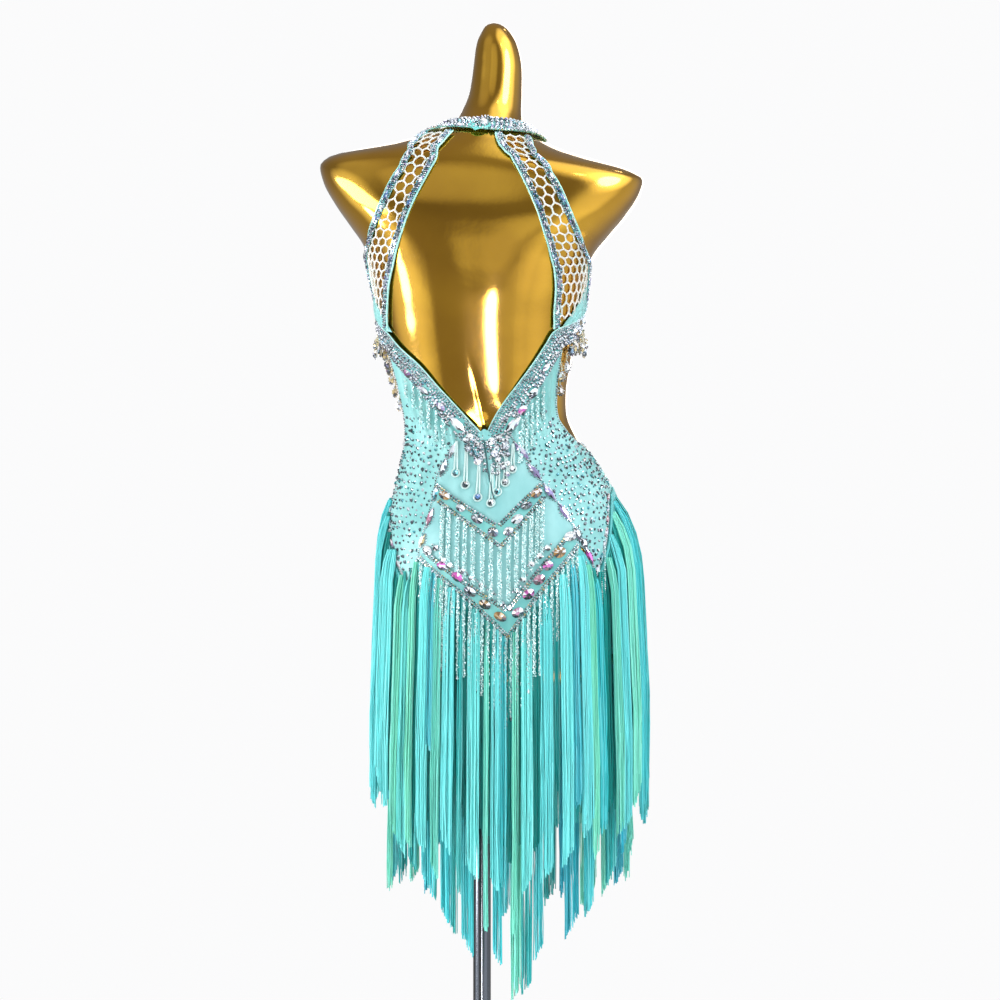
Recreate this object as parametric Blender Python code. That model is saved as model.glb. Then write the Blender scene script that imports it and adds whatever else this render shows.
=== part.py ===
"""Latin dance dress on a limbless dress form.

The dress is a backless halter with net back straps, a beaded V over the
waist, two chevron bands on the hips and long fringe. It hangs on a smooth
torso form that stands on a pole and a round base.

Frame: +Z up, the dress's back faces -Y, and the origin is the centre of the
base's underside. All tables are in millimetres and degrees. A place on the
body is an angle round it (0 at the centre back, +90 at the +X side, 180 at
the centre front) and a height above the floor.
"""
import math
import random
from collections import namedtuple

import bpy
import numpy as np
from mathutils.geometry import delaunay_2d_cdt

MM = 0.001

# Layers of cloth, as distances out from the form's surface.
CLOTH = 1.2
INNER_LAYER = 1.1
FRONT_LAYER = 1.2
YOKE_LAYER = 1.4
OUTER_LAYER = 3.1
STRAP_BAND_LAYER = 3.3
TAPE_LAYER = 3.5
V_LAYER = 3.5
BODICE_LAYER = 1.5
NECK_LAYER = 3.6
CLOSURE_LAYER = 5.3
SEAM = 0.4
STONE_RISE = 2.2
FLAT_PER_DEGREE = 2.3

# Form and stand.
FORM_SIDES = 32
FORM_BOTTOM = 702.0
SPINE_DEPTH = 9.0
SPINE_SPREAD = 13.0
SPINE_HEIGHT = 1130.0
SPINE_REACH = 150.0
CUP_DEPTH = 18.0
CUP_ANGLE = 140.0
CUP_SPREAD = 30.0
CUP_HEIGHT = 1212.0
CUP_REACH = 60.0
BASE_RADIUS = 180.0
BASE_THICKNESS = 12.0
BASE_ROUNDING = 4.0
POLE_RADIUS = 11.5
COLLAR_RADIUS = 26.0
COLLAR_HEIGHT = 46.0
FOOT_BOSS_RADIUS = 24.0
FOOT_BOSS_HEIGHT = 22.0
TURNED_SIDES = 28
PART_GAP = 0.3

# Bands, net and trimmings.
NECKBAND_WIDTH = 21.0
NECKBAND_HEIGHT = 1412.5
NECKBAND_RISE = 10.0
NECKBAND_SIDE_LIFT = 5.0
STRAP_BAND = 9.0
WIDE_BAND = 22.0
V_BAND = 24.0
V_MITRE = 23.0
V_SEAM_DROP = 5.0
NET_PITCH = 11.6
NET_ROW = 11.4
NET_HOLE_WIDTH = 8.6
NET_HOLE_HEIGHT = 12.0
TAB_WIDTH = 30.0
TAB_LENGTH = 15.0
BUTTON_RADIUS = 5.5
BUTTON_DEPTH = 3.6
ZIP_WIDTH = 8.0
ZIP_BOTTOM = 944.0

# Fringe.
TAPE_HEIGHT = 8.0
TAPE_THICKNESS = 1.5
LOCK_PITCH = 4.3
FRONT_LOCK_PITCH = 7.4
UNDER_LOCK_PITCH = 6.0
UNDER_FRONT_LOCK_PITCH = 8.6
LOCK_FILL = 0.76
LOCK_DEPTH = 5.0
YOKE_HEM = 743.0
LOWEST_DRAPE = 735.0
TIP_JITTER = 9.0
FRINGE_SEED = 7

Ring = namedtuple("Ring", "height centre_x half_width centre_y back front squareness lean")
RINGS = (
    Ring(702.0, 31.0, 40.0, 0, 24.0, 24.0, 2.0, 0.000),
    Ring(704.0, 31.0, 92.0, 0, 50.0, 50.0, 2.2, 0.000),
    Ring(712.0, 32.0, 122.0, 0, 70.0, 68.0, 2.2, 0.010),
    Ring(728.0, 33.0, 138.0, -1, 84.0, 80.0, 2.2, 0.020),
    Ring(760.0, 34.0, 148.0, -2, 98.0, 88.0, 2.2, 0.030),
    Ring(805.0, 34.0, 154.5, -3, 114.0, 93.0, 2.2, 0.050),
    Ring(855.0, 33.0, 156.0, -4, 121.0, 96.0, 2.2, 0.060),
    Ring(900.0, 30.5, 151.5, -3, 114.0, 98.0, 2.2, 0.060),
    Ring(945.0, 26.5, 141.5, -1, 99.0, 97.0, 2.2, 0.060),
    Ring(985.0, 20.0, 126.5, 1, 84.0, 94.0, 2.2, 0.050),
    Ring(1020.0, 11.5, 111.5, 2, 74.0, 89.0, 2.2, 0.040),
    Ring(1050.0, 5.0, 106.0, 2, 71.0, 86.0, 2.2, 0.030),
    Ring(1075.0, 2.0, 108.0, 2, 73.0, 87.0, 2.2, 0.020),
    Ring(1120.0, -1.0, 117.0, 1, 82.0, 94.0, 2.2, 0.010),
    Ring(1170.0, -3.0, 128.0, 0, 94.0, 107.0, 2.2, 0.000),
    Ring(1215.0, -3.0, 136.0, -1, 103.0, 117.0, 2.3, -0.010),
    Ring(1248.0, -3.0, 142.5, -2, 106.0, 111.0, 2.4, -0.020),
    Ring(1268.0, -2.0, 151.0, -3, 106.0, 103.0, 2.5, -0.030),
    Ring(1292.0, -1.0, 169.0, -5, 104.0, 91.0, 2.7, -0.035),
    Ring(1318.0, 0.0, 189.0, -8, 99.0, 80.0, 2.8, -0.040),
    Ring(1345.0, 0.5, 205.0, -10, 91.0, 71.0, 2.8, -0.045),
    Ring(1365.0, 0.5, 210.0, -11, 84.0, 65.0, 2.6, -0.050),
    Ring(1377.0, -1.0, 197.0, -11, 79.0, 62.0, 2.4, -0.055),
    Ring(1387.0, -4.0, 163.0, -10, 74.0, 60.0, 2.2, -0.055),
    Ring(1397.0, -3.0, 121.0, -9, 68.0, 57.0, 2.1, -0.055),
    Ring(1408.0, -1.0, 88.0, -6, 62.0, 54.0, 2.0, -0.050),
    Ring(1420.0, 5.0, 61.0, -2, 56.0, 50.0, 2.0, -0.045),
    Ring(1434.0, 10.0, 44.0, 3, 50.0, 44.0, 2.0, -0.040),
    Ring(1450.0, 13.0, 38.5, 8, 43.0, 39.0, 2.0, -0.030),
    Ring(1473.0, 17.0, 34.5, 13, 38.0, 36.0, 2.0, -0.010),
    Ring(1510.0, 19.0, 31.5, 18, 33.0, 32.0, 2.0, 0.000),
    Ring(1538.0, 17.5, 26.5, 21, 27.0, 26.0, 2.0, 0.000),
    Ring(1555.0, 16.0, 18.0, 23, 18.0, 18.0, 2.0, 0.000),
    Ring(1563.5, 14.0, 10.0, 24, 9.5, 9.5, 2.0, 0.000),
    Ring(1566.5, 13.5, 1.0, 24, 1.0, 1.0, 2.0, 0.000),
)

# Back strap, from under the neckband down to the underarm.
StrapRow = namedtuple("StrapRow", "inner_angle inner_height outer_angle outer_height")
STRAP = (
    StrapRow(20.0, 1415.0, 54.5, 1413.5),
    StrapRow(19.0, 1411.0, 53.0, 1409.0),
    StrapRow(15.0, 1391.0, 34.5, 1393.0),
    StrapRow(13.5, 1373.5, 26.0, 1380.0),
    StrapRow(15.6, 1356.0, 25.7, 1366.0),
    StrapRow(18.4, 1339.0, 28.5, 1349.0),
    StrapRow(21.9, 1321.0, 32.0, 1332.0),
    StrapRow(25.6, 1304.0, 37.0, 1313.0),
    StrapRow(30.0, 1286.0, 44.5, 1293.5),
    StrapRow(35.5, 1268.0, 58.0, 1271.0),
    StrapRow(43.0, 1237.0, 80.0, 1247.0),
    StrapRow(47.5, 1212.0, 92.0, 1222.0),
    StrapRow(51.0, 1184.0, 98.0, 1204.0),
    StrapRow(54.0, 1161.0, 99.0, 1192.0),
)

# Sideways set of the straps on the form, which sit a little to the left.
Set = namedtuple("Set", "height degrees")
STRAP_SET = (Set(1060, 0), Set(1115, 0), Set(1140, -3), Set(1160, -5), Set(1182, -4), Set(1208, -2),
             Set(1240, 0), Set(1380, 0), Set(1411, -3), Set(1425, -3))

# Top edge of the V band, from the apex round under the arm to the centre front.
Place = namedtuple("Place", "angle height")
V_EDGE = (Place(-14, 986), Place(0, 1023), Place(14, 1060), Place(25.5, 1088), Place(36, 1116), Place(47, 1141),
          Place(54, 1158), Place(70, 1172), Place(85, 1184), Place(98, 1190), Place(115, 1186),
          Place(140, 1166), Place(160, 1156), Place(180, 1154))
V_CORNER_ANGLE = 54.0

# Seam between the centre back and the side backs, then the hip point.
SidePair = namedtuple("SidePair", "height left right")
HEX_SEAM = (SidePair(1040, 15, 14), SidePair(1016, 20, 17), SidePair(995, 27, 20), SidePair(975, 31.5, 22.5),
            SidePair(950, 33, 27.5), SidePair(922, 35, 33), SidePair(895, 38.5, 38), SidePair(874, 40, 41.5))
HIP_POINT = SidePair(837, 46.5, 48)
HIP_EDGE = (SidePair(860, 54, 52.5), SidePair(880, 60.5, 57), SidePair(903, 68.5, 61.5),
            SidePair(926, 76, 67), SidePair(941, 82, 73.5), SidePair(951, 89.6, 89.6))
CUT_OUT = (Place(57, 1143), Place(57, 1098), Place(58, 1076), Place(55.5, 1060), Place(56.5, 1042),
           Place(61.5, 1028), Place(69, 1013), Place(80, 1003), Place(89.6, 999))

# Chevron bands: the lower edge of one and the upper edge of the other, left to right.
CHEVRON_UPPER_TOP = (Place(-31, 966), Place(-14.5, 937), Place(0.5, 911), Place(12, 937), Place(24, 960))
CHEVRON_UPPER_LOW = (Place(-30.5, 942), Place(-14, 911), Place(1.5, 879), Place(13, 909), Place(25.5, 940))
CHEVRON_LOWER_TOP = (Place(-35.5, 885), Place(-17.5, 848), Place(3, 807), Place(18.5, 856), Place(32, 892))
CHEVRON_LOWER_LOW = (Place(-39.5, 873), Place(-19, 828), Place(3.5, 767), Place(20, 825), Place(39, 878))

# Front: armhole edge of the bodice and the fringe line of the lower front.
FRONT_ARMHOLE = (Place(130, 1403), Place(152, 1374), Place(149, 1340), Place(138, 1300), Place(122, 1262),
                 Place(107, 1236), Place(101.5, 1215), Place(100, 1193))
FRONT_FRINGE_LINE = (Place(90.4, 951), Place(115, 922), Place(140, 882), Place(165, 836), Place(180, 815))

# Lowest points of the fringe round the body.
Tip = namedtuple("Tip", "angle outer under")
TIPS = (Tip(-180, 480, 400), Tip(-120, 520, 420), Tip(-90, 570, 462), Tip(-60, 545, 432), Tip(-40, 512, 398),
        Tip(-20, 488, 362), Tip(0, 470, 330), Tip(8, 462, 312), Tip(20, 478, 345), Tip(40, 500, 385),
        Tip(60, 525, 428), Tip(90, 558, 470), Tip(120, 520, 425), Tip(180, 480, 400))

Stone = namedtuple("Stone", "angle height length width turn")

Finish = namedtuple("Finish", "colour metallic roughness")
FINISHES = {
    "gold_form": Finish((0.62, 0.40, 0.09), 1.0, 0.22),
    "chrome": Finish((0.72, 0.73, 0.75), 1.0, 0.12),
    "aqua_cloth": Finish((0.36, 0.78, 0.72), 0.0, 0.55),
    "net_yarn": Finish((0.86, 0.86, 0.84), 0.0, 0.60),
    "bead_band": Finish((0.45, 0.72, 0.74), 0.1, 0.30),
    "crystal": Finish((0.90, 0.93, 0.96), 0.1, 0.10),
    "fringe_yarn": Finish((0.20, 0.72, 0.70), 0.0, 0.50),
}


# ---------------------------------------------------------------- shape of the body

def smooth_curve(knots, values, at):
    """Monotone cubic through the knots, so a table never overshoots between its rows."""
    knots = np.asarray(knots, float)
    values = np.asarray(values, float)
    at = np.asarray(at, float)
    step = np.diff(knots)
    slope = np.diff(values) / step
    tangent = np.zeros(len(knots))
    for i in range(1, len(knots) - 1):
        if slope[i - 1] * slope[i] > 0:
            before = 2 * step[i] + step[i - 1]
            after = step[i] + 2 * step[i - 1]
            tangent[i] = (before + after) / (before / slope[i - 1] + after / slope[i])
    tangent[0] = slope[0]
    tangent[-1] = slope[-1]
    i = np.clip(np.searchsorted(knots, at) - 1, 0, len(knots) - 2)
    t = (at - knots[i]) / step[i]
    return ((2 * t**3 - 3 * t**2 + 1) * values[i] + (t**3 - 2 * t**2 + t) * step[i] * tangent[i]
            + (3 * t**2 - 2 * t**3) * values[i + 1] + (t**3 - t**2) * step[i] * tangent[i + 1])


RING_TABLE = np.array(RINGS, float)


def ring_values(height):
    """The seven shape columns of the ring table at a height."""
    return [smooth_curve(RING_TABLE[:, 0], RING_TABLE[:, k], height) for k in range(1, 8)]


def surface(angle, height, spine=0.0):
    """Points on the body. spine is 1 for the form itself and 0 for cloth, which spans the hollow."""
    angle = (np.asarray(angle, float) + 180.0) % 360.0 - 180.0
    height = np.asarray(height, float)
    centre_x, half_width, centre_y, back, front, squareness, lean = ring_values(height)
    across = np.sin(np.radians(angle))
    behind = np.cos(np.radians(angle))
    reach = (np.abs(across)**squareness + np.abs(behind)**squareness)**(-1 / squareness)
    depth = np.where(behind > 0, back, front)
    groove = SPINE_DEPTH * np.exp(-(angle / SPINE_SPREAD)**2 - ((height - SPINE_HEIGHT) / SPINE_REACH)**4)
    cup_off = (np.abs(angle) - CUP_ANGLE) / CUP_SPREAD
    cup = CUP_DEPTH * np.exp(-cup_off**2 - ((height - CUP_HEIGHT) / CUP_REACH)**2)
    push = cup - spine * groove
    x = centre_x + half_width * reach * across + 0.35 * cup * across
    y = centre_y - (depth * reach + push) * behind
    z = height + lean * (x - centre_x)
    return np.stack([x, y, z], axis=-1)


def surface_normal(angle, height):
    """Unit vectors pointing out of the body."""
    by_angle = surface(angle + 0.5, height) - surface(angle - 0.5, height)
    by_height = surface(angle, height + 0.6) - surface(angle, height - 0.6)
    normal = np.cross(by_angle, by_height)
    return normal / np.linalg.norm(normal, axis=-1, keepdims=True)


def off_body(angle, height, out):
    """Points that stand a given distance out from the body."""
    angle = np.asarray(angle, float)
    height = np.asarray(height, float)
    out = np.asarray(out, float)
    return surface(angle, height) + surface_normal(angle, height) * out[..., None]


def walk(angle, height, across, up, steps=4):
    """The place reached by going a distance in mm across and up along the body's surface."""
    for _ in range(steps):
        by_angle = np.linalg.norm(surface(angle + 0.5, height) - surface(angle - 0.5, height), axis=-1)
        by_height = np.linalg.norm(surface(angle, height + 0.5) - surface(angle, height - 0.5), axis=-1)
        angle = angle + across / steps / by_angle
        height = height + up / steps / by_height
    return angle, height


def strap_set(angle, height):
    """Sideways set of the strap in degrees, fading out towards the underarm."""
    sideways = np.interp(height, [row.height for row in STRAP_SET], [row.degrees for row in STRAP_SET])
    return sideways * np.clip((95.0 - np.abs(angle)) / 40.0, 0.0, 1.0)


# ---------------------------------------------------------------- building solids

def dressed_object(name, vertices, faces, finish):
    """A named object from vertices in millimetres, with its finish."""
    mesh = bpy.data.meshes.new(name)
    mesh.from_pydata([tuple(float(c) * MM for c in v) for v in vertices], [], faces)
    mesh.validate()
    mesh.update()
    mesh.shade_smooth()
    mesh.set_sharp_from_angle(angle=math.radians(50))
    mesh.materials.append(material(finish))
    obj = bpy.data.objects.new(name, mesh)
    bpy.context.collection.objects.link(obj)
    return obj


def material(finish):
    """The Principled material of a named finish, made once."""
    if finish in bpy.data.materials:
        return bpy.data.materials[finish]
    made = bpy.data.materials.new(finish)
    made.use_nodes = True
    shader = made.node_tree.nodes["Principled BSDF"]
    look = FINISHES[finish]
    shader.inputs["Base Color"].default_value = (*look.colour, 1.0)
    shader.inputs["Metallic"].default_value = look.metallic
    shader.inputs["Roughness"].default_value = look.roughness
    return made


def turned_solid(name, profile, finish, sides=TURNED_SIDES):
    """A solid of revolution about Z from (radius, height) rows, bottom to top."""
    vertices = []
    faces = []
    for radius, height in profile:
        for k in range(sides):
            turn = 2 * math.pi * k / sides
            vertices.append((radius * math.cos(turn), radius * math.sin(turn), height))
    for row in range(len(profile) - 1):
        for k in range(sides):
            here = row * sides + k
            right = row * sides + (k + 1) % sides
            faces.append((here, right, right + sides, here + sides))
    last = (len(profile) - 1) * sides
    faces.append(tuple(reversed(range(sides))))
    faces.append(tuple(range(last, last + sides)))
    return dressed_object(name, vertices, faces, finish)


def triangulate(outline, holes=(), inside=()):
    """Flat triangles of an outline less its holes, through the loose points inside it."""
    points = []
    edges = []
    for loop in (outline, *holes):
        start = len(points)
        points.extend(loop)
        edges.extend((start + i, start + (i + 1) % len(loop)) for i in range(len(loop)))
    points.extend(inside)
    flat, _, faces, source, _, _ = delaunay_2d_cdt([tuple(map(float, p)) for p in points], edges, [], 2, 1e-5)
    flat = np.array([tuple(p) for p in flat])
    source = [found[0] if found else -1 for found in source]
    return flat, [tuple(face) for face in faces], source


def cloth_solid(name, angle, height, faces, inner, outer, finish):
    """A wall of cloth between two distances out from the body, closed round its edges."""
    inside = off_body(angle, height, np.full(len(angle), inner))
    outside = off_body(angle, height, np.broadcast_to(outer, (len(angle),)))
    normal = surface_normal(angle, height)
    count = len(angle)
    vertices = list(outside) + list(inside)
    walls = []
    rim = {}
    for face in faces:
        a, b, c = face
        facing = np.dot(np.cross(inside[b] - inside[a], inside[c] - inside[a]), normal[a])
        if facing < 0:
            b, c = c, b
        walls.append((a, b, c))
        walls.append((a + count, c + count, b + count))
        for pair in ((a, b), (b, c), (c, a)):
            rim[pair] = True
    for a, b in rim:
        if (b, a) not in rim:
            walls.append((a, a + count, b + count, b))
    return dressed_object(name, vertices, walls, finish)


def flat_grid(outline, angle_step, height_step, margin):
    """Loose grid points inside a flat outline, clear of its edge."""
    outline = np.array(outline)
    low = outline.min(axis=0)
    high = outline.max(axis=0)
    across = np.arange(math.ceil(low[0] / angle_step) * angle_step, high[0], angle_step)
    up = np.arange(math.ceil(low[1] / height_step) * height_step, high[1], height_step)
    return [(x, y) for y in up for x in across if inside_by((x, y), outline, margin)]


def inside_by(point, outline, margin):
    """True when a point is inside an outline and at least a margin from its edge."""
    x, y = point
    start = outline
    end = np.roll(outline, -1, axis=0)
    along = end - start
    t = ((x - start[:, 0]) * along[:, 0] + (y - start[:, 1]) * along[:, 1]) / (along**2).sum(axis=1)
    t = np.clip(t, 0, 1)
    nearest = start + along * t[:, None]
    if np.hypot(nearest[:, 0] - x, nearest[:, 1] - y).min() < margin:
        return False
    crosses = (start[:, 1] > y) != (end[:, 1] > y)
    with np.errstate(divide="ignore", invalid="ignore"):
        at = start[:, 0] + (y - start[:, 1]) / along[:, 1] * along[:, 0]
    return bool(np.count_nonzero(crosses & (at > x)) % 2)


def densify(places, spacing):
    """The same polyline of places with no step longer than the spacing in mm."""
    dense = []
    for here, there in zip(places, places[1:]):
        length = math.hypot((there[0] - here[0]) * FLAT_PER_DEGREE, there[1] - here[1])
        count = max(1, math.ceil(length / spacing))
        for k in range(count):
            t = k / count
            dense.append((here[0] + (there[0] - here[0]) * t, here[1] + (there[1] - here[1]) * t))
    dense.append(tuple(places[-1]))
    return dense


def panel(name, corners, finish="aqua_cloth", layer=INNER_LAYER, stones=(), edge_step=20.0,
          grid=(20.0, 27.0)):
    """A panel of cloth inside an outline of places, with large stones raised in its outer points."""
    border = densify([*corners, corners[0]], edge_step)[:-1]
    outline = [(a * FLAT_PER_DEGREE, h) for a, h in border]
    stone_points, stone_rise = stone_relief(stones)
    loose = flat_grid(outline, grid[0], grid[1], min(grid) * 0.45)
    loose = [p for p in loose if all(math.dist(p, s) > 7.0 for s in stone_points)]
    flat, faces, source = triangulate(outline, (), stone_points + loose)
    first = len(outline)
    rise = np.array([stone_rise[s - first] if first <= s < first + len(stone_rise) else 0.0 for s in source])
    return cloth_solid(name, flat[:, 0] / FLAT_PER_DEGREE, flat[:, 1], faces, layer, layer + CLOTH + rise, finish)


def stone_outline(length, width):
    """A six-sided foot and the two ends of a raised ridge, as rows of along, aside and rise."""
    foot = [(length / 2 * math.cos(k * math.pi / 3), width / 2 * math.sin(k * math.pi / 3), 0.0) for k in range(6)]
    return foot + [(-length * 0.2, 0.0, STONE_RISE), (length * 0.2, 0.0, STONE_RISE)]


def stone_relief(stones):
    """Flat points and rises of large stones on a panel."""
    points = []
    rises = []
    for stone in stones:
        lie = math.radians(stone.turn)
        for along, aside, rise in stone_outline(stone.length, stone.width):
            across = along * math.cos(lie) - aside * math.sin(lie)
            up = along * math.sin(lie) + aside * math.cos(lie)
            angle, height = walk(stone.angle, stone.height, across, up, 1)
            points.append((float(angle) * FLAT_PER_DEGREE, float(height)))
            rises.append(rise)
    return points, rises


class Path:
    """A smooth line on the body through a few places, measured in mm along it."""

    def __init__(self, places, layer=OUTER_LAYER):
        knots = np.arange(len(places), dtype=float)
        fine = np.linspace(0, len(places) - 1, 24 * len(places))
        self.angle = smooth_curve(knots, [p[0] for p in places], fine)
        self.height = smooth_curve(knots, [p[1] for p in places], fine)
        points = off_body(self.angle, self.height, np.full(len(fine), layer))
        self.run = np.concatenate([[0], np.cumsum(np.linalg.norm(np.diff(points, axis=0), axis=1))])
        self.length = self.run[-1]

    def at(self, along):
        """Angle and height at a distance along the path."""
        return np.interp(along, self.run, self.angle), np.interp(along, self.run, self.height)

    def beside(self, along, aside):
        """The place a distance to the left of the path, facing along it."""
        angle, height = self.at(along)
        ahead_angle, ahead_height = self.at(np.minimum(along + 3, self.length))
        back_angle, back_height = self.at(np.maximum(along - 3, 0))
        step = surface(ahead_angle, ahead_height) - surface(back_angle, back_height)
        level = surface(angle + 0.5, height) - surface(angle - 0.5, height)
        level = level / np.linalg.norm(level, axis=-1, keepdims=True)
        rising = surface(angle, height + 0.5) - surface(angle, height - 0.5)
        rising = rising / np.linalg.norm(rising, axis=-1, keepdims=True)
        run_across = (step * level).sum(axis=-1)
        run_up = (step * rising).sum(axis=-1)
        size = np.hypot(run_across, run_up)
        return walk(angle, height, -run_up / size * aside, run_across / size * aside)


def ribbon(name, path, low, high, start, end, finish="bead_band", layer=OUTER_LAYER, stones=(), step=13.0,
           mitre=0.0):
    """A band along a path between two distances to its left, with stones (along, length, width).

    A mitre starts the edge that lies further from the path earlier, so that the end is cut at a slant.
    """
    count = max(2, round((end - start) / step))
    along = np.linspace(start, end, count + 1)
    far = np.linspace(start - mitre, end, count + 1)
    low_run, high_run = (far, along) if abs(low) > abs(high) else (along, far)
    outline = [(x, low) for x in low_run] + [(x, high) for x in high_run[::-1]]
    middle = (low + high) / 2
    points = []
    rises = []
    for centre, length, width in stones:
        for run, aside, rise in stone_outline(length, width):
            points.append((centre + run, middle + aside))
            rises.append(rise)
    if abs(high - low) > WIDE_BAND:
        for x in along[1:-1] - step / 2:
            if all(abs(x - centre) > step for centre, _, _ in stones):
                points.append((x, middle))
                rises.append(0.0)
    flat, faces, source = triangulate(outline, (), points)
    first = len(outline)
    rise = np.array([rises[s - first] if s >= first else 0.0 for s in source])
    angle, height = path.beside(flat[:, 0], flat[:, 1])
    return cloth_solid(name, angle, height, faces, layer, layer + CLOTH + rise, finish)


# ---------------------------------------------------------------- form and stand

def build_form():
    """The smooth limbless torso, lofted through level rings."""
    levels = [ring.height for ring in RINGS]
    for low, high in ((1020, 1050), (1075, 1120), (1408, 1420), (1420, 1434)):
        levels.append((low + high) / 2)
    levels.sort()
    angles = np.arange(FORM_SIDES) * 360.0 / FORM_SIDES
    vertices = []
    for height in levels:
        vertices.extend(surface(angles, np.full(FORM_SIDES, height), spine=1.0))
    faces = []
    for row in range(len(levels) - 1):
        for k in range(FORM_SIDES):
            here = row * FORM_SIDES + k
            right = row * FORM_SIDES + (k + 1) % FORM_SIDES
            faces.append((here, right, right + FORM_SIDES, here + FORM_SIDES))
    last = (len(levels) - 1) * FORM_SIDES
    faces.append(tuple(reversed(range(FORM_SIDES))))
    faces.append(tuple(range(last, last + FORM_SIDES)))
    return dressed_object("form_torso", vertices, faces, "gold_form")


def build_stand():
    """Round base, pole, and the collar under the form."""
    base_top = BASE_THICKNESS
    turned_solid("stand_base", [
        (BASE_RADIUS, 0), (BASE_RADIUS, base_top - BASE_ROUNDING), (BASE_RADIUS - BASE_ROUNDING, base_top),
        (FOOT_BOSS_RADIUS, base_top), (FOOT_BOSS_RADIUS, base_top + FOOT_BOSS_HEIGHT - 2),
        (FOOT_BOSS_RADIUS - 2, base_top + FOOT_BOSS_HEIGHT),
    ], "chrome")
    pole_bottom = base_top + FOOT_BOSS_HEIGHT + PART_GAP
    collar_bottom = FORM_BOTTOM - PART_GAP - COLLAR_HEIGHT
    pole_top = collar_bottom - PART_GAP
    turned_solid("stand_pole", [(POLE_RADIUS, pole_bottom), (POLE_RADIUS, pole_top)], "chrome", 24)
    turned_solid("stand_collar", [
        (COLLAR_RADIUS - 8, collar_bottom), (COLLAR_RADIUS - 8, FORM_BOTTOM - 12),
        (COLLAR_RADIUS, FORM_BOTTOM - 8), (COLLAR_RADIUS, FORM_BOTTOM - PART_GAP),
    ], "chrome", 24)


# ---------------------------------------------------------------- halter

def neckband_line(angle):
    """Height of the middle of the neckband: high at the nape and lower in front."""
    turn = np.radians(angle)
    return NECKBAND_HEIGHT + NECKBAND_RISE * np.cos(turn) + NECKBAND_SIDE_LIFT * np.sin(turn)**2


def build_neckband():
    """The stoned band round the base of the neck, its closing tab and its button."""
    opening = 8.0
    stops = np.linspace(opening + 0.5, opening + 359.5, 41)
    path = Path([(a, neckband_line(a)) for a in stops])
    ribbon("neckband", path, -NECKBAND_WIDTH / 2, NECKBAND_WIDTH / 2, 0.0, path.length, layer=NECK_LAYER,
           step=9.5)

    half = TAB_WIDTH / 2
    shape = [(-half, 5.0), (half, 5.0), (half, -TAB_LENGTH * 0.35), (0.0, -TAB_LENGTH), (-half, -TAB_LENGTH * 0.35)]
    corners = [walk(-2.0, neckband_line(-2.0), across, up) for across, up in shape]
    panel("nape_tab", corners, layer=CLOSURE_LAYER, edge_step=9.0, grid=(9.0, 9.0))

    centre = off_body(np.array([1.0]), np.array([neckband_line(1.0)]), np.array([CLOSURE_LAYER + CLOTH]))[0]
    out = surface_normal(np.array([1.0]), np.array([neckband_line(1.0)]))[0]
    side = np.cross((0, 0, 1), out)
    side = side / np.linalg.norm(side)
    rise = np.cross(out, side)
    vertices = []
    profile = ((BUTTON_RADIUS, 0.6), (BUTTON_RADIUS, 1.6), (BUTTON_RADIUS * 0.62, BUTTON_DEPTH))
    sides = 10
    for radius, level in profile:
        for k in range(sides):
            turn = 2 * math.pi * k / sides
            vertices.append(centre + out * level + (side * math.cos(turn) + rise * math.sin(turn)) * radius)
    faces = [(r * sides + k, r * sides + (k + 1) % sides, (r + 1) * sides + (k + 1) % sides, (r + 1) * sides + k)
             for r in range(len(profile) - 1) for k in range(sides)]
    faces.append(tuple(reversed(range(sides))))
    faces.append(tuple(range(2 * sides, 3 * sides)))
    dressed_object("nape_button", vertices, faces, "crystal")


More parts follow.
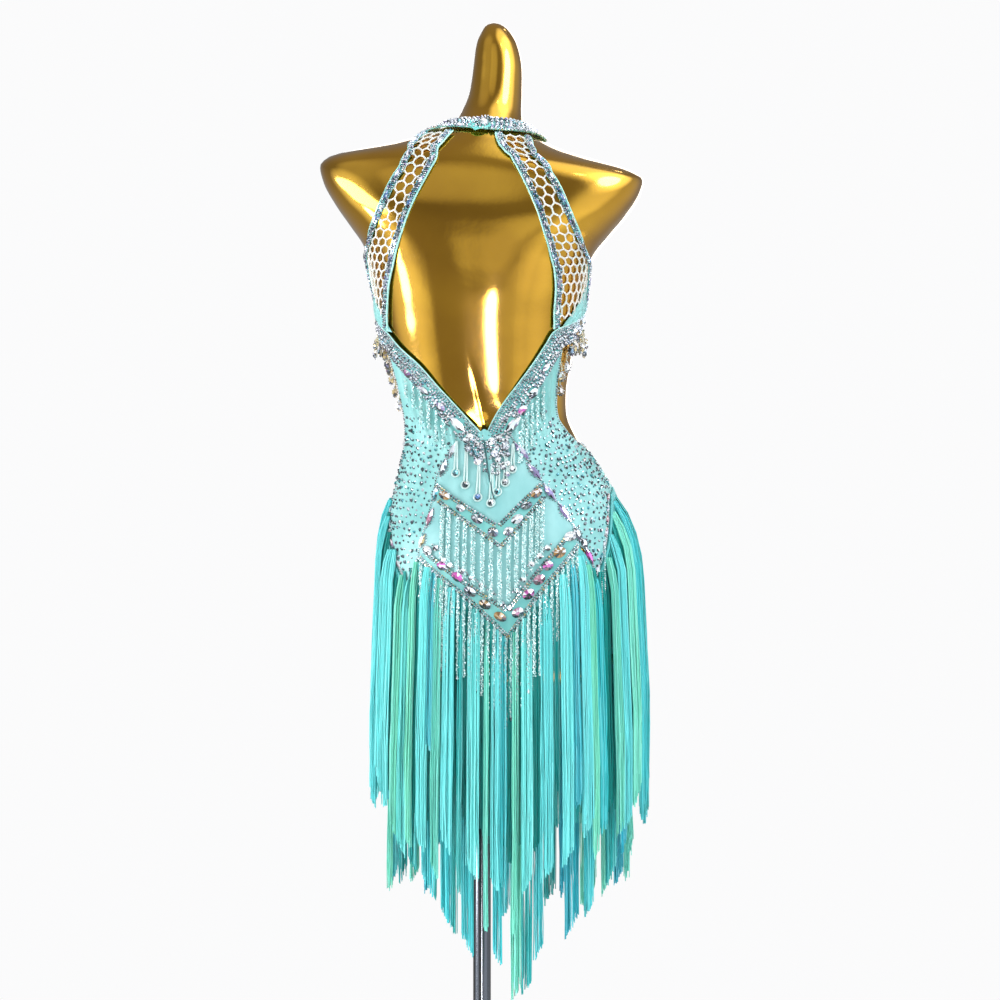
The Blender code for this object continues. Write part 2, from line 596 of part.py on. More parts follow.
class Strap:
    """One back strap: a flat pattern between its opening edge and its armhole edge."""

    def __init__(self, side):
        self.side = side
        inner = [(row.inner_angle, row.inner_height) for row in STRAP]
        outer = [(row.outer_angle, row.outer_height) for row in STRAP]
        middle = [((a + c) / 2, (b + d) / 2) for (a, b), (c, d) in zip(inner, outer)]
        knots = np.arange(len(STRAP), dtype=float)
        self.share = np.linspace(0, len(STRAP) - 1, 161)
        self.edges = [smooth_curve(knots, column, self.share) for column in zip(*STRAP)]
        mid_angle = smooth_curve(knots, [m[0] for m in middle], self.share)
        mid_height = smooth_curve(knots, [m[1] for m in middle], self.share)
        mids = off_body(*self.worn(mid_angle, mid_height), np.full(len(self.share), INNER_LAYER))
        self.run = np.concatenate([[0], np.cumsum(np.linalg.norm(np.diff(mids, axis=0), axis=1))])
        self.length = self.run[-1]
        self.width = self.measure_width()
        self.hidden = float(np.interp(1.0, self.share, self.run))

    def worn(self, angle, height):
        """Places of the pattern on the form, for this side."""
        return self.side * np.asarray(angle) + strap_set(angle, height), np.asarray(height)

    def measure_width(self):
        """Width across the strap at each row of the run."""
        total = np.zeros(len(self.share))
        before = None
        for t in np.linspace(0, 1, 7):
            point = off_body(*self.worn(*self.between(self.share, t)), np.full(len(self.share), INNER_LAYER))
            if before is not None:
                total = total + np.linalg.norm(point - before, axis=1)
            before = point
        return total

    def between(self, share, t):
        """Angle and height a share of the way across from the opening edge to the armhole edge."""
        inner_a, inner_h, outer_a, outer_h = (np.interp(share, self.share, edge) for edge in self.edges)
        return inner_a + (outer_a - inner_a) * t, inner_h + (outer_h - inner_h) * t

    def place(self, across, down):
        """The place on the form of a point of the flat pattern."""
        share = np.interp(down, self.run, self.share)
        width = np.interp(down, self.run, self.width)
        return self.worn(*self.between(share, across / width))

    def width_at(self, down):
        """Width of the pattern at a distance down it."""
        return np.interp(down, self.run, self.width)

    def solid(self, name, outline, holes, inside, layer, finish):
        """A solid cut from the pattern."""
        flat, faces, _ = triangulate(outline, holes, inside)
        angle, height = self.place(flat[:, 0], flat[:, 1])
        return cloth_solid(name, angle, height, faces, layer, layer + CLOTH, finish)

    def build(self, label):
        """The net, the band on the opening edge and the band on the armhole edge."""
        down = np.linspace(0, self.length, 25)
        edge = 1.0
        across = np.linspace(0, 1, 9)[1:-1]
        foot = float(self.width_at(self.length))
        outline = [(edge, y) for y in down] + [(foot * t, self.length) for t in across]
        outline += [(float(self.width_at(y)) - edge, y) for y in down[::-1]]
        outline += [(float(self.width_at(0.0)) * t, 0.0) for t in across[::-2]]
        loose = [(x, self.length - up) for up in (6.0, 18.0) for x in np.arange(14.0, self.width[-1] - 8.0, 14.0)]
        holes = self.net_holes()
        loose = [p for p in loose if all(math.dist(p, np.mean(hole, axis=0)) > NET_HOLE_HEIGHT for hole in holes)]
        self.solid(f"net_{label}", outline, holes, loose, INNER_LAYER, "net_yarn")
        down = np.linspace(self.hidden, self.length, 21)
        inner = [(0.0, y) for y in down] + [(STRAP_BAND, y) for y in down[::-1]]
        self.solid(f"opening_band_{label}", inner, (), [], STRAP_BAND_LAYER, "bead_band")
        wide = [float(self.width_at(y)) for y in down]
        outer = [(w - STRAP_BAND, y) for w, y in zip(wide, down)]
        outer += [(w, y) for w, y in zip(wide[::-1], down[::-1])]
        self.solid(f"armhole_band_{label}", outer, (), [], STRAP_BAND_LAYER, "bead_band")

    def net_holes(self):
        """Six-sided holes in rows that follow the opening edge."""
        clear = STRAP_BAND + NET_HOLE_WIDTH / 2
        holes = []
        row = 0
        y = self.hidden + NET_HOLE_HEIGHT * 0.7
        while y < self.length - NET_HOLE_HEIGHT * 0.75:
            x = clear + (NET_PITCH / 2 if row % 2 else 0.0)
            while x < float(self.width_at(y)) - clear:
                holes.append([(x + u * NET_HOLE_WIDTH / 2, y + v * NET_HOLE_HEIGHT / 2)
                              for u, v in ((0, -1), (1, -0.45), (1, 0.45), (0, 1), (-1, 0.45), (-1, -0.45))])
                x += NET_PITCH
            y += NET_ROW
            row += 1
        return holes


# ---------------------------------------------------------------- body of the dress

def v_edge(side):
    """The V band's top edge on one side, run on past the apex so that its end can be mitred."""
    return [(side * p.angle + float(strap_set(p.angle, p.height)), p.height) for p in V_EDGE]


def v_seam(side, drop, low_angle, high_angle):
    """Places a distance below the V band's top edge, from one angle to another."""
    path = Path(v_edge(side), INNER_LAYER)
    along = np.arange(0, path.length, 4.0)
    angle, height = path.beside(along, -side * drop)
    keep = (side * angle >= low_angle) & (side * angle <= high_angle)
    return list(zip(angle[keep].tolist(), height[keep].tolist()))


def thin_out(places, spacing):
    """Places at least a spacing apart, keeping the first and the last."""
    kept = [places[0]]
    for place in places[1:-1]:
        step = math.hypot((place[0] - kept[-1][0]) * FLAT_PER_DEGREE, place[1] - kept[-1][1])
        if step >= spacing:
            kept.append(place)
    kept.append(places[-1])
    return kept


def side_of(rows, side, shift=0.0):
    """The places of a left and right table on one side, moved out by a shift in mm."""
    places = []
    for row in rows:
        angle = (row.right if side > 0 else row.left) + shift / FLAT_PER_DEGREE
        places.append((side * angle, row.height))
    return places


def build_v_bands():
    """The beaded V band, split at the centre back and at the centre front."""
    for side, label in ((-1, "left"), (1, "right")):
        path = Path(v_edge(side))
        apex = float(np.interp(0.0, side * path.angle, path.run))
        start = apex + ZIP_WIDTH / 2 + 2.0
        corner = float(np.interp(V_CORNER_ANGLE, side * path.angle, path.run))
        stones = [(x, 12.0, 8.5) for x in np.arange(start + 22, corner - 6, 25.0)]
        edges = sorted((-side * SEAM, -side * V_BAND))
        ribbon(f"v_band_{label}", path, edges[0], edges[1], start, path.length - 0.3, layer=V_LAYER,
               stones=stones, mitre=V_MITRE)


def build_back():
    """Centre back, the two side backs with their stoned borders, and the zip."""
    half_seam = SEAM / 2
    centre = []
    for side in (1, -1):
        seam = side_of(HEX_SEAM, side, -half_seam)
        top = thin_out(v_seam(side, V_SEAM_DROP, 1.0, side * seam[0][0] + 1.0), 14.0)
        flank = top + seam
        centre = centre + (flank if side > 0 else flank[::-1])
        if side > 0:
            centre = centre + [(p.angle, p.height + half_seam) for p in CHEVRON_LOWER_LOW[::-1]]
    panel("centre_back", centre)

    for side, label in ((-1, "left"), (1, "right")):
        seam = side_of(HEX_SEAM, side, half_seam)
        top = thin_out(v_seam(side, V_SEAM_DROP, side * seam[0][0] + 1.5, CUT_OUT[0].angle - 0.5), 16.0)
        edge = [(side * p.angle, p.height) for p in CUT_OUT]
        lower = side_of(HIP_EDGE[::-1], side)
        point = side_of([HIP_POINT], side)
        stones = border_stones(side)
        panel(f"side_back_{label}", top + edge + lower + point + seam[::-1], stones=stones, edge_step=18.0)

    zip_top = 1017.0
    half = ZIP_WIDTH / 2
    corners = [walk(-1.0, zip_top, -half, 0), walk(-1.0, zip_top, half, 0)]
    corners += [walk(-1.5, ZIP_BOTTOM, half, 0), walk(-1.5, ZIP_BOTTOM, -half, 0)]
    panel("zip_tape", corners, finish="bead_band", layer=OUTER_LAYER, edge_step=14.0, grid=(60.0, 60.0))


def border_stones(side):
    """Long stones beside the seam of one side back and along its pointed lower edge."""
    rows = side_of(HEX_SEAM[1:], side) + side_of([HIP_POINT], side)
    path = Path(rows, INNER_LAYER)
    stones = []
    for along in np.arange(14.0, path.length - 16.0, 33.0):
        angle, height = path.beside(along, side * 8.0)
        ahead_angle, ahead_height = path.at(along + 4)
        here_angle, here_height = path.at(along)
        turn = math.degrees(math.atan2(ahead_height - here_height, (ahead_angle - here_angle) * FLAT_PER_DEGREE))
        stones.append(Stone(float(angle), float(height), 19.0, 7.0, turn))
    return stones


def chevron(name, top, low, count):
    """One chevron band with a row of large oval stones."""
    stones = []
    for upper, lower in (((top[0], top[2]), (low[0], low[2])), ((top[2], top[4]), (low[2], low[4]))):
        start = Place((upper[0].angle + lower[0].angle) / 2, (upper[0].height + lower[0].height) / 2)
        end = Place((upper[1].angle + lower[1].angle) / 2, (upper[1].height + lower[1].height) / 2)
        turn = math.degrees(math.atan2(end.height - start.height, (end.angle - start.angle) * FLAT_PER_DEGREE))
        for k in range(count):
            t = (k + 0.5) / count
            stones.append(Stone(start.angle + (end.angle - start.angle) * t,
                                start.height + (end.height - start.height) * t, 12.0, 8.5, turn))
    panel(name, list(top) + list(low[::-1]), finish="bead_band", layer=OUTER_LAYER, stones=stones,
          edge_step=17.0, grid=(300.0, 300.0))


def build_front():
    """The halter bodice with its cups, and the lower front between the side cut-outs."""
    top = [(a, float(walk(a, float(neckband_line(a)), 0.0, -3.5)[1])) for a in (133, 145, 160, 180, 200, 215, 227)]
    right = [tuple(p) for p in FRONT_ARMHOLE[1:]]
    left = [(360 - a, h) for a, h in right]
    seam = [(a, h) for a, h in v_seam(1, 0.0, 101.0, 179.0)]
    seam = thin_out([(a, h - V_SEAM_DROP + SEAM) for a, h in seam], 16.0)
    under = seam + [(360 - a, h) for a, h in seam[::-1]]
    panel("bodice_front", top[::-1] + right + under + left[::-1], layer=BODICE_LAYER, edge_step=15.0,
          grid=(19.0, 23.0))

    seam = thin_out([(a, h - SEAM * 2) for a, h in v_seam(1, 0.0, 123.0, 179.0)], 16.0)
    seam = [(a, h - V_SEAM_DROP) for a, h in seam]
    edge = [(180 - p.angle, p.height) for p in CUT_OUT[1:-1]] + [(90.4, 999)]
    hips = [tuple(p) for p in FRONT_FRINGE_LINE]
    half = seam[::-1] + edge + hips
    other = [(360 - a, h) for a, h in half[::-1]]
    panel("front_panel", half + other[1:-1], layer=FRONT_LAYER, edge_step=20.0, grid=(22.0, 32.0))


# ---------------------------------------------------------------- yoke and fringe

def back_fringe_line():
    """Where the top fringe starts behind: under the hip points and the lower chevron."""
    left = side_of(HIP_EDGE[::-1], -1) + side_of([HIP_POINT], -1)
    right = side_of([HIP_POINT], 1) + side_of(HIP_EDGE, 1)
    return left + [tuple(p) for p in CHEVRON_LOWER_LOW] + right


def front_fringe_line():
    """Where the top fringe starts in front."""
    half = [tuple(p) for p in FRONT_FRINGE_LINE]
    return half + [(360 - a, h) for a, h in half[-2::-1]]


def line_height(line, angle):
    """Height of a fringe line at an angle."""
    return np.interp(angle, [p[0] for p in line], [p[1] for p in line])


def build_yoke():
    """The plain hip yoke under the fringe, in a back and a front half."""
    for name, line, low, high in (("yoke_back", back_fringe_line(), -89.6, 89.6),
                                  ("yoke_front", front_fringe_line(), 90.4, 269.6)):
        top = [(low, line_height(line, low) - SEAM * 2)]
        top += [(a, h - SEAM * 2) for a, h in line if low < a < high]
        top += [(high, line_height(line, high) - SEAM * 2)]
        corners = top + [(high, YOKE_HEM), (low, YOKE_HEM)]
        panel(name, corners, layer=YOKE_LAYER, edge_step=22.0, grid=(22.0, 30.0))


def drape(angle, root, height, start, spread, flare):
    """A point of the fringe that slides over the hips and then hangs straight."""
    levels = np.linspace(min(root, max(height, LOWEST_DRAPE)), root, 24)
    here = surface(np.full(24, angle), levels)
    axis = np.array([33.0, -3.0])
    reach = np.hypot(here[:, 0] - axis[0], here[:, 1] - axis[1])
    widest = here[int(np.argmax(reach))]
    normal = surface_normal(np.array([angle]), np.array([min(root, 860.0)]))[0]
    flat = normal[:2] / np.linalg.norm(normal[:2])
    drop = root - height
    out = start + spread * min(1.0, drop / 40.0) + flare * min(1.0, max(0.0, (drop - 40.0) / 210.0))
    return widest[:2] + flat * out, flat


def fringe(name, line, low, high, pitch, column, spread, flare, levels, rng):
    """A strip of tape with its locks of fringe, all one piece, from one angle to another."""
    count = max(1, round((high - low) / pitch))
    angles = np.linspace(low, high, count + 1)
    bottom = line_height(line, angles) - TAPE_HEIGHT - 1.0
    top = bottom + TAPE_HEIGHT
    inner = TAPE_LAYER
    outer = TAPE_LAYER + TAPE_THICKNESS
    rows = [off_body(angles, top, np.full(count + 1, inner)), off_body(angles, top, np.full(count + 1, outer)),
            off_body(angles, bottom, np.full(count + 1, outer)), off_body(angles, bottom, np.full(count + 1, inner))]
    vertices = [v for row in rows for v in row]
    stations = count + 1

    def at(row, k):
        return row * stations + k

    faces = [(at(3, 0), at(2, 0), at(1, 0), at(0, 0)), (at(0, count), at(1, count), at(2, count), at(3, count))]
    for k in range(count):
        faces.append((at(1, k), at(1, k + 1), at(0, k + 1), at(0, k)))
        faces.append((at(2, k), at(2, k + 1), at(1, k + 1), at(1, k)))
        faces.append((at(0, k), at(0, k + 1), at(3, k + 1), at(3, k)))
        middle = (angles[k] + angles[k + 1]) / 2
        root = min(bottom[k], bottom[k + 1])
        wrapped = (middle + 180.0) % 360.0 - 180.0
        tip = float(np.interp(wrapped, [t.angle for t in TIPS], [t[column] for t in TIPS]))
        tip += rng.uniform(-TIP_JITTER, TIP_JITTER)
        loop = [at(3, k), at(3, k + 1), at(2, k + 1), at(2, k)]
        for share in levels:
            height = root - 14.0 - (root - 14.0 - tip) * share
            centre, out = drape(middle, root, height, (inner + outer) / 2, spread, flare)
            side = np.array([-out[1], out[0]])
            near, _ = drape(angles[k], root, height, inner, spread, flare)
            far, _ = drape(angles[k + 1], root, height, inner, spread, flare)
            half = np.hypot(*(far - near)) / 2 * LOCK_FILL * (0.8 if share == 1.0 else 1.0)
            deep = LOCK_DEPTH / 2 * (0.35 if share == 0.0 else 1.0)
            start = len(vertices)
            for across, depth in ((-half, -deep), (half, -deep), (half, deep), (-half, deep)):
                spot = centre + side * across + out * (depth + deep * 0.4)
                vertices.append((spot[0], spot[1], height))
            ring = [start, start + 1, start + 2, start + 3]
            for i in range(4):
                j = (i + 1) % 4
                faces.append((loop[j], ring[j], ring[i], loop[i]))
            loop = ring
        faces.append(tuple(loop))
    return dressed_object(name, vertices, faces, "fringe_yarn")


def build_fringe():
    """The top fringe from the edge of the panels and the longer fringe from the yoke's hem."""
    rng = random.Random(FRINGE_SEED)
    back = back_fringe_line()
    front = front_fringe_line()
    outer_levels = (0.0, 0.22, 1.0)
    runs = (("fringe_hip_left", back, -89.4, -46.7), ("fringe_back_left", back, -46.3, 3.3),
            ("fringe_back_right", back, 3.7, 47.7), ("fringe_hip_right", back, 48.1, 89.4),
            ("fringe_front_right", front, 90.7, 179.8), ("fringe_front_left", front, 180.2, 269.3))
    for name, line, low, high in runs:
        pitch = FRONT_LOCK_PITCH if line is front else LOCK_PITCH
        fringe(name, line, low, high, pitch, 1, 8.0, 9.0, outer_levels, rng)
    hem_top = YOKE_HEM + TAPE_HEIGHT + 1.5
    hem = [(-200.0, hem_top), (400.0, hem_top)]
    under_runs = (("fringe_under_back_left", -89.8, -0.2), ("fringe_under_back_right", 0.2, 89.8),
                  ("fringe_under_front_right", 90.2, 179.8), ("fringe_under_front_left", 180.2, 269.8))
    for name, low, high in under_runs:
        pitch = UNDER_FRONT_LOCK_PITCH if "front" in name else UNDER_LOCK_PITCH
        fringe(name, hem, low, high, pitch, 2, 3.0, 6.0, (0.0, 1.0), rng)


def main():
    """Clear the scene and build every piece."""
    for obj in list(bpy.data.objects):
        bpy.data.objects.remove(obj, do_unlink=True)
    build_form()
    build_stand()
    build_neckband()
    for side, label in ((-1, "left"), (1, "right")):
        Strap(side).build(label)
    build_v_bands()
    build_back()
    chevron("chevron_upper", CHEVRON_UPPER_TOP, CHEVRON_UPPER_LOW, 4)
    chevron("chevron_lower", CHEVRON_LOWER_TOP, CHEVRON_LOWER_LOW, 6)
    build_front()
    build_yoke()
    build_fringe()


main()
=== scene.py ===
"""Looks of a latin dance dress on a limbless dress form.

The dress is a backless halter with honeycomb net straps, a crystal V over
the waist, two chevrons on the hips and long layered fringe. Each
sub-assembly is a class below, and main() builds them in order around the
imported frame. Places on the body are an angle round it in degrees (0 at the
centre back, +90 at the +X side) and a height in millimetres. Tables are in
millimetres, and meshes come out in metres.
"""
import functools
import logging
import math
import time

from dataclasses import dataclass, field
from enum import Enum
from typing import Callable, ClassVar, Iterable, NamedTuple, Optional, Sequence, Union

import bpy
import numpy as np
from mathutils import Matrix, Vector
from mathutils.geometry import delaunay_2d_cdt


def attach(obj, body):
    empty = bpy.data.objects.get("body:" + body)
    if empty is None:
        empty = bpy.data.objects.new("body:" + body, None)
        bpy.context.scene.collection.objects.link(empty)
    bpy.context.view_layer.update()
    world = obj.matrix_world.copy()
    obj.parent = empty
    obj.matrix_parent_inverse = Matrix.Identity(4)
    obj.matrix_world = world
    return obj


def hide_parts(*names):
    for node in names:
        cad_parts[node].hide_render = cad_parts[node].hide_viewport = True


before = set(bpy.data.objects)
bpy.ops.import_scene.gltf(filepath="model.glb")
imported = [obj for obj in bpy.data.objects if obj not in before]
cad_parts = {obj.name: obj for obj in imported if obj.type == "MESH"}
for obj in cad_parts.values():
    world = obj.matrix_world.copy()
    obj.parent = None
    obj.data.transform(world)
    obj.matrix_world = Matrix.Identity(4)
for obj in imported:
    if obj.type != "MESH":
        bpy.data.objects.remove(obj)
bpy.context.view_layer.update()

log = logging.getLogger("dress")

MM = 0.001
FLAT_PER_DEGREE = 2.3
FORM_FOOT = 735.0
Places = Sequence[tuple[float, float]]
Reals = Union[float, np.ndarray]
Spots = tuple[np.ndarray, np.ndarray, np.ndarray]


# ---------------------------------------------------------------- tables

def table_of(kind: Callable, *rows: tuple) -> tuple:
    """A table whose rows take their column names from a class."""
    return tuple(kind(*row) for row in rows)


class Ring(NamedTuple):
    """One level ring of the torso."""
    height: float
    centre_x: float
    half_width: float
    centre_y: float
    back: float
    front: float
    squareness: float
    lean: float


RINGS = table_of(
    Ring, (702, 31, 40, 0, 24, 24, 2, 0), (704, 31, 92, 0, 50, 50, 2.2, 0),
    (712, 32, 122, 0, 70, 68, 2.2, 0.01), (728, 33, 138, -1, 84, 80, 2.2, 0.02),
    (760, 34, 148, -2, 98, 88, 2.2, 0.03), (805, 34, 154.5, -3, 114, 93, 2.2, 0.05),
    (855, 33, 156, -4, 121, 96, 2.2, 0.06), (900, 30.5, 151.5, -3, 114, 98, 2.2, 0.06),
    (945, 26.5, 141.5, -1, 99, 97, 2.2, 0.06), (985, 20, 126.5, 1, 84, 94, 2.2, 0.05),
    (1020, 11.5, 111.5, 2, 74, 89, 2.2, 0.04), (1050, 5, 106, 2, 71, 86, 2.2, 0.03),
    (1075, 2, 108, 2, 73, 87, 2.2, 0.02), (1120, -1, 117, 1, 82, 94, 2.2, 0.01),
    (1170, -3, 128, 0, 94, 107, 2.2, 0), (1215, -3, 136, -1, 103, 117, 2.3, -0.01),
    (1248, -3, 142.5, -2, 106, 111, 2.4, -0.02), (1268, -2, 151, -3, 106, 103, 2.5, -0.03),
    (1292, -1, 169, -5, 104, 91, 2.7, -0.035), (1318, 0, 189, -8, 99, 80, 2.8, -0.04),
    (1345, 0.5, 205, -10, 91, 71, 2.8, -0.045), (1365, 0.5, 210, -11, 84, 65, 2.6, -0.05),
    (1377, -1, 197, -11, 79, 62, 2.4, -0.055), (1387, -4, 163, -10, 74, 60, 2.2, -0.055),
    (1397, -3, 121, -9, 68, 57, 2.1, -0.055), (1408, -1, 88, -6, 62, 54, 2, -0.05),
    (1420, 5, 61, -2, 56, 50, 2, -0.045), (1434, 10, 44, 3, 50, 44, 2, -0.04),
    (1450, 13, 38.5, 8, 43, 39, 2, -0.03), (1473, 17, 34.5, 13, 38, 36, 2, -0.01),
    (1510, 19, 31.5, 18, 33, 32, 2, 0), (1538, 17.5, 26.5, 21, 27, 26, 2, 0),
    (1555, 16, 18, 23, 18, 18, 2, 0), (1563.5, 14, 10, 24, 9.5, 9.5, 2, 0), (1566.5, 13.5, 1, 24, 1, 1, 2, 0))


class StrapRow(NamedTuple):
    """The opening edge and the armhole edge of a back strap at one row."""
    inner_angle: float
    inner_height: float
    outer_angle: float
    outer_height: float


STRAP = table_of(
    StrapRow, (20, 1415, 54.5, 1413.5), (19, 1411, 53, 1409), (15, 1391, 34.5, 1393),
    (13.5, 1373.5, 26, 1380), (15.6, 1356, 25.7, 1366), (18.4, 1339, 28.5, 1349), (21.9, 1321, 32, 1332),
    (25.6, 1304, 37, 1313), (30, 1286, 44.5, 1293.5), (35.5, 1268, 58, 1271), (43, 1237, 80, 1247),
    (47.5, 1212, 92, 1222), (51, 1184, 98, 1204), (54, 1161, 99, 1192))


class Set(NamedTuple):
    """Sideways set of the straps at a height."""
    height: float
    degrees: float


STRAP_SET = table_of(
    Set, (1060, 0), (1115, 0), (1140, -3), (1160, -5), (1182, -4), (1208, -2), (1240, 0), (1380, 0),
    (1411, -3), (1425, -3))


class Place(NamedTuple):
    """A place on the body."""
    angle: float
    height: float


V_EDGE = table_of(
    Place, (-14, 986), (0, 1023), (14, 1060), (25.5, 1088), (36, 1116), (47, 1141), (54, 1158), (70, 1172),
    (85, 1184), (98, 1190), (115, 1186), (140, 1166), (160, 1156), (180, 1154))


class SidePair(NamedTuple):
    """The angles of a seam at a height on the left and on the right."""
    height: float
    left: float
    right: float


HEX_SEAM = table_of(
    SidePair, (1040, 15, 14), (1016, 20, 17), (995, 27, 20), (975, 31.5, 22.5), (950, 33, 27.5),
    (922, 35, 33), (895, 38.5, 38), (874, 40, 41.5))
HIP_POINT = SidePair(837, 46.5, 48)
HIP_EDGE = table_of(
    SidePair, (860, 54, 52.5), (880, 60.5, 57), (903, 68.5, 61.5), (926, 76, 67), (941, 82, 73.5),
    (951, 89.6, 89.6))
CUT_OUT = table_of(
    Place, (57, 1143), (57, 1098), (58, 1076), (55.5, 1060), (56.5, 1042), (61.5, 1028), (69, 1013),
    (80, 1003), (89.6, 999))
CUT_OUT_RIGHT = table_of(
    Place, (61, 1143), (61, 1098), (61, 1076), (60.5, 1060), (61, 1042), (66, 1024), (73.5, 1013), (82, 1004),
    (89.6, 999))
CUT_OUT_LEFT = table_of(
    Place, (71, 1150), (71, 1098), (72, 1076), (72, 1060), (72.5, 1042), (74, 1028), (77.5, 1013), (83, 1004),
    (89.6, 999))
CHEVRON_UPPER_TOP = table_of(
    Place, (-31, 966), (-14.5, 937), (0.5, 911), (12, 937), (24, 960))
CHEVRON_UPPER_LOW = table_of(
    Place, (-30.5, 942), (-14, 911), (1.5, 879), (13, 909), (25.5, 940))
CHEVRON_LOWER_TOP = table_of(
    Place, (-35.5, 885), (-17.5, 848), (3, 807), (18.5, 856), (32, 892))
CHEVRON_LOWER_LOW = table_of(
    Place, (-39.5, 873), (-19, 828), (3.5, 767), (20, 825), (39, 878))
FRONT_ARMHOLE = table_of(
    Place, (130, 1403), (152, 1374), (149, 1340), (138, 1300), (122, 1262), (107, 1236), (101.5, 1215),
    (100, 1193))
FRONT_FRINGE_LINE = table_of(
    Place, (90.4, 951), (115, 922), (140, 882), (165, 836), (180, 815))


class Tip(NamedTuple):
    """Lowest points of the top fringe and of the under fringe at an angle."""
    angle: float
    outer: float
    under: float


TIPS = table_of(
    Tip, (-180, 480, 400), (-120, 520, 420), (-90, 570, 462), (-60, 545, 432), (-40, 512, 398),
    (-20, 488, 362), (0, 470, 330), (8, 462, 312), (20, 478, 345), (40, 500, 385), (60, 525, 428),
    (90, 558, 470), (120, 520, 425), (180, 480, 400))


# ---------------------------------------------------------------- the body's surface

def smooth_curve(knots: Sequence[float], values: Sequence[float], at: np.ndarray) -> np.ndarray:
    """Monotone cubic through a table, so it never overshoots between rows.

    Args:
        knots: The table's first column, rising.
        values: The values at the knots.
        at: Where to read the curve.

    Returns:
        The values there.
    """
    knots, values, at = np.asarray(knots, float), np.asarray(values, float), np.asarray(at, float)
    step = np.diff(knots)
    slope = np.diff(values) / step
    tangent = np.zeros(len(knots))
    for i in range(1, len(knots) - 1):
        if slope[i - 1] * slope[i] > 0:
            before = 2 * step[i] + step[i - 1]
            after = step[i] + 2 * step[i - 1]
            tangent[i] = (before + after) / (before / slope[i - 1] + after / slope[i])
    tangent[0], tangent[-1] = slope[0], slope[-1]
    i = np.clip(np.searchsorted(knots, at) - 1, 0, len(knots) - 2)
    t = (at - knots[i]) / step[i]
    return ((2 * t**3 - 3 * t**2 + 1) * values[i] + (t**3 - 2 * t**2 + t) * step[i] * tangent[i]
            + (3 * t**2 - 2 * t**3) * values[i + 1] + (t**3 - t**2) * step[i] * tangent[i + 1])


@dataclass(frozen=True)
class Body:
    """The torso that the cloth rests on, as a surface over angle and height."""
    spine_depth: float = 9.0
    spine_spread: float = 13.0
    spine_height: float = 1130.0
    spine_reach: float = 150.0
    cup_depth: float = 18.0
    cup_angle: float = 140.0
    cup_spread: float = 30.0
    cup_height: float = 1212.0
    cup_reach: float = 60.0

    def point(self, angle: np.ndarray, height: np.ndarray, spine: float = 0.0) -> np.ndarray:
        """Points on the body.

        Args:
            angle: Degrees round it.
            height: Millimetres above the floor.
            spine: 1 for the form itself, 0 for cloth, which spans the hollow of the back.

        Returns:
            The points, one row each.
        """
        table = np.array(RINGS, float)
        angle = (np.asarray(angle, float) + 180.0) % 360.0 - 180.0
        height = np.asarray(height, float)
        centre_x, half_width, centre_y, back, front, squareness, lean = (
            smooth_curve(table[:, 0], table[:, k], height) for k in range(1, 8))
        across, behind = np.sin(np.radians(angle)), np.cos(np.radians(angle))
        reach = (np.abs(across)**squareness + np.abs(behind)**squareness)**(-1 / squareness)
        depth = np.where(behind > 0, back, front)
        groove = self.spine_depth * np.exp(-(angle / self.spine_spread)**2
                                           - ((height - self.spine_height) / self.spine_reach)**4)
        cup_off = (np.abs(angle) - self.cup_angle) / self.cup_spread
        cup = self.cup_depth * np.exp(-cup_off**2 - ((height - self.cup_height) / self.cup_reach)**2)
        x = centre_x + half_width * reach * across + 0.35 * cup * across
        y = centre_y - (depth * reach + cup - spine * groove) * behind
        return np.stack([x, y, height + lean * (x - centre_x)], axis=-1)

    def directions(self, angle: np.ndarray, height: np.ndarray) -> tuple[np.ndarray, np.ndarray, np.ndarray]:
        """Unit vectors that go round, up and out of the body at a place.

        Args:
            angle: Degrees round the body.
            height: Millimetres above the floor.

        Returns:
            The three vectors.
        """
        angle, height = np.asarray(angle, float), np.asarray(height, float)
        level = self.point(angle + 0.5, height) - self.point(angle - 0.5, height)
        rising = self.point(angle, height + 0.6) - self.point(angle, height - 0.6)
        out = np.cross(level, rising)
        return tuple(v / np.linalg.norm(v, axis=-1, keepdims=True) for v in (level, rising, out))

    def off(self, angle: np.ndarray, height: np.ndarray, out: Union[float, np.ndarray]) -> np.ndarray:
        """Points that stand a distance out from the body.

        Args:
            angle: Degrees round the body.
            height: Millimetres above the floor.
            out: How far out from the body.

        Returns:
            The points.
        """
        angle, height = np.asarray(angle, float), np.asarray(height, float)
        out = np.broadcast_to(np.asarray(out, float), angle.shape)
        return self.point(angle, height) + self.directions(angle, height)[2] * out[..., None]

    def walk(self, angle: np.ndarray, height: np.ndarray, across: np.ndarray, up: np.ndarray,
             steps: int = 4) -> tuple[np.ndarray, np.ndarray]:
        """The place reached by going a distance across and up along the surface.

        Args:
            angle: Degrees round the body.
            height: Millimetres above the floor.
            across: How far to go round.
            up: How far to go up.
            steps: In how many steps.

        Returns:
            Its angle and height.
        """
        for _ in range(steps):
            by_angle = np.linalg.norm(self.point(angle + 0.5, height) - self.point(angle - 0.5, height),
                                      axis=-1)
            by_height = np.linalg.norm(self.point(angle, height + 0.5) - self.point(angle, height - 0.5),
                                       axis=-1)
            angle = angle + across / steps / by_angle
            height = height + up / steps / by_height
        return angle, height


BODY = Body()


def strap_set(angle: np.ndarray, height: np.ndarray) -> np.ndarray:
    """Sideways set of the straps in degrees, fading out towards the underarm."""
    sideways = np.interp(height, [row.height for row in STRAP_SET], [row.degrees for row in STRAP_SET])
    return sideways * np.clip((95.0 - np.abs(angle)) / 40.0, 0.0, 1.0)


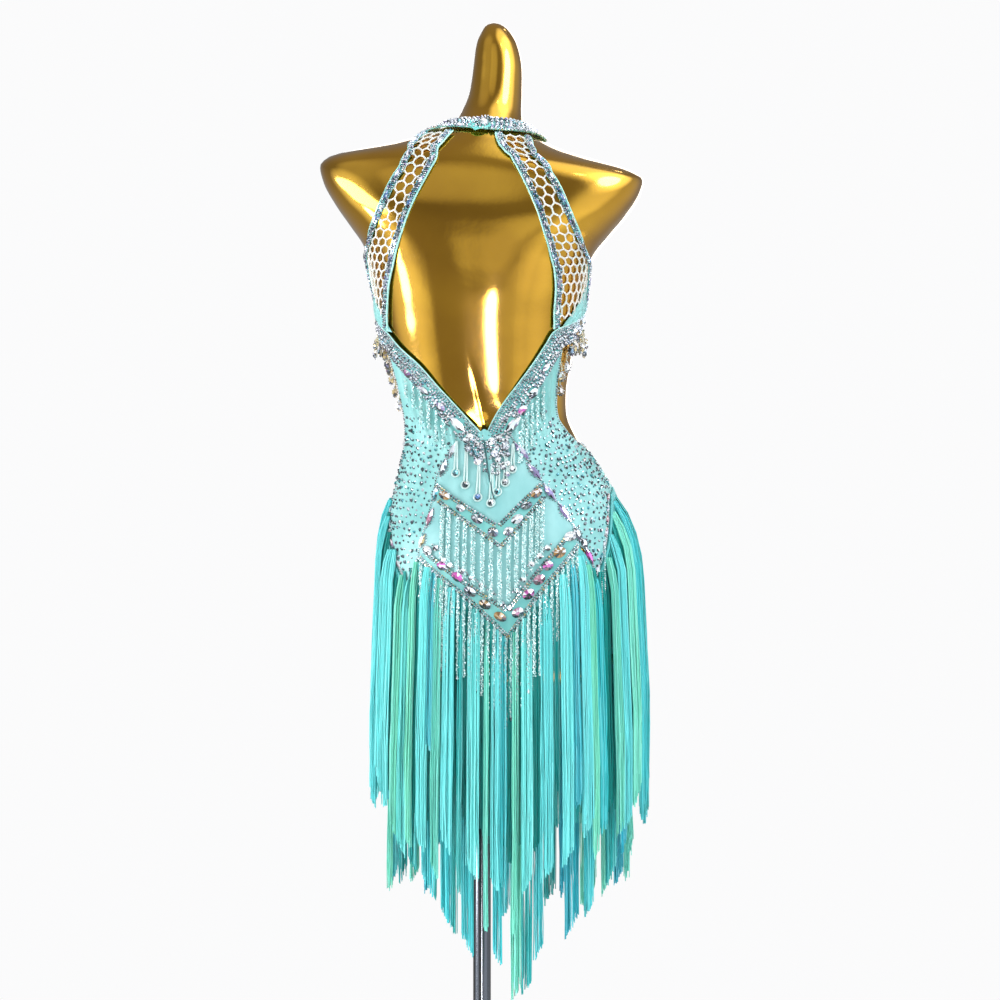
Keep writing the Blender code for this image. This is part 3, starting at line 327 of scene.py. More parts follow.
@dataclass
class Path:
    """A smooth line on the body through a few places, measured in millimetres along it."""
    places: Places
    layer: float = 3.1
    angle: np.ndarray = field(init=False)
    height: np.ndarray = field(init=False)
    run: np.ndarray = field(init=False)

    def __post_init__(self) -> None:
        """Sample the line finely and measure it."""
        knots = np.arange(len(self.places), dtype=float)
        fine = np.linspace(0, len(self.places) - 1, 24 * len(self.places))
        self.angle = smooth_curve(knots, [p[0] for p in self.places], fine)
        self.height = smooth_curve(knots, [p[1] for p in self.places], fine)
        points = BODY.off(self.angle, self.height, self.layer)
        self.run = np.concatenate([[0], np.cumsum(np.linalg.norm(np.diff(points, axis=0), axis=1))])

    @property
    def length(self) -> float:
        """The line's whole length."""
        return float(self.run[-1])

    def at(self, along: np.ndarray) -> tuple[np.ndarray, np.ndarray]:
        """Angle and height at a distance along the line."""
        return np.interp(along, self.run, self.angle), np.interp(along, self.run, self.height)

    def beside(self, along: np.ndarray, aside: np.ndarray) -> tuple[np.ndarray, np.ndarray]:
        """The place a distance to the left of the line, facing along it.

        Args:
            along: How far along the line.
            aside: How far to its left.

        Returns:
            Its angle and height.
        """
        angle, height = self.at(along)
        ahead = BODY.point(*self.at(np.minimum(np.asarray(along) + 3, self.length)))
        step = ahead - BODY.point(*self.at(np.maximum(np.asarray(along) - 3, 0)))
        level, rising, _ = BODY.directions(angle, height)
        across, up = (step * level).sum(axis=-1), (step * rising).sum(axis=-1)
        size = np.hypot(across, up)
        return BODY.walk(angle, height, -up / size * aside, across / size * aside)

    def frame_at(self, along: np.ndarray, aside: np.ndarray,
                 out: Union[float, np.ndarray]) -> tuple[np.ndarray, np.ndarray, np.ndarray]:
        """Position, outward direction and running direction beside the line.

        Args:
            along: How far along the line.
            aside: How far to its left.
            out: How far out from the body.

        Returns:
            The position and the two directions.
        """
        angle, height = self.beside(along, aside)
        ahead = BODY.point(*self.beside(np.minimum(np.asarray(along) + 2, self.length), aside))
        behind = BODY.point(*self.beside(np.maximum(np.asarray(along) - 2, 0), aside))
        facing = BODY.directions(angle, height)[2]
        running = ahead - behind
        running = running / np.maximum(np.linalg.norm(running, axis=-1, keepdims=True), 1e-9)
        return BODY.off(angle, height, out), facing, running


def hang(angle: float, top: float, bottom: float, out: float, count: int = 14) -> np.ndarray:
    """Points of a strand that hangs straight down over the back from a place.

    Args:
        angle: Where it starts.
        top: The height that it starts from.
        bottom: The height of its lower end.
        out: How far it lies out from the body.
        count: How many points.

    Returns:
        The points from top to bottom.
    """
    heights = np.linspace(top, bottom, count)
    x = float(BODY.point(angle, top)[0])
    found, level = np.full(count, angle), np.maximum(heights, FORM_FOOT)
    for _ in range(8):
        slope = BODY.point(found + 0.5, level)[:, 0] - BODY.point(found - 0.5, level)[:, 0]
        found = np.clip(found - (BODY.point(found, level)[:, 0] - x) / np.maximum(slope, 0.4), -88, 88)
    points = BODY.off(found, level, out)
    points[:, 0] = x
    points[:, 1] = np.minimum.accumulate(points[:, 1])
    points[:, 2] = np.linspace(BODY.off(angle, top, out)[2], bottom, count)
    return points


# ---------------------------------------------------------------- nodes

Value = Union["Term", float, int, tuple, str, bpy.types.ID, None]
Look = dict[str, Value]


def operator(operation: str, swapped: bool = False) -> Callable[["Term", Value], "Term"]:
    """A method of Term that adds a Math node to its tree.

    Args:
        operation: What the node does.
        swapped: True where the other value comes first.

    Returns:
        The method.
    """
    def apply(self: "Term", other: Value) -> "Term":
        """The result of the node."""
        return self.book.add("ShaderNodeMath", (other, self) if swapped else (self, other),
                             operation=operation)
    return apply


class Term:
    """An output of a node that takes part in sums, which add Math nodes to its tree."""
    __add__ = __radd__ = operator("ADD")
    __sub__, __rsub__ = operator("SUBTRACT"), operator("SUBTRACT", True)
    __mul__ = __rmul__ = operator("MULTIPLY")
    __pow__, __gt__ = operator("POWER"), operator("GREATER_THAN")

    def __init__(self, book: "NodeBook", socket: bpy.types.NodeSocket) -> None:
        """Wrap one socket of a tree."""
        self.book, self.socket = book, socket

    def output(self, name: str) -> "Term":
        """Another output of the same node."""
        return Term(self.book, self.book.find(self.socket.node.outputs, name))

    def alone(self, operation: str) -> "Term":
        """A Math node on this value alone."""
        return self.book.add("ShaderNodeMath", [self], operation=operation)

    def smooth(self, low: float, high: float) -> "Term":
        """A soft step from 0 at low to 1 at high."""
        return self.book.add("ShaderNodeMapRange", {"Value": self, "From Min": low, "From Max": high},
                             interpolation_type="SMOOTHSTEP")


@dataclass
class NodeBook:
    """A node tree that is written as calls."""
    tree: bpy.types.NodeTree

    @staticmethod
    def find(sockets: Iterable[bpy.types.NodeSocket], key: Union[int, str]) -> bpy.types.NodeSocket:
        """A socket in use, by its place or its name.

        Args:
            sockets: The sockets of a node.
            key: The socket's place among those in use, or its name.

        Returns:
            The socket.
        """
        if isinstance(key, int):
            return [s for s in sockets if s.enabled][key]
        return next(s for s in sockets if s.enabled and s.name == key)

    def add(self, kind: str, values: Union[Sequence[Value], dict] = (), output: Union[int, str] = 0,
            stops: Sequence[tuple[float, tuple]] = (), **settings: object) -> Term:
        """Make one node.

        Args:
            kind: The node's type.
            values: The values or links of its sockets, in order or by name.
            output: The output that is returned.
            stops: A ramp's stops, as (position, colour).
            settings: Properties of the node, set first.

        Returns:
            The node's output.
        """
        node = self.tree.nodes.new(kind)
        for name, setting in settings.items():
            setattr(node, name, setting)
        if stops:
            ramp = node.color_ramp
            while len(ramp.elements) < len(stops):
                ramp.elements.new(1.0)
            for element, (position, colour) in zip(ramp.elements, stops):
                element.position = position
                element.color = (*colour, 1.0)
        pairs = values.items() if isinstance(values, dict) else enumerate(values)
        for key, value in pairs:
            socket = self.find(node.inputs, key)
            if isinstance(value, Term):
                self.tree.links.new(value.socket, socket)
            elif value is not None:
                socket.default_value = value
        outputs = [s for s in node.outputs if s.enabled]
        return Term(self, self.find(node.outputs, output)) if outputs else None


class Shader(NodeBook):
    """A material's tree, with the nodes that the finishes share."""

    def __init__(self, name: str) -> None:
        """Start a material of that name.

        Args:
            name: The finish's name.
        """
        self.material = bpy.data.materials.new(name)
        self.material.use_nodes = True
        super().__init__(self.material.node_tree)
        self.tree.nodes.clear()

    def place(self) -> Term:
        """Object coordinates."""
        return self.add("ShaderNodeTexCoord", output="Object")

    def attribute(self, name: str, output: str = "Fac") -> Term:
        """An attribute of the mesh."""
        return self.add("ShaderNodeAttribute", output=output, attribute_name=name)

    def noise(self, vector: Term, scale: float, detail: float = 2.0) -> Term:
        """Soft noise from 0 to 1."""
        return self.add("ShaderNodeTexNoise", {"Vector": vector, "Scale": scale, "Detail": detail})

    def stretched(self, vector: Term, scale: tuple[float, float, float]) -> Term:
        """Coordinates stretched by a scale on each axis."""
        return self.add("ShaderNodeMapping", {"Vector": vector, "Scale": scale})

    def ramp(self, factor: Term, stops: Sequence[tuple[float, tuple]]) -> Term:
        """A colour ramp."""
        return self.add("ShaderNodeValToRGB", [factor], stops=stops)

    def blend(self, factor: Value, first: Value, second: Value, how: str = "MIX") -> Term:
        """One colour mixed into another."""
        first, second = ((*c, 1.0) if isinstance(c, tuple) and len(c) == 3 else c for c in (first, second))
        return self.add("ShaderNodeMix", [factor, first, second], data_type="RGBA", blend_type=how)

    def bump(self, height: Term, distance: float, strength: float = 1.0) -> Term:
        """A normal raised by a height."""
        return self.add("ShaderNodeBump", {"Height": height, "Distance": distance, "Strength": strength},
                        output="Normal")


# ---------------------------------------------------------------- finishes

@dataclass(frozen=True)
class Finish:
    """A finish, whose material is made when a piece first asks for it."""
    name: str
    made: ClassVar[dict[str, bpy.types.Material]] = {}

    def material(self) -> bpy.types.Material:
        """The finish's material.

        Returns:
            The material, which the pieces of this finish share.
        """
        if self.name not in self.made:
            shader = Shader(self.name)
            surface = shader.add("ShaderNodeBsdfPrincipled", self.look(shader))
            shader.add("ShaderNodeOutputMaterial", {"Surface": surface})
            self.made[self.name] = shader.material
        return self.made[self.name]


@dataclass(frozen=True)
class GoldLacquer(Finish):
    """High-gloss gold lacquer over a moulded shell."""
    name: str = "gold_lacquer"
    light: tuple = (0.70, 0.365, 0.014)
    deep: tuple = (0.54, 0.265, 0.006)
    roughness: float = 0.08

    def look(self, shader: Shader) -> Look:
        """Colour and surface.

        Args:
            shader: The material's tree.

        Returns:
            The Principled shader's values.
        """
        where = shader.place()
        cloud = shader.noise(where, 9.0, 3.0)
        fleck = shader.noise(where, 900.0, 1.0)
        colour = shader.blend(cloud.smooth(0.3, 0.75), self.deep, self.light)
        rough = cloud * 0.03 + fleck * 0.03 + (self.roughness - 0.03)
        grain = shader.noise(where, 130.0, 2.0)
        return {"Base Color": colour, "Metallic": 1.0, "Roughness": rough, "Coat Weight": 0.5,
                "Coat IOR": 1.6, "Coat Roughness": 0.12, "Normal": shader.bump(grain, 0.00012, 0.5)}


@dataclass(frozen=True)
class Chrome(Finish):
    """Polished chrome plate with faint brushing round the turned parts."""
    name: str = "chrome_plate"
    colour: tuple = (0.125, 0.13, 0.134)

    def look(self, shader: Shader) -> Look:
        """Colour and surface.

        Args:
            shader: The material's tree.

        Returns:
            The Principled shader's values.
        """
        where = shader.place()
        rings = shader.noise(shader.stretched(where, (2.0, 2.0, 420.0)), 3.0, 2.0)
        smear = shader.noise(where, 14.0, 3.0)
        colour = shader.blend(smear, self.colour, tuple(c * 0.86 for c in self.colour))
        return {"Base Color": colour, "Metallic": 1.0, "Roughness": smear * 0.1 + rings * 0.05 + 0.05,
                "Normal": shader.bump(rings, 0.00003, 0.4)}


@dataclass(frozen=True)
class Jersey(Finish):
    """Stretch jersey: fine knit ribs, a soft sheen, random tone and faint vertical streaks of painted fold
    shade and light.
    """
    name: str = "aqua_jersey"
    light: tuple = (0.29, 0.62, 0.60)
    deep: tuple = (0.13, 0.44, 0.43)
    rib: float = 1150.0

    def look(self, shader: Shader) -> Look:
        """Colour and surface.

        Args:
            shader: The material's tree.

        Returns:
            The Principled shader's values.
        """
        flat = shader.add("ShaderNodeUVMap", uv_map="cut")
        where = shader.place()
        cloud = shader.noise(where, 16.0, 3.0)
        # Painted shade and light: faint long vertical streaks, darker and lighter like soft folds.
        soft = shader.noise(shader.stretched(where, (60.0, 60.0, 9.0)), 1.0, 2.0)
        wale = shader.add("ShaderNodeTexWave", {"Vector": flat, "Scale": self.rib, "Distortion": 0.6,
                                                "Detail": 1.0}, output="Fac", bands_direction="X")
        course = shader.add("ShaderNodeTexWave", {"Vector": flat, "Scale": self.rib * 0.8, "Distortion": 0.4,
                                                  "Detail": 1.0}, output="Fac", bands_direction="Y")
        knit = wale * 0.6 + course * 0.4
        # Random clouds and the painted fold-shade streaks mix the deep and the light colour.
        colour = shader.blend((cloud * 0.6 + soft * 0.4).smooth(0.3, 0.7), self.deep, self.light)
        colour = shader.blend(knit * 0.2, colour, self.deep)
        return {"Base Color": colour, "Roughness": cloud * 0.1 + 0.44, "Sheen Weight": 0.35,
                "Sheen Roughness": 0.4, "Normal": shader.bump(knit, 0.00012, 0.5)}


@dataclass(frozen=True)
class NetYarn(Finish):
    """Pale knitted cord with a twist."""
    name: str = "net_cord"
    colour: tuple = (0.80, 0.80, 0.76)

    def look(self, shader: Shader) -> Look:
        """Colour and surface.

        Args:
            shader: The material's tree.

        Returns:
            The Principled shader's values.
        """
        where = shader.place()
        cloud = shader.noise(where, 60.0, 2.0)
        twist = shader.add("ShaderNodeTexWave", {"Vector": where, "Scale": 420.0, "Distortion": 1.5},
                           output="Fac", bands_direction="DIAGONAL")
        colour = shader.blend(cloud.smooth(0.4, 0.8), self.colour, (0.62, 0.76, 0.74))
        return {"Base Color": shader.blend(twist * 0.25, colour, (0.45, 0.5, 0.5)),
                "Roughness": 0.42, "Sheen Weight": 0.25, "Normal": shader.bump(twist, 0.0002, 0.5)}


@dataclass(frozen=True)
class CutCrystal(Finish):
    """Foil-backed cut crystal with painted light: painted shade and painted white highlights on the facets,
    set by a fixed light direction and a random value per facet, and painted rainbow fire.
    """
    name: str = "cut_crystal"
    # The share of painted rainbow fire, and the level above which a facet gets a painted white highlight.
    painted_fire_share: float = 0.35
    painted_highlight_from: float = 0.66

    def look(self, shader: Shader) -> Look:
        """Colour and surface.

        Args:
            shader: The material's tree.

        Returns:
            The Principled shader's values.
        """
        tint = shader.attribute("tint", "Color")
        glint = shader.attribute("glint")
        facet = shader.add("ShaderNodeNewGeometry", output="Normal")
        # Painted light: facets that face a fixed direction, mostly from above, come out lighter.
        painted_light_side = shader.add("ShaderNodeVectorMath", [facet, (0.36, -0.46, 0.81)], operation="DOT_PRODUCT",
                         output="Value")
        value = painted_light_side * 0.6 + glint * 0.75 - 0.12
        # Painted shade on the darker facets, the stone's tint on the middle ones, then painted white
        # highlights on the brightest.
        body = shader.blend(value.smooth(0.22, 0.58), (0.012, 0.018, 0.022), tint)
        body = shader.blend(value.smooth(self.painted_highlight_from, self.painted_highlight_from + 0.1), body, (0.93, 0.96, 1.0))
        # Painted rainbow fire on a few random facets.
        painted_fire = shader.ramp((glint * 7.3).alone("FRACT"), (
            (0.0, (0.35, 0.75, 0.95)), (0.35, (0.55, 0.40, 0.85)), (0.6, (0.95, 0.75, 0.55)),
            (0.8, (0.40, 0.85, 0.75)), (1.0, (0.9, 0.92, 0.95))))
        colour = shader.blend(((glint * 3.1).alone("FRACT") > 0.78) * self.painted_fire_share, body, painted_fire)
        return {"Base Color": colour, "Metallic": 0.25, "Roughness": 0.08, "Coat Weight": 1.0,
                "Coat Roughness": 0.02}


@dataclass(frozen=True)
class SilverLinedBead(Finish):
    """Clear beads with a silver lining, with painted shade and painted pearly highlights on random facets."""
    name: str = "silver_lined_bead"

    def look(self, shader: Shader) -> Look:
        """Colour and surface.

        Args:
            shader: The material's tree.

        Returns:
            The Principled shader's values.
        """
        tint = shader.attribute("tint", "Color")
        glint = shader.attribute("glint")
        # Painted shade on random facets, the bead's tint on the rest.
        shade = shader.blend(glint.smooth(0.0, 0.5), (0.04, 0.22, 0.22), tint)
        # Painted pearly highlights on the brightest random facets.
        colour = shader.blend(glint.smooth(0.74, 0.92), shade, (0.92, 0.98, 0.96))
        return {"Base Color": colour, "Metallic": 0.1, "Roughness": 0.16, "Coat Weight": 1.0,
                "Coat Roughness": 0.03}


@dataclass(frozen=True)
class FringeYarn(Finish):
    """Silky rayon fringe, dyed by the hank and toned lighter or darker at random by the strand; its deepest
    dye is painted shade.
    """
    name: str = "silk_fringe"

    def look(self, shader: Shader) -> Look:
        """Colour and surface.

        Args:
            shader: The material's tree.

        Returns:
            The Principled shader's values.
        """
        hue = shader.attribute("hue")
        tone = shader.attribute("tone")
        # The ramp's deepest stop is painted shade: the dye of the middle layer, set to the colour of the
        # shadow between the hanks.
        dye = shader.ramp(hue, ((0.0, (0.000, 0.290, 0.260)), (0.2, (0.004, 0.420, 0.400)),
                                (0.4, (0.040, 0.620, 0.680)), (0.6, (0.200, 0.880, 0.890)),
                                (0.8, (0.210, 0.800, 0.560)), (1.0, (0.008, 0.420, 0.580))))
        lighter = shader.blend(tone.smooth(0.35, 1.0) * 0.40, dye, (0.36, 0.92, 0.92))
        darker = shader.blend(tone.smooth(0.55, 0.0) * 0.45, lighter, (0.0, 0.30, 0.30))
        where = shader.place()
        streak = shader.noise(shader.stretched(where, (700.0, 700.0, 6.0)), 1.0, 2.0)
        colour = shader.blend(streak.smooth(0.35, 0.75) * 0.15, darker, (0.40, 0.93, 0.93))
        # Hanks of the deepest dye are held at that dark teal: painted shade.
        deep = shader.blend(hue.smooth(0.16, 0.0) * 0.8, colour, (0.000, 0.290, 0.260))
        return {"Base Color": deep, "Roughness": streak * 0.15 + 0.40, "Specular IOR Level": 0.25,
                "Normal": shader.bump(streak, 0.0002, 0.4)}


@dataclass(frozen=True)
class SatinPiping(Finish):
    """Smooth satin binding."""
    name: str = "satin_piping"
    colour: tuple = (0.42, 0.86, 0.78)

    def look(self, shader: Shader) -> Look:
        """Colour and surface.

        Args:
            shader: The material's tree.

        Returns:
            The Principled shader's values.
        """
        where = shader.place()
        cloud = shader.noise(where, 40.0, 2.0)
        grain = shader.noise(where, 1400.0, 1.0)
        colour = shader.blend(cloud, self.colour, tuple(c * 0.72 for c in self.colour))
        return {"Base Color": colour, "Roughness": cloud * 0.12 + 0.26, "Sheen Weight": 0.2,
                "Normal": shader.bump(grain, 0.00008, 0.4)}


@dataclass(frozen=True)
class PaleFloor(Finish):
    """Matt pale floor with the faintest clouds."""
    name: str = "pale_floor"

    def look(self, shader: Shader) -> Look:
        """Colour and surface."""
        cloud = shader.noise(shader.place(), 1.5, 2.0)
        return {"Base Color": shader.blend(cloud, (0.93, 0.93, 0.93), (0.90, 0.905, 0.91)), "Roughness": 0.6}


@dataclass(frozen=True)
class DarkGap(Finish):
    """The closed zip's dark teeth and the shade between its two edges."""
    name: str = "zip_teeth"

    def look(self, shader: Shader) -> Look:
        """Colour and surface.

        Args:
            shader: The material's tree.

        Returns:
            The Principled shader's values.
        """
        teeth = shader.add("ShaderNodeTexWave", {"Vector": shader.place(), "Scale": 160.0}, output="Fac",
                           bands_direction="Z")
        colour = shader.blend(teeth, (0.002, 0.03, 0.035), (0.01, 0.12, 0.12))
        return {"Base Color": colour, "Roughness": 0.45, "Normal": shader.bump(teeth, 0.0003, 0.6)}


GOLD, CHROME, JERSEY, NET = GoldLacquer(), Chrome(), Jersey(), NetYarn()
CRYSTAL, FRINGE, PIPING, ZIP, BEAD = CutCrystal(), FringeYarn(), SatinPiping(), DarkGap(), SilverLinedBead()
DARK_CRYSTAL = CutCrystal("dark_crystal", 0.08, 0.90)
FOILED_CRYSTAL = CutCrystal("foiled_crystal", 0.16, 0.80)
BAND_CLOTH = Jersey("band_jersey", (0.17, 0.52, 0.48), (0.07, 0.35, 0.35))
PALE_CLOTH = Jersey("pale_jersey", (0.29, 0.60, 0.60), (0.18, 0.47, 0.47))
PEARL_CORD = SatinPiping("pearl_cord", (0.56, 0.76, 0.73))


# ---------------------------------------------------------------- meshes

def finished_object(name: str, vertices: np.ndarray, faces: Sequence[Sequence[int]], finish: Finish,
                    cut: Optional[np.ndarray] = None, sharp: float = 55.0) -> bpy.types.Object:
    """A smooth-shaded piece from points in millimetres.

    Args:
        name: The piece's name.
        vertices: One row for each point.
        faces: The point numbers of each face.
        finish: The finish of the whole piece.
        cut: The points of the flat cut in millimetres, for the UV map.
        sharp: Edges that turn by more degrees than this stay sharp.

    Returns:
        The new object.
    """
    mesh = bpy.data.meshes.new(name)
    mesh.from_pydata((np.asarray(vertices) * MM).tolist(), [], [tuple(map(int, f)) for f in faces])
    if cut is not None:
        layer = mesh.uv_layers.new(name="cut")
        corners = np.zeros(len(mesh.loops), dtype=np.int32)
        mesh.loops.foreach_get("vertex_index", corners)
        layer.data.foreach_set("uv", (np.asarray(cut)[corners] * MM).astype(np.float32).ravel())
    mesh.shade_smooth()
    mesh.set_sharp_from_angle(angle=math.radians(sharp))
    mesh.materials.append(finish.material())
    piece = bpy.data.objects.new(name, mesh)
    bpy.context.collection.objects.link(piece)
    return piece


def inside_outline(points: np.ndarray, outline: np.ndarray, margin: float) -> np.ndarray:
    """Which points lie inside an outline, at least a margin from its edge.

    Args:
        points: The points, one row each.
        outline: The edge's points.
        margin: The least distance from the edge.

    Returns:
        True for each point inside.
    """
    x, y = points[:, :1], points[:, 1:]
    start, end = outline, np.roll(outline, -1, axis=0)
    along = end - start
    size = np.maximum((along**2).sum(axis=1), 1e-9)
    t = np.clip(((x - start[:, 0]) * along[:, 0] + (y - start[:, 1]) * along[:, 1]) / size, 0, 1)
    near = np.hypot(start[:, 0] + along[:, 0] * t - x, start[:, 1] + along[:, 1] * t - y).min(axis=1)
    rise = np.where(np.abs(along[:, 1]) < 1e-9, 1e-9, along[:, 1])
    meets = start[:, 0] + (y - start[:, 1]) / rise * along[:, 0]
    crossing = ((start[:, 1] > y) != (end[:, 1] > y)) & (meets > x)
    return (crossing.sum(axis=1) % 2 == 1) & (near > margin)


def densify(places: Places, spacing: float) -> list[tuple[float, float]]:
    """The same line of places with no step longer than the spacing in millimetres.

    Args:
        places: Angles and heights.
        spacing: The longest step.

    Returns:
        The places, with the last one kept.
    """
    dense = []
    for here, there in zip(places, places[1:]):
        length = math.hypot((there[0] - here[0]) * FLAT_PER_DEGREE, there[1] - here[1])
        count = max(1, math.ceil(length / spacing))
        dense += [(here[0] + (there[0] - here[0]) * k / count, here[1] + (there[1] - here[1]) * k / count)
                  for k in range(count)]
    return dense + [tuple(places[-1])]


def flat_outline(corners: Places, spacing: float) -> np.ndarray:
    """The closed edge of a flat cut in millimetres, through corners on the body."""
    return np.array(densify([*corners, corners[0]], spacing)[:-1]) * (FLAT_PER_DEGREE, 1.0)


def unrolled(x: np.ndarray, y: np.ndarray) -> tuple[np.ndarray, np.ndarray]:
    """The angle and height of a point of a flat cut."""
    return np.asarray(x) / FLAT_PER_DEGREE, y


def cloth_shell(name: str, outline: Places, grid: float, place: Callable, layer: float, thick: float,
                finish: Finish, relief: Optional[Callable] = None) -> bpy.types.Object:
    """A thin closed shell of cloth, cut flat and laid on the body.

    Args:
        name: The piece's name.
        outline: The flat cut's edge in millimetres.
        grid: The spacing of the points inside it.
        place: Turns flat points into angles and heights.
        layer: How far the cloth's inner side lies out from the body.
        thick: The cloth's thickness.
        finish: Its finish.
        relief: Height of the folds at angles and heights, if it has any.

    Returns:
        The new object.
    """
    edge = np.array(outline, float)
    low, high = edge.min(axis=0), edge.max(axis=0)
    across, up = np.meshgrid(np.arange(low[0] + grid / 2, high[0], grid),
                             np.arange(low[1] + grid / 2, high[1], grid))
    across = across + (np.round(up / grid) % 2) * grid / 2
    loose = np.stack([across.ravel(), up.ravel()], axis=1)
    loose = loose[inside_outline(loose, edge, grid * 0.45)] if len(loose) else loose
    count = len(edge)
    loops = [(i, (i + 1) % count) for i in range(count)]
    spots = [tuple(p) for p in np.vstack([edge, loose]).tolist()]
    flat, _, faces, _, _, _ = delaunay_2d_cdt(spots, loops, [], 2, 1e-5)
    flat = np.array([tuple(p) for p in flat])
    angle, height = place(flat[:, 0], flat[:, 1])
    fold = relief(angle, height) if relief else np.zeros(len(flat))
    inner = BODY.off(angle, height, layer + fold)
    outer = BODY.off(angle, height, layer + thick + fold)
    out = BODY.directions(angle, height)[2]
    tri = np.array(faces)
    facing = (np.cross(inner[tri[:, 1]] - inner[tri[:, 0]], inner[tri[:, 2]] - inner[tri[:, 0]])
              * out[tri[:, 0]]).sum(axis=1)
    tri[facing < 0] = tri[facing < 0][:, ::-1]
    size = len(flat)
    walls = tri.tolist() + (tri[:, ::-1] + size).tolist()
    rim = {(int(f[i]), int(f[(i + 1) % 3])) for f in tri for i in range(3)}
    walls += [(a, a + size, b + size, b) for a, b in rim if (b, a) not in rim]
    return finished_object(name, np.vstack([outer, inner]), walls, finish, np.vstack([flat, flat]), 80.0)


def loft_faces(levels: int, count: int) -> list[tuple[int, ...]]:
    """Faces of a closed loft.

    Args:
        levels: How many rings it has, from the lowest up.
        count: How many points each ring has.

    Returns:
        The point numbers of each face, with the two ends closed.
    """
    faces = [(r * count + k, r * count + (k + 1) % count, (r + 1) * count + (k + 1) % count,
              (r + 1) * count + k)
             for r in range(levels - 1) for k in range(count)]
    return [*faces, tuple(range(count))[::-1], tuple(range((levels - 1) * count, levels * count))]


def round_turns(count: int) -> np.ndarray:
    """Angles in radians, evenly round a circle."""
    return np.linspace(0, 2 * math.pi, count, endpoint=False)


def turned(name: str, profile: Sequence[tuple[float, float]], finish: Finish,
           sides: int = 96) -> bpy.types.Object:
    """A solid of revolution about Z from (radius, height) rows, bottom to top.

    Args:
        name: The piece's name.
        profile: Radius and height of each ring, bottom to top.
        finish: The finish of the whole piece.
        sides: How many sides it has.

    Returns:
        The new object.
    """
    turn = round_turns(sides)
    vertices = np.vstack([np.stack([r * np.cos(turn), r * np.sin(turn), np.full(sides, z)], axis=1)
                          for r, z in profile])
    return finished_object(name, vertices, loft_faces(len(profile), sides), finish, sharp=30.0)


def show(piece: bpy.types.Object, slot: str, *nodes: str) -> bpy.types.Object:
    """Ride a finished piece on the part and hide the nodes that it stands for.

    Args:
        piece: The piece.
        slot: The name of its material slot; not used.
        nodes: The nodes that it stands for.

    Returns:
        The same piece.
    """
    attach(piece, "root")
    if nodes:
        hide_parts(*nodes)
    log.info("%s: %d faces", piece.name, len(piece.data.polygons))
    return piece


# ---------------------------------------------------------------- stones, beads, cords and hanks

class Tint(Enum):
    """Colours of the stones."""
    CLEAR = (0.86, 0.90, 0.93)
    PEARL = (0.44, 0.74, 0.72)
    SILVER = (0.55, 0.60, 0.64)
    SMOKE = (0.060, 0.085, 0.100)
    AQUA = (0.20, 0.62, 0.68)
    TEAL = (0.03, 0.30, 0.34)
    BLUE = (0.10, 0.22, 0.50)
    LILAC = (0.30, 0.23, 0.46)
    PINK = (0.60, 0.10, 0.44)
    ROSE = (0.46, 0.20, 0.28)
    CHAMPAGNE = (0.66, 0.52, 0.24)
    BRONZE = (0.42, 0.24, 0.08)


Mix = Sequence[tuple[Tint, float]]
NECK_MIX = ((Tint.CLEAR, 6), (Tint.SILVER, 2), (Tint.AQUA, 1.5), (Tint.LILAC, 1.5), (Tint.SMOKE, 2))
STRAP_MIX = ((Tint.AQUA, 4), (Tint.TEAL, 2), (Tint.BLUE, 2), (Tint.CLEAR, 3), (Tint.LILAC, 1.5),
             (Tint.SMOKE, 1.5))
V_MIX = ((Tint.CLEAR, 6), (Tint.SILVER, 3), (Tint.AQUA, 1.5), (Tint.TEAL, 1.5), (Tint.SMOKE, 4.5))
BACK_MIX = ((Tint.SMOKE, 7), (Tint.TEAL, 3), (Tint.SILVER, 1.6), (Tint.CLEAR, 0.5))


class Cut(Enum):
    """Shapes of the stones: the outline's sides, its point, the share that the table takes."""
    ROUND = (6, 0.0, 0.50)
    CHATON = (8, 0.0, 0.44)
    OVAL = (10, 0.0, 0.34)
    NAVETTE = (10, 0.75, 0.45)
    DROP = (10, 0.4, 0.5)
    BEAD = (5, 0.0, 0.62)

    def mesh(self) -> bpy.types.Mesh:
        """A stone of unit half-length and half-width that stands 1 high on its flat foot.

        Returns:
            The stone's mesh.
        """
        sides, point, table = self.value
        turn = np.arange(sides) * 2 * math.pi / sides
        x, y = np.cos(turn), np.sin(turn)
        if point:
            y = y * (1 - point * x**2 * (1.0 if self is Cut.NAVETTE else (x > 0)))
        half = turn + math.pi / sides
        tx, ty = np.cos(half) * table, np.sin(half) * table * (0.85 if point else 1.0)
        if self is Cut.NAVETTE:
            tx = tx * 1.15
        rows = [np.stack([x * 0.92, y * 0.92, np.zeros(sides)], 1), np.stack([x, y, np.full(sides, 0.3)], 1),
                np.stack([tx, ty, np.ones(sides)], 1)]
        if self in (Cut.ROUND, Cut.BEAD):
            rows = [np.stack([x, y, np.zeros(sides)], 1), rows[2]]
        faces = []
        for row in range(len(rows) - 1):
            for k in range(sides):
                a, b = row * sides + k, row * sides + (k + 1) % sides
                if row == len(rows) - 2:
                    faces += [(a, b, a + sides), (b, b + sides, a + sides)]
                else:
                    faces.append((a, b, b + sides, a + sides))
        faces.append(tuple(range(sides))[::-1])
        faces.append(tuple(range((len(rows) - 1) * sides, len(rows) * sides)))
        made = bpy.data.meshes.new(f"cut_{self.name.lower()}")
        made.from_pydata(np.vstack(rows).tolist(), [], faces)
        return made


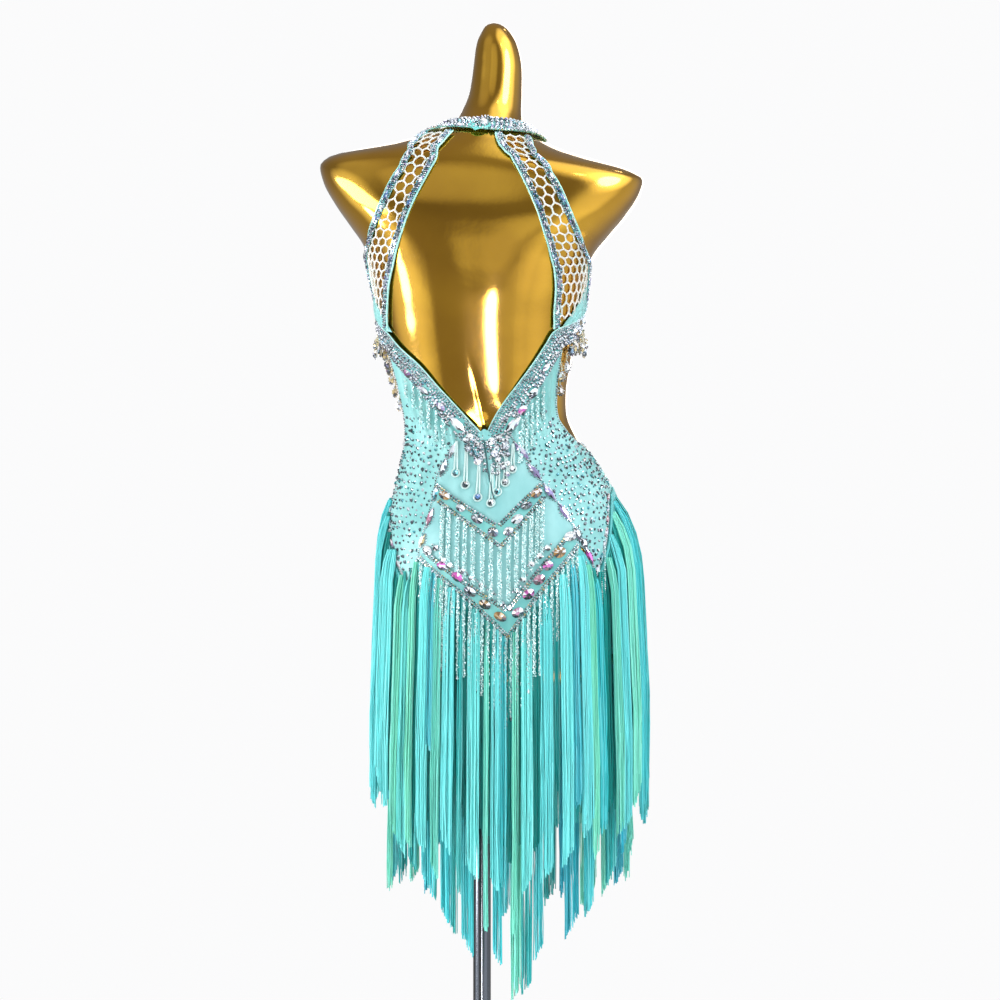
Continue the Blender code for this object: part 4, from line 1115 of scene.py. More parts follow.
class GeometryTree(NodeBook):
    """A Geometry Nodes tree with named inputs, run once on a piece."""

    def __init__(self, name: str, **kinds: str) -> None:
        """Start the tree.

        Args:
            name: Its name.
            kinds: The kind of each named input, after the geometry.
        """
        super().__init__(bpy.data.node_groups.new(name, "GeometryNodeTree"))
        for key, kind in (("geometry", "Geometry"), *kinds.items()):
            self.tree.interface.new_socket(key.title(), in_out="INPUT", socket_type=f"NodeSocket{kind}")
        self.tree.interface.new_socket("Geometry", in_out="OUTPUT", socket_type="NodeSocketGeometry")
        self.entry = self.add("NodeGroupInput", output="Geometry")

    def named(self, name: str, kind: str = "FLOAT") -> Term:
        """A named attribute of the geometry."""
        return self.add("GeometryNodeInputNamedAttribute", {"Name": name}, data_type=kind, output="Attribute")

    def vector(self, name: str) -> Term:
        """A named vector of the geometry."""
        return self.named(name, "FLOAT_VECTOR")

    def chance(self, low: Value, high: Value, seed: Value, kind: str = "FLOAT") -> Term:
        """A random value for each element."""
        return self.add("FunctionNodeRandomValue", {"Min": low, "Max": high, "Seed": seed}, data_type=kind,
                        output="Value")

    def per_strand(self, low: float, seed: Value) -> Term:
        """A random value up to 1 that is the same all along a strand."""
        return self.add("GeometryNodeFieldOnDomain", {"Value": self.chance(low, 1.0, seed)}, domain="CURVE")

    def scaled(self, vector: Term, scale: Value) -> Term:
        """A vector times a number."""
        return self.add("ShaderNodeVectorMath", {"Vector": vector, "Scale": scale}, operation="SCALE")

    def model(self, name: str) -> Term:
        """The mesh of the object given as an input."""
        return self.add("GeometryNodeObjectInfo", {"Object": self.entry.output(name)}, output="Geometry")

    def tube(self, line: Term, width: Term, sides: Value) -> Term:
        """A smooth round cord along curves.

        Args:
            line: The curves.
            width: The cord's diameter.
            sides: How many sides it has.

        Returns:
            The cord's mesh.
        """
        ring = self.add("GeometryNodeCurvePrimitiveCircle", {"Resolution": sides, "Radius": width * 0.5},
                        output="Curve")
        tube = self.add("GeometryNodeCurveToMesh", {"Curve": line, "Profile Curve": ring, "Fill Caps": True})
        return self.add("GeometryNodeSetShadeSmooth", {"Geometry": tube, "Shade Smooth": True})

    def store(self, geometry: Term, name: str, value: Value, domain: str = "FACE") -> Term:
        """Keep a value as a named attribute."""
        stored = {"Geometry": geometry, "Name": name, "Value": value}
        return self.add("GeometryNodeStoreNamedAttribute", stored, data_type="FLOAT", domain=domain)

    def glinting(self, instances: Term, seed: Value) -> Term:
        """The instances made real, with a random value on each face that the finishes turn into painted
        highlights and painted shade.
        """
        real = self.add("GeometryNodeRealizeInstances", {"Geometry": instances})
        return self.store(real, "glint", self.chance(0.0, 1.0, seed))

    def close(self, geometry: Term) -> "GeometryTree":
        """Finish with realized instances and the material.

        Args:
            geometry: What the tree has made.

        Returns:
            The tree itself.
        """
        real = self.add("GeometryNodeRealizeInstances", {"Geometry": geometry})
        dressed = self.add("GeometryNodeSetMaterial",
                           {"Geometry": real, "Material": self.entry.output("Finish")})
        self.add("NodeGroupOutput", {"Geometry": dressed})
        return self

    def run(self, name: str, mesh: bpy.types.Mesh, **values: object) -> bpy.types.Object:
        """Run the tree on a mesh.

        Args:
            name: The new piece's name.
            mesh: What the tree works on.
            values: The named inputs.

        Returns:
            A plain mesh object with the result.
        """
        source = bpy.data.objects.new(f"{name}_source", mesh)
        bpy.context.collection.objects.link(source)
        modifier = source.modifiers.new("made", "NODES")
        modifier.node_group = self.tree
        sockets = {item.name: item.identifier for item in self.tree.interface.items_tree
                   if item.item_type == "SOCKET" and item.in_out == "INPUT"}
        for key, value in values.items():
            modifier[sockets[key.title()]] = value
        seen = source.evaluated_get(bpy.context.evaluated_depsgraph_get())
        made = bpy.data.meshes.new_from_object(seen)
        bpy.data.objects.remove(source, do_unlink=True)
        made.name = name
        piece = bpy.data.objects.new(name, made)
        bpy.context.collection.objects.link(piece)
        return piece


@functools.cache
def stone_tree() -> GeometryTree:
    """The tree that sets one stone on each point, facing out, turned along, at its own size.

    Returns:
        The tree.
    """
    tree = GeometryTree("set_stones", stone="Object", finish="Material", seed="Int")
    turn = tree.add("FunctionNodeAxesToRotation", {"Primary Axis": tree.vector("facing"),
                                                   "Secondary Axis": tree.vector("running")},
                    primary_axis="Z", secondary_axis="X")
    points = tree.add("GeometryNodeMeshToPoints", {"Mesh": tree.entry})
    stones = tree.add("GeometryNodeInstanceOnPoints", {"Points": points, "Instance": tree.model("Stone"),
                                                       "Rotation": turn, "Scale": tree.vector("size")})
    return tree.close(tree.glinting(stones, tree.entry.output("Seed")))


@functools.cache
def bead_tree() -> GeometryTree:
    """The tree that strings beads along lines at a spacing, each turned at random.

    Returns:
        The tree.
    """
    tree = GeometryTree("string_beads", bead="Object", finish="Material", spacing="Float", size="Float",
                        sway="Float", seed="Int")
    given = tree.entry.output
    line = tree.add("GeometryNodeMeshToCurve", {"Mesh": tree.entry})
    points = tree.add("GeometryNodeCurveToPoints", {"Curve": line, "Length": given("Spacing")}, mode="LENGTH",
                      output="Points")
    seed = given("Seed")
    turn = tree.chance((0.0, 0.0, 0.0), (6.28, 6.28, 6.28), seed, "FLOAT_VECTOR")
    beads = tree.add("GeometryNodeInstanceOnPoints", {
        "Points": points, "Instance": tree.model("Bead"),
        "Scale": tree.chance(0.82, 1.18, seed + 1) * given("Size"),
        "Rotation": tree.add("FunctionNodeEulerToRotation", {"Euler": turn})})
    drift = tree.chance((-1.0, -1.0, 0.0), (1.0, 1.0, 0.0), seed + 2, "FLOAT_VECTOR")
    moved = tree.add("GeometryNodeTranslateInstances", {
        "Instances": beads, "Local Space": False, "Translation": tree.scaled(drift, given("Sway"))})
    return tree.close(tree.glinting(moved, seed + 3))


@functools.cache
def cord_tree() -> GeometryTree:
    """The tree that runs a round cord along every edge of a mesh.

    Returns:
        The tree.
    """
    tree = GeometryTree("run_cord", finish="Material", width="Float", sides="Int")
    line = tree.add("GeometryNodeMeshToCurve", {"Mesh": tree.entry})
    return tree.close(tree.tube(line, tree.entry.output("Width"), tree.entry.output("Sides")))


@functools.cache
def hank_tree() -> GeometryTree:
    """The tree that fans each line out into a hank of strands with ragged ends.

    Returns:
        The tree.
    """
    tree = GeometryTree("fan_hanks", finish="Material", thickness="Float", ragged="Float", wave="Float",
                        seed="Int")
    given, seed = tree.entry.output, tree.entry.output("Seed")
    line = tree.add("GeometryNodeMeshToCurve", {"Mesh": tree.entry})
    fan = tree.add("GeometryNodeDuplicateElements", {"Geometry": line, "Amount": tree.named("strands")},
                   domain="SPLINE", output="Geometry")
    aside, depth, tone = (tree.per_strand(low, seed + k) for k, low in enumerate((-1.0, -1.0, 0.0)))
    offset = tree.scaled(tree.vector("across"), aside)
    place = tree.add("ShaderNodeVectorMath", [tree.add("GeometryNodeInputPosition"), (9.0, 9.0, 7.0)],
                     operation="MULTIPLY")
    drift = tree.add("ShaderNodeTexNoise", {"Vector": place, "W": tone * 60, "Scale": 1.0, "Detail": 1.0},
                     noise_dimensions="4D", output="Color")
    level = tree.add("ShaderNodeVectorMath", [drift, (0.5, 0.5, 0.5)], operation="SUBTRACT")
    for push in (tree.scaled(tree.vector("deep"), depth * (1 - aside * aside)**0.5),
                 tree.scaled(level, given("Wave") * tree.named("free"))):
        offset = tree.add("ShaderNodeVectorMath", [offset, push], operation="ADD")
    spread = tree.add("GeometryNodeSetPosition", {"Geometry": fan, "Offset": offset})
    slant = tree.named("slant")
    stepped = (aside * 3.0 + tree.chance(0.0, 1.0, seed + 5) * 0.4).alone("FLOOR") * 0.34
    lean = (slant.alone("ABSOLUTE") - slant * stepped) * 0.5
    end = 1 - tree.chance(0.0, 1.0, seed + 3)**3 * given("Ragged") - lean
    trimmed = tree.add("GeometryNodeTrimCurve", {"Curve": spread, "Start": 0.0, "End": end}, mode="FACTOR")
    kept = tree.store(trimmed, "tone", tree.per_strand(0.0, seed + 4), "CURVE")
    return tree.close(tree.tube(kept, given("Thickness"), 3))


def mixed(rng: np.random.Generator, count: int, mix: Mix) -> np.ndarray:
    """A random mix of stone colours by share, each a little lighter or darker.

    Args:
        rng: The piece's random numbers.
        count: How many stones there are.
        mix: The share of each colour.

    Returns:
        One colour for each stone.
    """
    palette = np.array([tint.value for tint, _ in mix])
    weight = np.array([share for _, share in mix])
    pick = rng.choice(len(mix), count, p=weight / weight.sum())
    return palette[pick] * rng.uniform(0.75, 1.15, (count, 1))


@dataclass
class Setting:
    """Stones of one cut, gathered and then set at once."""
    cut: Cut
    seed: int = 1
    rows: list[np.ndarray] = field(default_factory=list)

    def add(self, position: np.ndarray, facing: np.ndarray, running: np.ndarray,
            size: Union[tuple, np.ndarray], tint: Union[Tint, np.ndarray]) -> None:
        """Add stones.

        Args:
            position: Where each stone's foot is.
            facing: Which way it faces.
            running: Which way its length lies.
            size: Length, width and height.
            tint: One colour, or one row for each stone.
        """
        position = np.atleast_2d(position)
        count = len(position)
        colour = np.array(tint.value if isinstance(tint, Tint) else tint, float)
        half = np.broadcast_to(np.array(size, float) * (0.5, 0.5, 1.0), (count, 3))
        self.rows.append(np.hstack([position, np.broadcast_to(facing, (count, 3)),
                                    np.broadcast_to(running, (count, 3)), half,
                                    np.broadcast_to(colour, (count, 3))]))

    def strew(self, spots: Spots, rng: np.random.Generator, size: tuple, mix: Mix,
              spread: Optional[tuple[float, float]] = None) -> None:
        """Add stones of mixed colours.

        Args:
            spots: Position, outward direction and running direction of each.
            rng: The piece's random numbers.
            size: Length, width and height.
            mix: The share of each colour.
            spread: The smallest and largest factor on the size, if it varies.
        """
        count = len(np.atleast_2d(spots[0]))
        scale = rng.uniform(*spread, (count, 1)) * size if spread else size
        self.add(*spots, scale, mixed(rng, count, mix))

    def on_body(self, angle: float, height: float, out: float, turn: float, size: tuple, tint: Tint) -> None:
        """Add one stone at a place on the body.

        Args:
            angle: Degrees round the body.
            height: Millimetres above the floor.
            out: How far its foot is from the body.
            turn: How far it is turned from level, in degrees.
            size: Length, width and height.
            tint: Its colour.
        """
        level, rising, facing = BODY.directions(angle, height)
        lie = math.radians(turn)
        self.add(BODY.off(angle, height, out), facing, level * math.cos(lie) + rising * math.sin(lie), size,
                 tint)

    def make(self, name: str, slot: str = "crystal", finish: Finish = CRYSTAL) -> bpy.types.Object:
        """Set the stones.

        Args:
            name: The piece's name.
            slot: The name of its material slot.
            finish: The finish of the whole piece.

        Returns:
            The finished piece.
        """
        table = np.vstack(self.rows)
        mesh = bpy.data.meshes.new(name)
        mesh.from_pydata((table[:, :3] * MM).tolist(), [], [])
        for k, (key, scale) in enumerate((("facing", 1.0), ("running", 1.0), ("size", MM), ("tint", 1.0))):
            layer = mesh.attributes.new(key, "FLOAT_VECTOR", "POINT")
            numbers = table[:, 3 * k + 3:3 * k + 6] * scale
            layer.data.foreach_set("vector", numbers.astype(np.float32).ravel())
        template = bpy.data.objects.new(f"{name}_template", self.cut.mesh())
        bpy.context.collection.objects.link(template)
        piece = stone_tree().run(name, mesh, stone=template, finish=finish.material(), seed=self.seed)
        bpy.data.objects.remove(template, do_unlink=True)
        return show(piece, slot)


def string_beads(name: str, lines: Sequence[np.ndarray], spacing: float, size: float, sway: float, tint: Tint,
                 seed: int) -> bpy.types.Object:
    """Strings of small faceted beads along lines.

    Args:
        name: The piece's name.
        lines: The points of each string in millimetres.
        spacing: From bead to bead.
        size: A bead's diameter.
        sway: How far a bead may sit off the line.
        tint: The beads' colour.
        seed: The beads' random seed.

    Returns:
        The finished piece.
    """
    mesh = line_mesh(name, lines)
    template = bpy.data.meshes.new(f"{name}_bead")
    gold = (1 + 5**0.5) / 2
    corners = [(0, 1, gold), (0, -1, gold), (0, 1, -gold), (0, -1, -gold), (1, gold, 0), (-1, gold, 0),
               (1, -gold, 0), (-1, -gold, 0), (gold, 0, 1), (-gold, 0, 1), (gold, 0, -1), (-gold, 0, -1)]
    faces = [(0, 1, 8), (0, 8, 4), (0, 4, 5), (0, 5, 9), (0, 9, 1), (1, 6, 8), (8, 6, 10), (8, 10, 4),
             (4, 10, 2), (4, 2, 5), (5, 2, 11), (5, 11, 9), (9, 11, 7), (9, 7, 1), (1, 7, 6), (3, 6, 7),
             (3, 10, 6), (3, 2, 10), (3, 11, 2), (3, 7, 11)]
    template.from_pydata((np.array(corners) / math.hypot(1, gold)).tolist(), [], faces)
    bead = bpy.data.objects.new(f"{name}_template", template)
    bpy.context.collection.objects.link(bead)
    piece = bead_tree().run(name, mesh, bead=bead, finish=BEAD.material(), spacing=spacing * MM,
                            size=size * MM / 2, sway=sway * MM, seed=seed)
    bpy.data.objects.remove(bead, do_unlink=True)
    layer = piece.data.attributes.new("tint", "FLOAT_VECTOR", "POINT")
    layer.data.foreach_set("vector", np.tile(np.float32(tint.value), len(piece.data.vertices)))
    return show(piece, "crystal")


def line_mesh(name: str, lines: Sequence[np.ndarray]) -> bpy.types.Mesh:
    """A mesh of open lines through points in millimetres.

    Args:
        name: The piece's name.
        lines: The points of each line.

    Returns:
        The mesh.
    """
    mesh = bpy.data.meshes.new(name)
    edges, start = [], 0
    for line in lines:
        edges += [(start + k, start + k + 1) for k in range(len(line) - 1)]
        start += len(line)
    mesh.from_pydata((np.vstack(lines) * MM).tolist(), edges, [])
    return mesh


def run_cord(name: str, lines: Sequence[np.ndarray], width: float, finish: Finish, slot: str,
             sides: int = 8) -> bpy.types.Object:
    """Round cords of a width along lines in millimetres."""
    return show(cord_tree().run(name, line_mesh(name, lines), finish=finish.material(), width=width * MM,
                                sides=sides), slot)


# ---------------------------------------------------------------- form and stand

@dataclass
class DressForm:
    """The smooth limbless torso."""
    sides: int = 118
    step: float = 4.6
    blade: float = 3.0

    def build(self) -> None:
        """Loft the torso finely through its level rings, with the shoulder blades."""
        levels = np.concatenate([[702.0, 702.6, 703.4], np.arange(705.0, 1556.0, self.step),
                                 [1558.0, 1561.0, 1563.5, 1565.4, 1566.3]])
        angles = np.concatenate([np.arange(-24.0, 24.0, 0.9),
                                 np.linspace(24.0, 336.0, self.sides, endpoint=False)])
        grid_angle, grid_height = np.meshgrid(angles, levels)
        points = BODY.point(grid_angle, grid_height, 1.0)
        turn = (grid_angle + 180.0) % 360.0 - 180.0
        points[..., 1] -= self.blade * np.exp(-((np.abs(turn) - 40.0) / 15.0)**2
                                              - ((grid_height - 1290.0) / 60.0)**2)
        x, z = points[..., 0], points[..., 2]
        filled = 8.2 * np.exp(-(turn / BODY.spine_spread)**2
                              - ((z - BODY.spine_height) / BODY.spine_reach)**4)
        filled /= 1.0 + np.exp(np.clip((1046.0 - z) / 7.0, -30, 30))
        hollow = 7.5 * np.exp(-((z - 1005.0) / 40.0)**2) * np.exp(-(x / 40.0)**4)
        crease = -6.0 + (1111.0 - z) * 0.227
        furrow = 0.7 * np.exp(-((x - crease) / 4.0)**2) / (1.0 + np.exp(np.clip((z - 1104.0) / 9.0, -30, 30)))
        points[..., 1] += (hollow + furrow * (z > 960.0) - filled) * (points[..., 1] < 0)
        torso = finished_object("torso", points.reshape(-1, 3), loft_faces(len(levels), len(angles)), GOLD,
                                sharp=70.0)
        show(torso, "gold_form", "form_torso")


@dataclass
class Stand:
    """The round base, the pole and the collar under the form."""
    base_radius: float = 180.0
    base_height: float = 12.0
    boss_radius: float = 24.0
    boss_height: float = 34.0
    pole_radius: float = 11.5
    pole_top: float = 655.4
    collar_bottom: float = 655.7
    collar_top: float = 701.7

    def build(self) -> None:
        """Turn the three parts with their small rounded edges."""
        rim, boss = self.base_radius, self.boss_radius
        show(turned("base", [(rim - 1.2, 0.0), (rim, 1.2), (rim, self.base_height - 4.0),
                             (rim - 0.9, self.base_height - 1.6), (rim - 2.4, self.base_height - 0.3),
                             (rim - 4.2, self.base_height), (boss + 1.2, self.base_height),
                             (boss, self.base_height + 1.2), (boss, self.boss_height - 2.2),
                             (boss - 0.7, self.boss_height - 0.7), (boss - 2.2, self.boss_height)], CHROME,
                             160),
             "chrome", "stand_base")
        show(turned("pole", [(self.pole_radius, self.boss_height + 0.3), (self.pole_radius, self.pole_top)],
                    CHROME, 64), "chrome", "stand_pole")
        show(turned("collar", [(17.2, self.collar_bottom), (18.0, self.collar_bottom + 0.8),
                               (18.0, self.collar_top - 12.0), (19.2, self.collar_top - 10.6),
                               (25.0, self.collar_top - 8.6), (26.0, self.collar_top - 7.4),
                               (26.0, self.collar_top)], CHROME), "chrome", "stand_collar")


# ---------------------------------------------------------------- the halter

def ribbon_cut(length: float, low: float, high: float, step: float = 5.0) -> list[tuple[float, float]]:
    """The outline of a straight strip of cloth.

    Args:
        length: The strip's length.
        low: Its lower edge.
        high: Its upper edge.
        step: The spacing of its points.

    Returns:
        The outline's points.
    """
    count = max(2, round(length / step))
    along = np.linspace(0, length, count + 1)
    return [(x, low) for x in along] + [(x, high) for x in along[::-1]]


@dataclass
class Neckband:
    """The stand-up crystal collar with its tab and button at the nape."""
    width: float = 21.0
    middle: float = 1412.5
    rise: float = 10.0
    side_lift: float = 5.0
    layer: float = 3.6
    thick: float = 1.2
    opening: float = 8.0
    tab_width: float = 30.0
    tab_length: float = 15.0

    def line(self, angle: np.ndarray) -> np.ndarray:
        """Height of the band's middle."""
        turn = np.radians(angle)
        return self.middle + self.rise * np.cos(turn) + self.side_lift * np.sin(turn)**2

    def build(self) -> None:
        """Build the band, its stones and its closing."""
        stops = np.linspace(self.opening + 0.5, self.opening + 359.5, 41)
        path = Path([(a, self.line(a)) for a in stops], 3.1)
        half = self.width / 2
        band = cloth_shell("neckband_cloth", ribbon_cut(path.length, -half, half, 4.0), 5.0, path.beside,
                           self.layer, self.thick, BAND_CLOTH)
        show(band, "bead_band", "neckband")
        rng = np.random.default_rng(11)
        top = self.layer + self.thick
        stones = Setting(Cut.CHATON, 3)
        for aside, size, lift in ((-9.6, 3.6, 0.2), (-6.2, 5.0, 0.0), (-1.4, 5.8, 0.2), (3.6, 6.2, 0.6),
                                  (8.2, 6.0, 0.8)):
            along = np.arange(3.0, path.length - 3.0, size + 0.35)
            along = along + rng.uniform(-0.5, 0.5, len(along))
            stones.strew(path.frame_at(along, aside + rng.uniform(-0.6, 0.6, len(along)), top + lift), rng,
                         (size, size, 2.6), NECK_MIX, (0.8, 1.12))
        place, facing, running = path.frame_at(np.arange(4.0, path.length - 4.0, 6.4), 10.2, top - 0.8)
        stones.strew((place, facing * 0.6 + (0, 0, 0.8), running), rng, (5.0, 4.6, 2.4), NECK_MIX, (0.8, 1.2))
        stones.make("neckband_stones")
        line = path.frame_at(np.linspace(0.5, path.length - 0.5, 130), 0.9 - half, top + 0.5)[0]
        run_cord("neckband_piping", [line], 1.3, PIPING, "aqua_cloth")
        self.closing()

    def closing(self) -> None:
        """The pointed tab, the button and the stones round it."""
        half, long = self.tab_width / 2, self.tab_length
        centre = Place(-2.0, float(self.line(-2.0)))
        shape = [(-half, 4.0), (half, 4.0), (half, -long * 0.35), (0.0, -long), (-half, -long * 0.35)]
        outline = [(a[0] + (b[0] - a[0]) * t, a[1] + (b[1] - a[1]) * t)
                   for a, b in zip(shape, shape[1:] + shape[:1]) for t in np.linspace(0, 1, 7)[:-1]]
        tab = cloth_shell("nape_tab_cloth", outline, 2.2, lambda x, y: BODY.walk(*centre, x, y), 5.3, 1.2,
                          Jersey("tab_satin", (0.20, 0.72, 0.66), (0.10, 0.52, 0.50)),
                          lambda a, h: 0.6 * np.sin(a * 0.55) * np.clip((centre.height + 4 - h) / 12, 0, 1))
        show(tab, "aqua_cloth", "nape_tab")
        hub = Place(1.0, float(self.line(1.0)))
        button, ring = Setting(Cut.CHATON, 5), Setting(Cut.ROUND, 6)
        button.on_body(hub.angle, hub.height + 0.5, 6.6, 0.0, (11.5, 11.5, 4.0), Tint.CLEAR)
        show(button.make("nape_button_stone"), "crystal", "nape_button")
        rng = np.random.default_rng(12)
        level, rising, facing = BODY.directions(*hub)
        inner, lower = round_turns(12), np.linspace(0.2, math.pi, 9)
        for radius, turns, size in ((7.4, inner, 3.0), (10.6, lower, 4.0)):
            spots = BODY.off(*hub, 6.4) + level * (np.cos(turns) * radius)[:, None]
            spots = spots + rising * (np.sin(turns) * radius)[:, None]
            ring.strew((spots, facing, level), rng, (size, size, 2.2), NECK_MIX)
        ring.make("nape_button_ring")


@dataclass
class BackStrap:
    """One honeycomb strap between its stoned opening edge and its stoned armhole edge."""
    side: int
    label: str
    band: float = 9.0
    pitch: float = 12.4
    row: float = 13.2
    net_layer: float = 1.9
    band_layer: float = 3.3
    thick: float = 1.2
    cord: float = 2.4

    def __post_init__(self) -> None:
        """Measure the flat pattern of the strap."""
        columns = list(zip(*STRAP))
        knots = np.arange(len(STRAP), dtype=float)
        self.share = np.linspace(0, len(STRAP) - 1, 161)
        self.edges = [smooth_curve(knots, column, self.share) for column in columns]
        mid = [smooth_curve(knots, (np.array(columns[i]) + np.array(columns[i + 2])) / 2, self.share)
               for i in (0, 1)]
        points = BODY.off(*self.worn(*mid), 1.1)
        self.run = np.concatenate([[0], np.cumsum(np.linalg.norm(np.diff(points, axis=0), axis=1))])
        self.length = float(self.run[-1])
        across = [BODY.off(*self.worn(*self.between(self.share, t)), 1.1) for t in np.linspace(0, 1, 7)]
        self.width = sum(np.linalg.norm(b - a, axis=1) for a, b in zip(across, across[1:]))
        self.hidden = float(np.interp(1.0, self.share, self.run))

    def worn(self, angle: np.ndarray, height: np.ndarray) -> tuple[np.ndarray, np.ndarray]:
        """Places of the pattern on the form, for this side."""
        return self.side * np.asarray(angle) + strap_set(angle, height), np.asarray(height)

    def between(self, share: np.ndarray, t: Union[float, np.ndarray]) -> tuple[np.ndarray, np.ndarray]:
        """Angle and height a share of the way from the opening edge to the armhole edge."""
        inner_a, inner_h, outer_a, outer_h = (np.interp(share, self.share, edge) for edge in self.edges)
        return inner_a + (outer_a - inner_a) * t, inner_h + (outer_h - inner_h) * t

    def place(self, across: np.ndarray, down: np.ndarray) -> tuple[np.ndarray, np.ndarray]:
        """The place on the form of a point of the flat pattern."""
        share = np.interp(down, self.run, self.share)
        return self.worn(*self.between(share, np.asarray(across) / self.wide(down)))

    def wide(self, down: Reals) -> Reals:
        """Width of the pattern at a distance down it."""
        return np.interp(down, self.run, self.width)

    def frames(self, across: np.ndarray, down: np.ndarray,
               out: float) -> tuple[np.ndarray, np.ndarray, np.ndarray]:
        """Position, outward direction and downward direction at points of the pattern.

        Args:
            across: How far from the opening edge.
            down: How far down the strap.
            out: How far out from the body.

        Returns:
            The position and the two directions.
        """
        place = self.place(across, down)
        lower = BODY.point(*self.place(across, np.asarray(down) + 1.5))
        running = lower - BODY.point(*self.place(across, np.asarray(down) - 1.5))
        running = running / np.linalg.norm(running, axis=1, keepdims=True)
        return BODY.off(*place, out), BODY.directions(*place)[2], running

    def build(self) -> None:
        """Build the net, the two bands, the piping and the stones."""
        self.build_net()
        self.build_foot()
        for name, start in (("opening", lambda y: 0.0 * y), ("armhole", lambda y: self.wide(y) - self.band)):
            down = np.linspace(self.hidden, self.length, 61)
            outline = [*zip(start(down), down), *zip(start(down)[::-1] + self.band, down[::-1])]
            cloth = cloth_shell(f"{name}_band_{self.label}_cloth", outline, 3.0, self.place, self.band_layer,
                                self.thick, BAND_CLOTH)
            show(cloth, "bead_band", f"{name}_band_{self.label}")
            self.set_band(name, start)
        down = np.linspace(self.hidden, self.length, 90)
        for name, across, rise, wide in (("opening", 0.9, self.thick * 0.6, 2.6),
                                         ("armhole", self.wide(down) - 0.5, 0.6, 1.8)):
            line = BODY.off(*self.place(across, down), self.band_layer + rise)
            run_cord(f"{name}_piping_{self.label}", [line], wide, PIPING, "aqua_cloth")

    def build_foot(self) -> None:
        """The pleated cloth between the net's foot and the V."""
        corners = [(self.side * a, h) for a, h in (
            (55, 1159), (60, 1172), (68, 1188), (78, 1208), (87.5, 1229), (91, 1220), (95, 1206), (98, 1192),
            (97, 1186), (85, 1181), (70, 1169), (58, 1160))]
        folds = [Fold(Place(self.side * a, low), Place(self.side * (a + 22), low + 46), 1.7, 3.4)
                 for a, low in ((57, 1156), (62, 1156), (67, 1160), (72, 1162), (77, 1166), (83, 1170))]
        Panel(f"net_foot_{self.label}", "", corners, (0.140, 0.042), 0.0032, 2.2, JERSEY, "aqua_cloth", folds,
              2.2, 1.0, rests_on=(f"net_{self.label}_cords",)).build()

    def build_net(self) -> None:
        """Honeycomb cords on rows that follow the opening edge."""
        clear = self.band + 8.6 / 2
        corners: dict[tuple[int, int], int] = {}
        places: list[tuple[float, float]] = []
        edges: set[tuple[int, int]] = set()
        row, y = 0, self.hidden + 12.0 * 0.7 - self.row
        while y < self.length + self.row:
            x = clear + (self.pitch / 2 if row % 2 == 1 else 0.0) - self.pitch * 2
            first = y
            while x < self.wide(min(y, self.length)) + self.pitch:
                loop = []
                for u, v in ((0, -2 / 3), (0.5, -1 / 3), (0.5, 1 / 3), (0, 2 / 3), (-0.5, 1 / 3),
                             (-0.5, -1 / 3)):
                    spot = (x + u * self.pitch, first + v * self.row)
                    key = (round(spot[0] / 1.9), round(spot[1] / 1.9))
                    if key not in corners:
                        corners[key] = len(places)
                        places.append(spot)
                    loop.append(corners[key])
                edges |= {tuple(sorted(pair)) for pair in zip(loop, loop[1:] + loop[:1])}
                x += self.pitch
            y += self.row
            row = 1 - row
        table = np.array(places)
        rng = np.random.default_rng(21)
        table += rng.uniform(-0.5, 0.5, table.shape)
        across, down = table.T
        keep = (across > 2.5) & (across < self.wide(down) - 2.0) & (down > 1.0) & (down < self.length)
        lines = []
        for a, b in sorted(edges):
            if keep[a] and keep[b]:
                t = np.linspace(0, 1, 5)[:, None]
                flat = table[a] * (1 - t) + table[b] * t
                lift = self.net_layer + 0.5 * np.sin(t[:, 0] * math.pi)
                lines.append(BODY.off(*self.place(flat[:, 0], flat[:, 1]), lift))
        piece = run_cord(f"net_{self.label}_cords", lines, self.cord, NET, "net_yarn", 6)
        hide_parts(f"net_{self.label}")
        used = np.flatnonzero(keep)
        knots = Setting(Cut.CHATON, 4)
        knots.add(*self.frames(across[used], down[used], self.net_layer - 0.9), (3.9, 3.9, 2.4), Tint.CLEAR)
        knots.make(f"net_{self.label}_knots", "net_yarn", NET)

    def set_band(self, name: str, start: Callable[[Reals], Reals]) -> None:
        """Small stones in four rows on a band, with long stones among them.

        Args:
            name: The band's name.
            start: Where the band's inner edge is, at a distance down.
        """
        rng = np.random.default_rng(31 + self.side + len(name))
        small, long = Setting(Cut.ROUND, 7), Setting(Cut.NAVETTE, 8)
        top = self.band_layer + self.thick
        shift = 3.3 if name == "opening" else 1.4
        spots = np.arange(self.hidden + 22.0, self.length - 14.0, 31.0) + rng.uniform(-6, 6, 1)
        for spot in spots:
            long.strew(self.frames(np.array([start(spot) + 4.9]), np.array([spot]), top), rng,
                       (17.0, 5.2, 2.6), ((Tint.BLUE, 3), (Tint.LILAC, 2), (Tint.SMOKE, 2), (Tint.CLEAR, 1)))
        for k in range(3):
            down = np.arange(self.hidden + 1.0 + 0.4 * k, self.length - 1.0, 2.75)
            down = down + rng.uniform(-0.35, 0.35, len(down))
            across = start(down) + shift + 2.35 * k + rng.uniform(-0.3, 0.3, len(down))
            if k == 1:
                away = np.abs(down[:, None] - spots[None, :]).min(axis=1) > 8.2
                down, across = down[away], across[away]
            small.strew(self.frames(across, down, top), rng, (3.1, 3.1, 1.8), STRAP_MIX, (0.85, 1.35))
        small.make(f"{name}_band_{self.label}_stones")
        long.make(f"{name}_band_{self.label}_navettes")


# ---------------------------------------------------------------- the V

class Stone(NamedTuple):
    """A large stone at a place: its length, width and turn from level, and its colour."""
    angle: float
    height: float
    length: float
    width: float
    turn: float
    tint: Tint


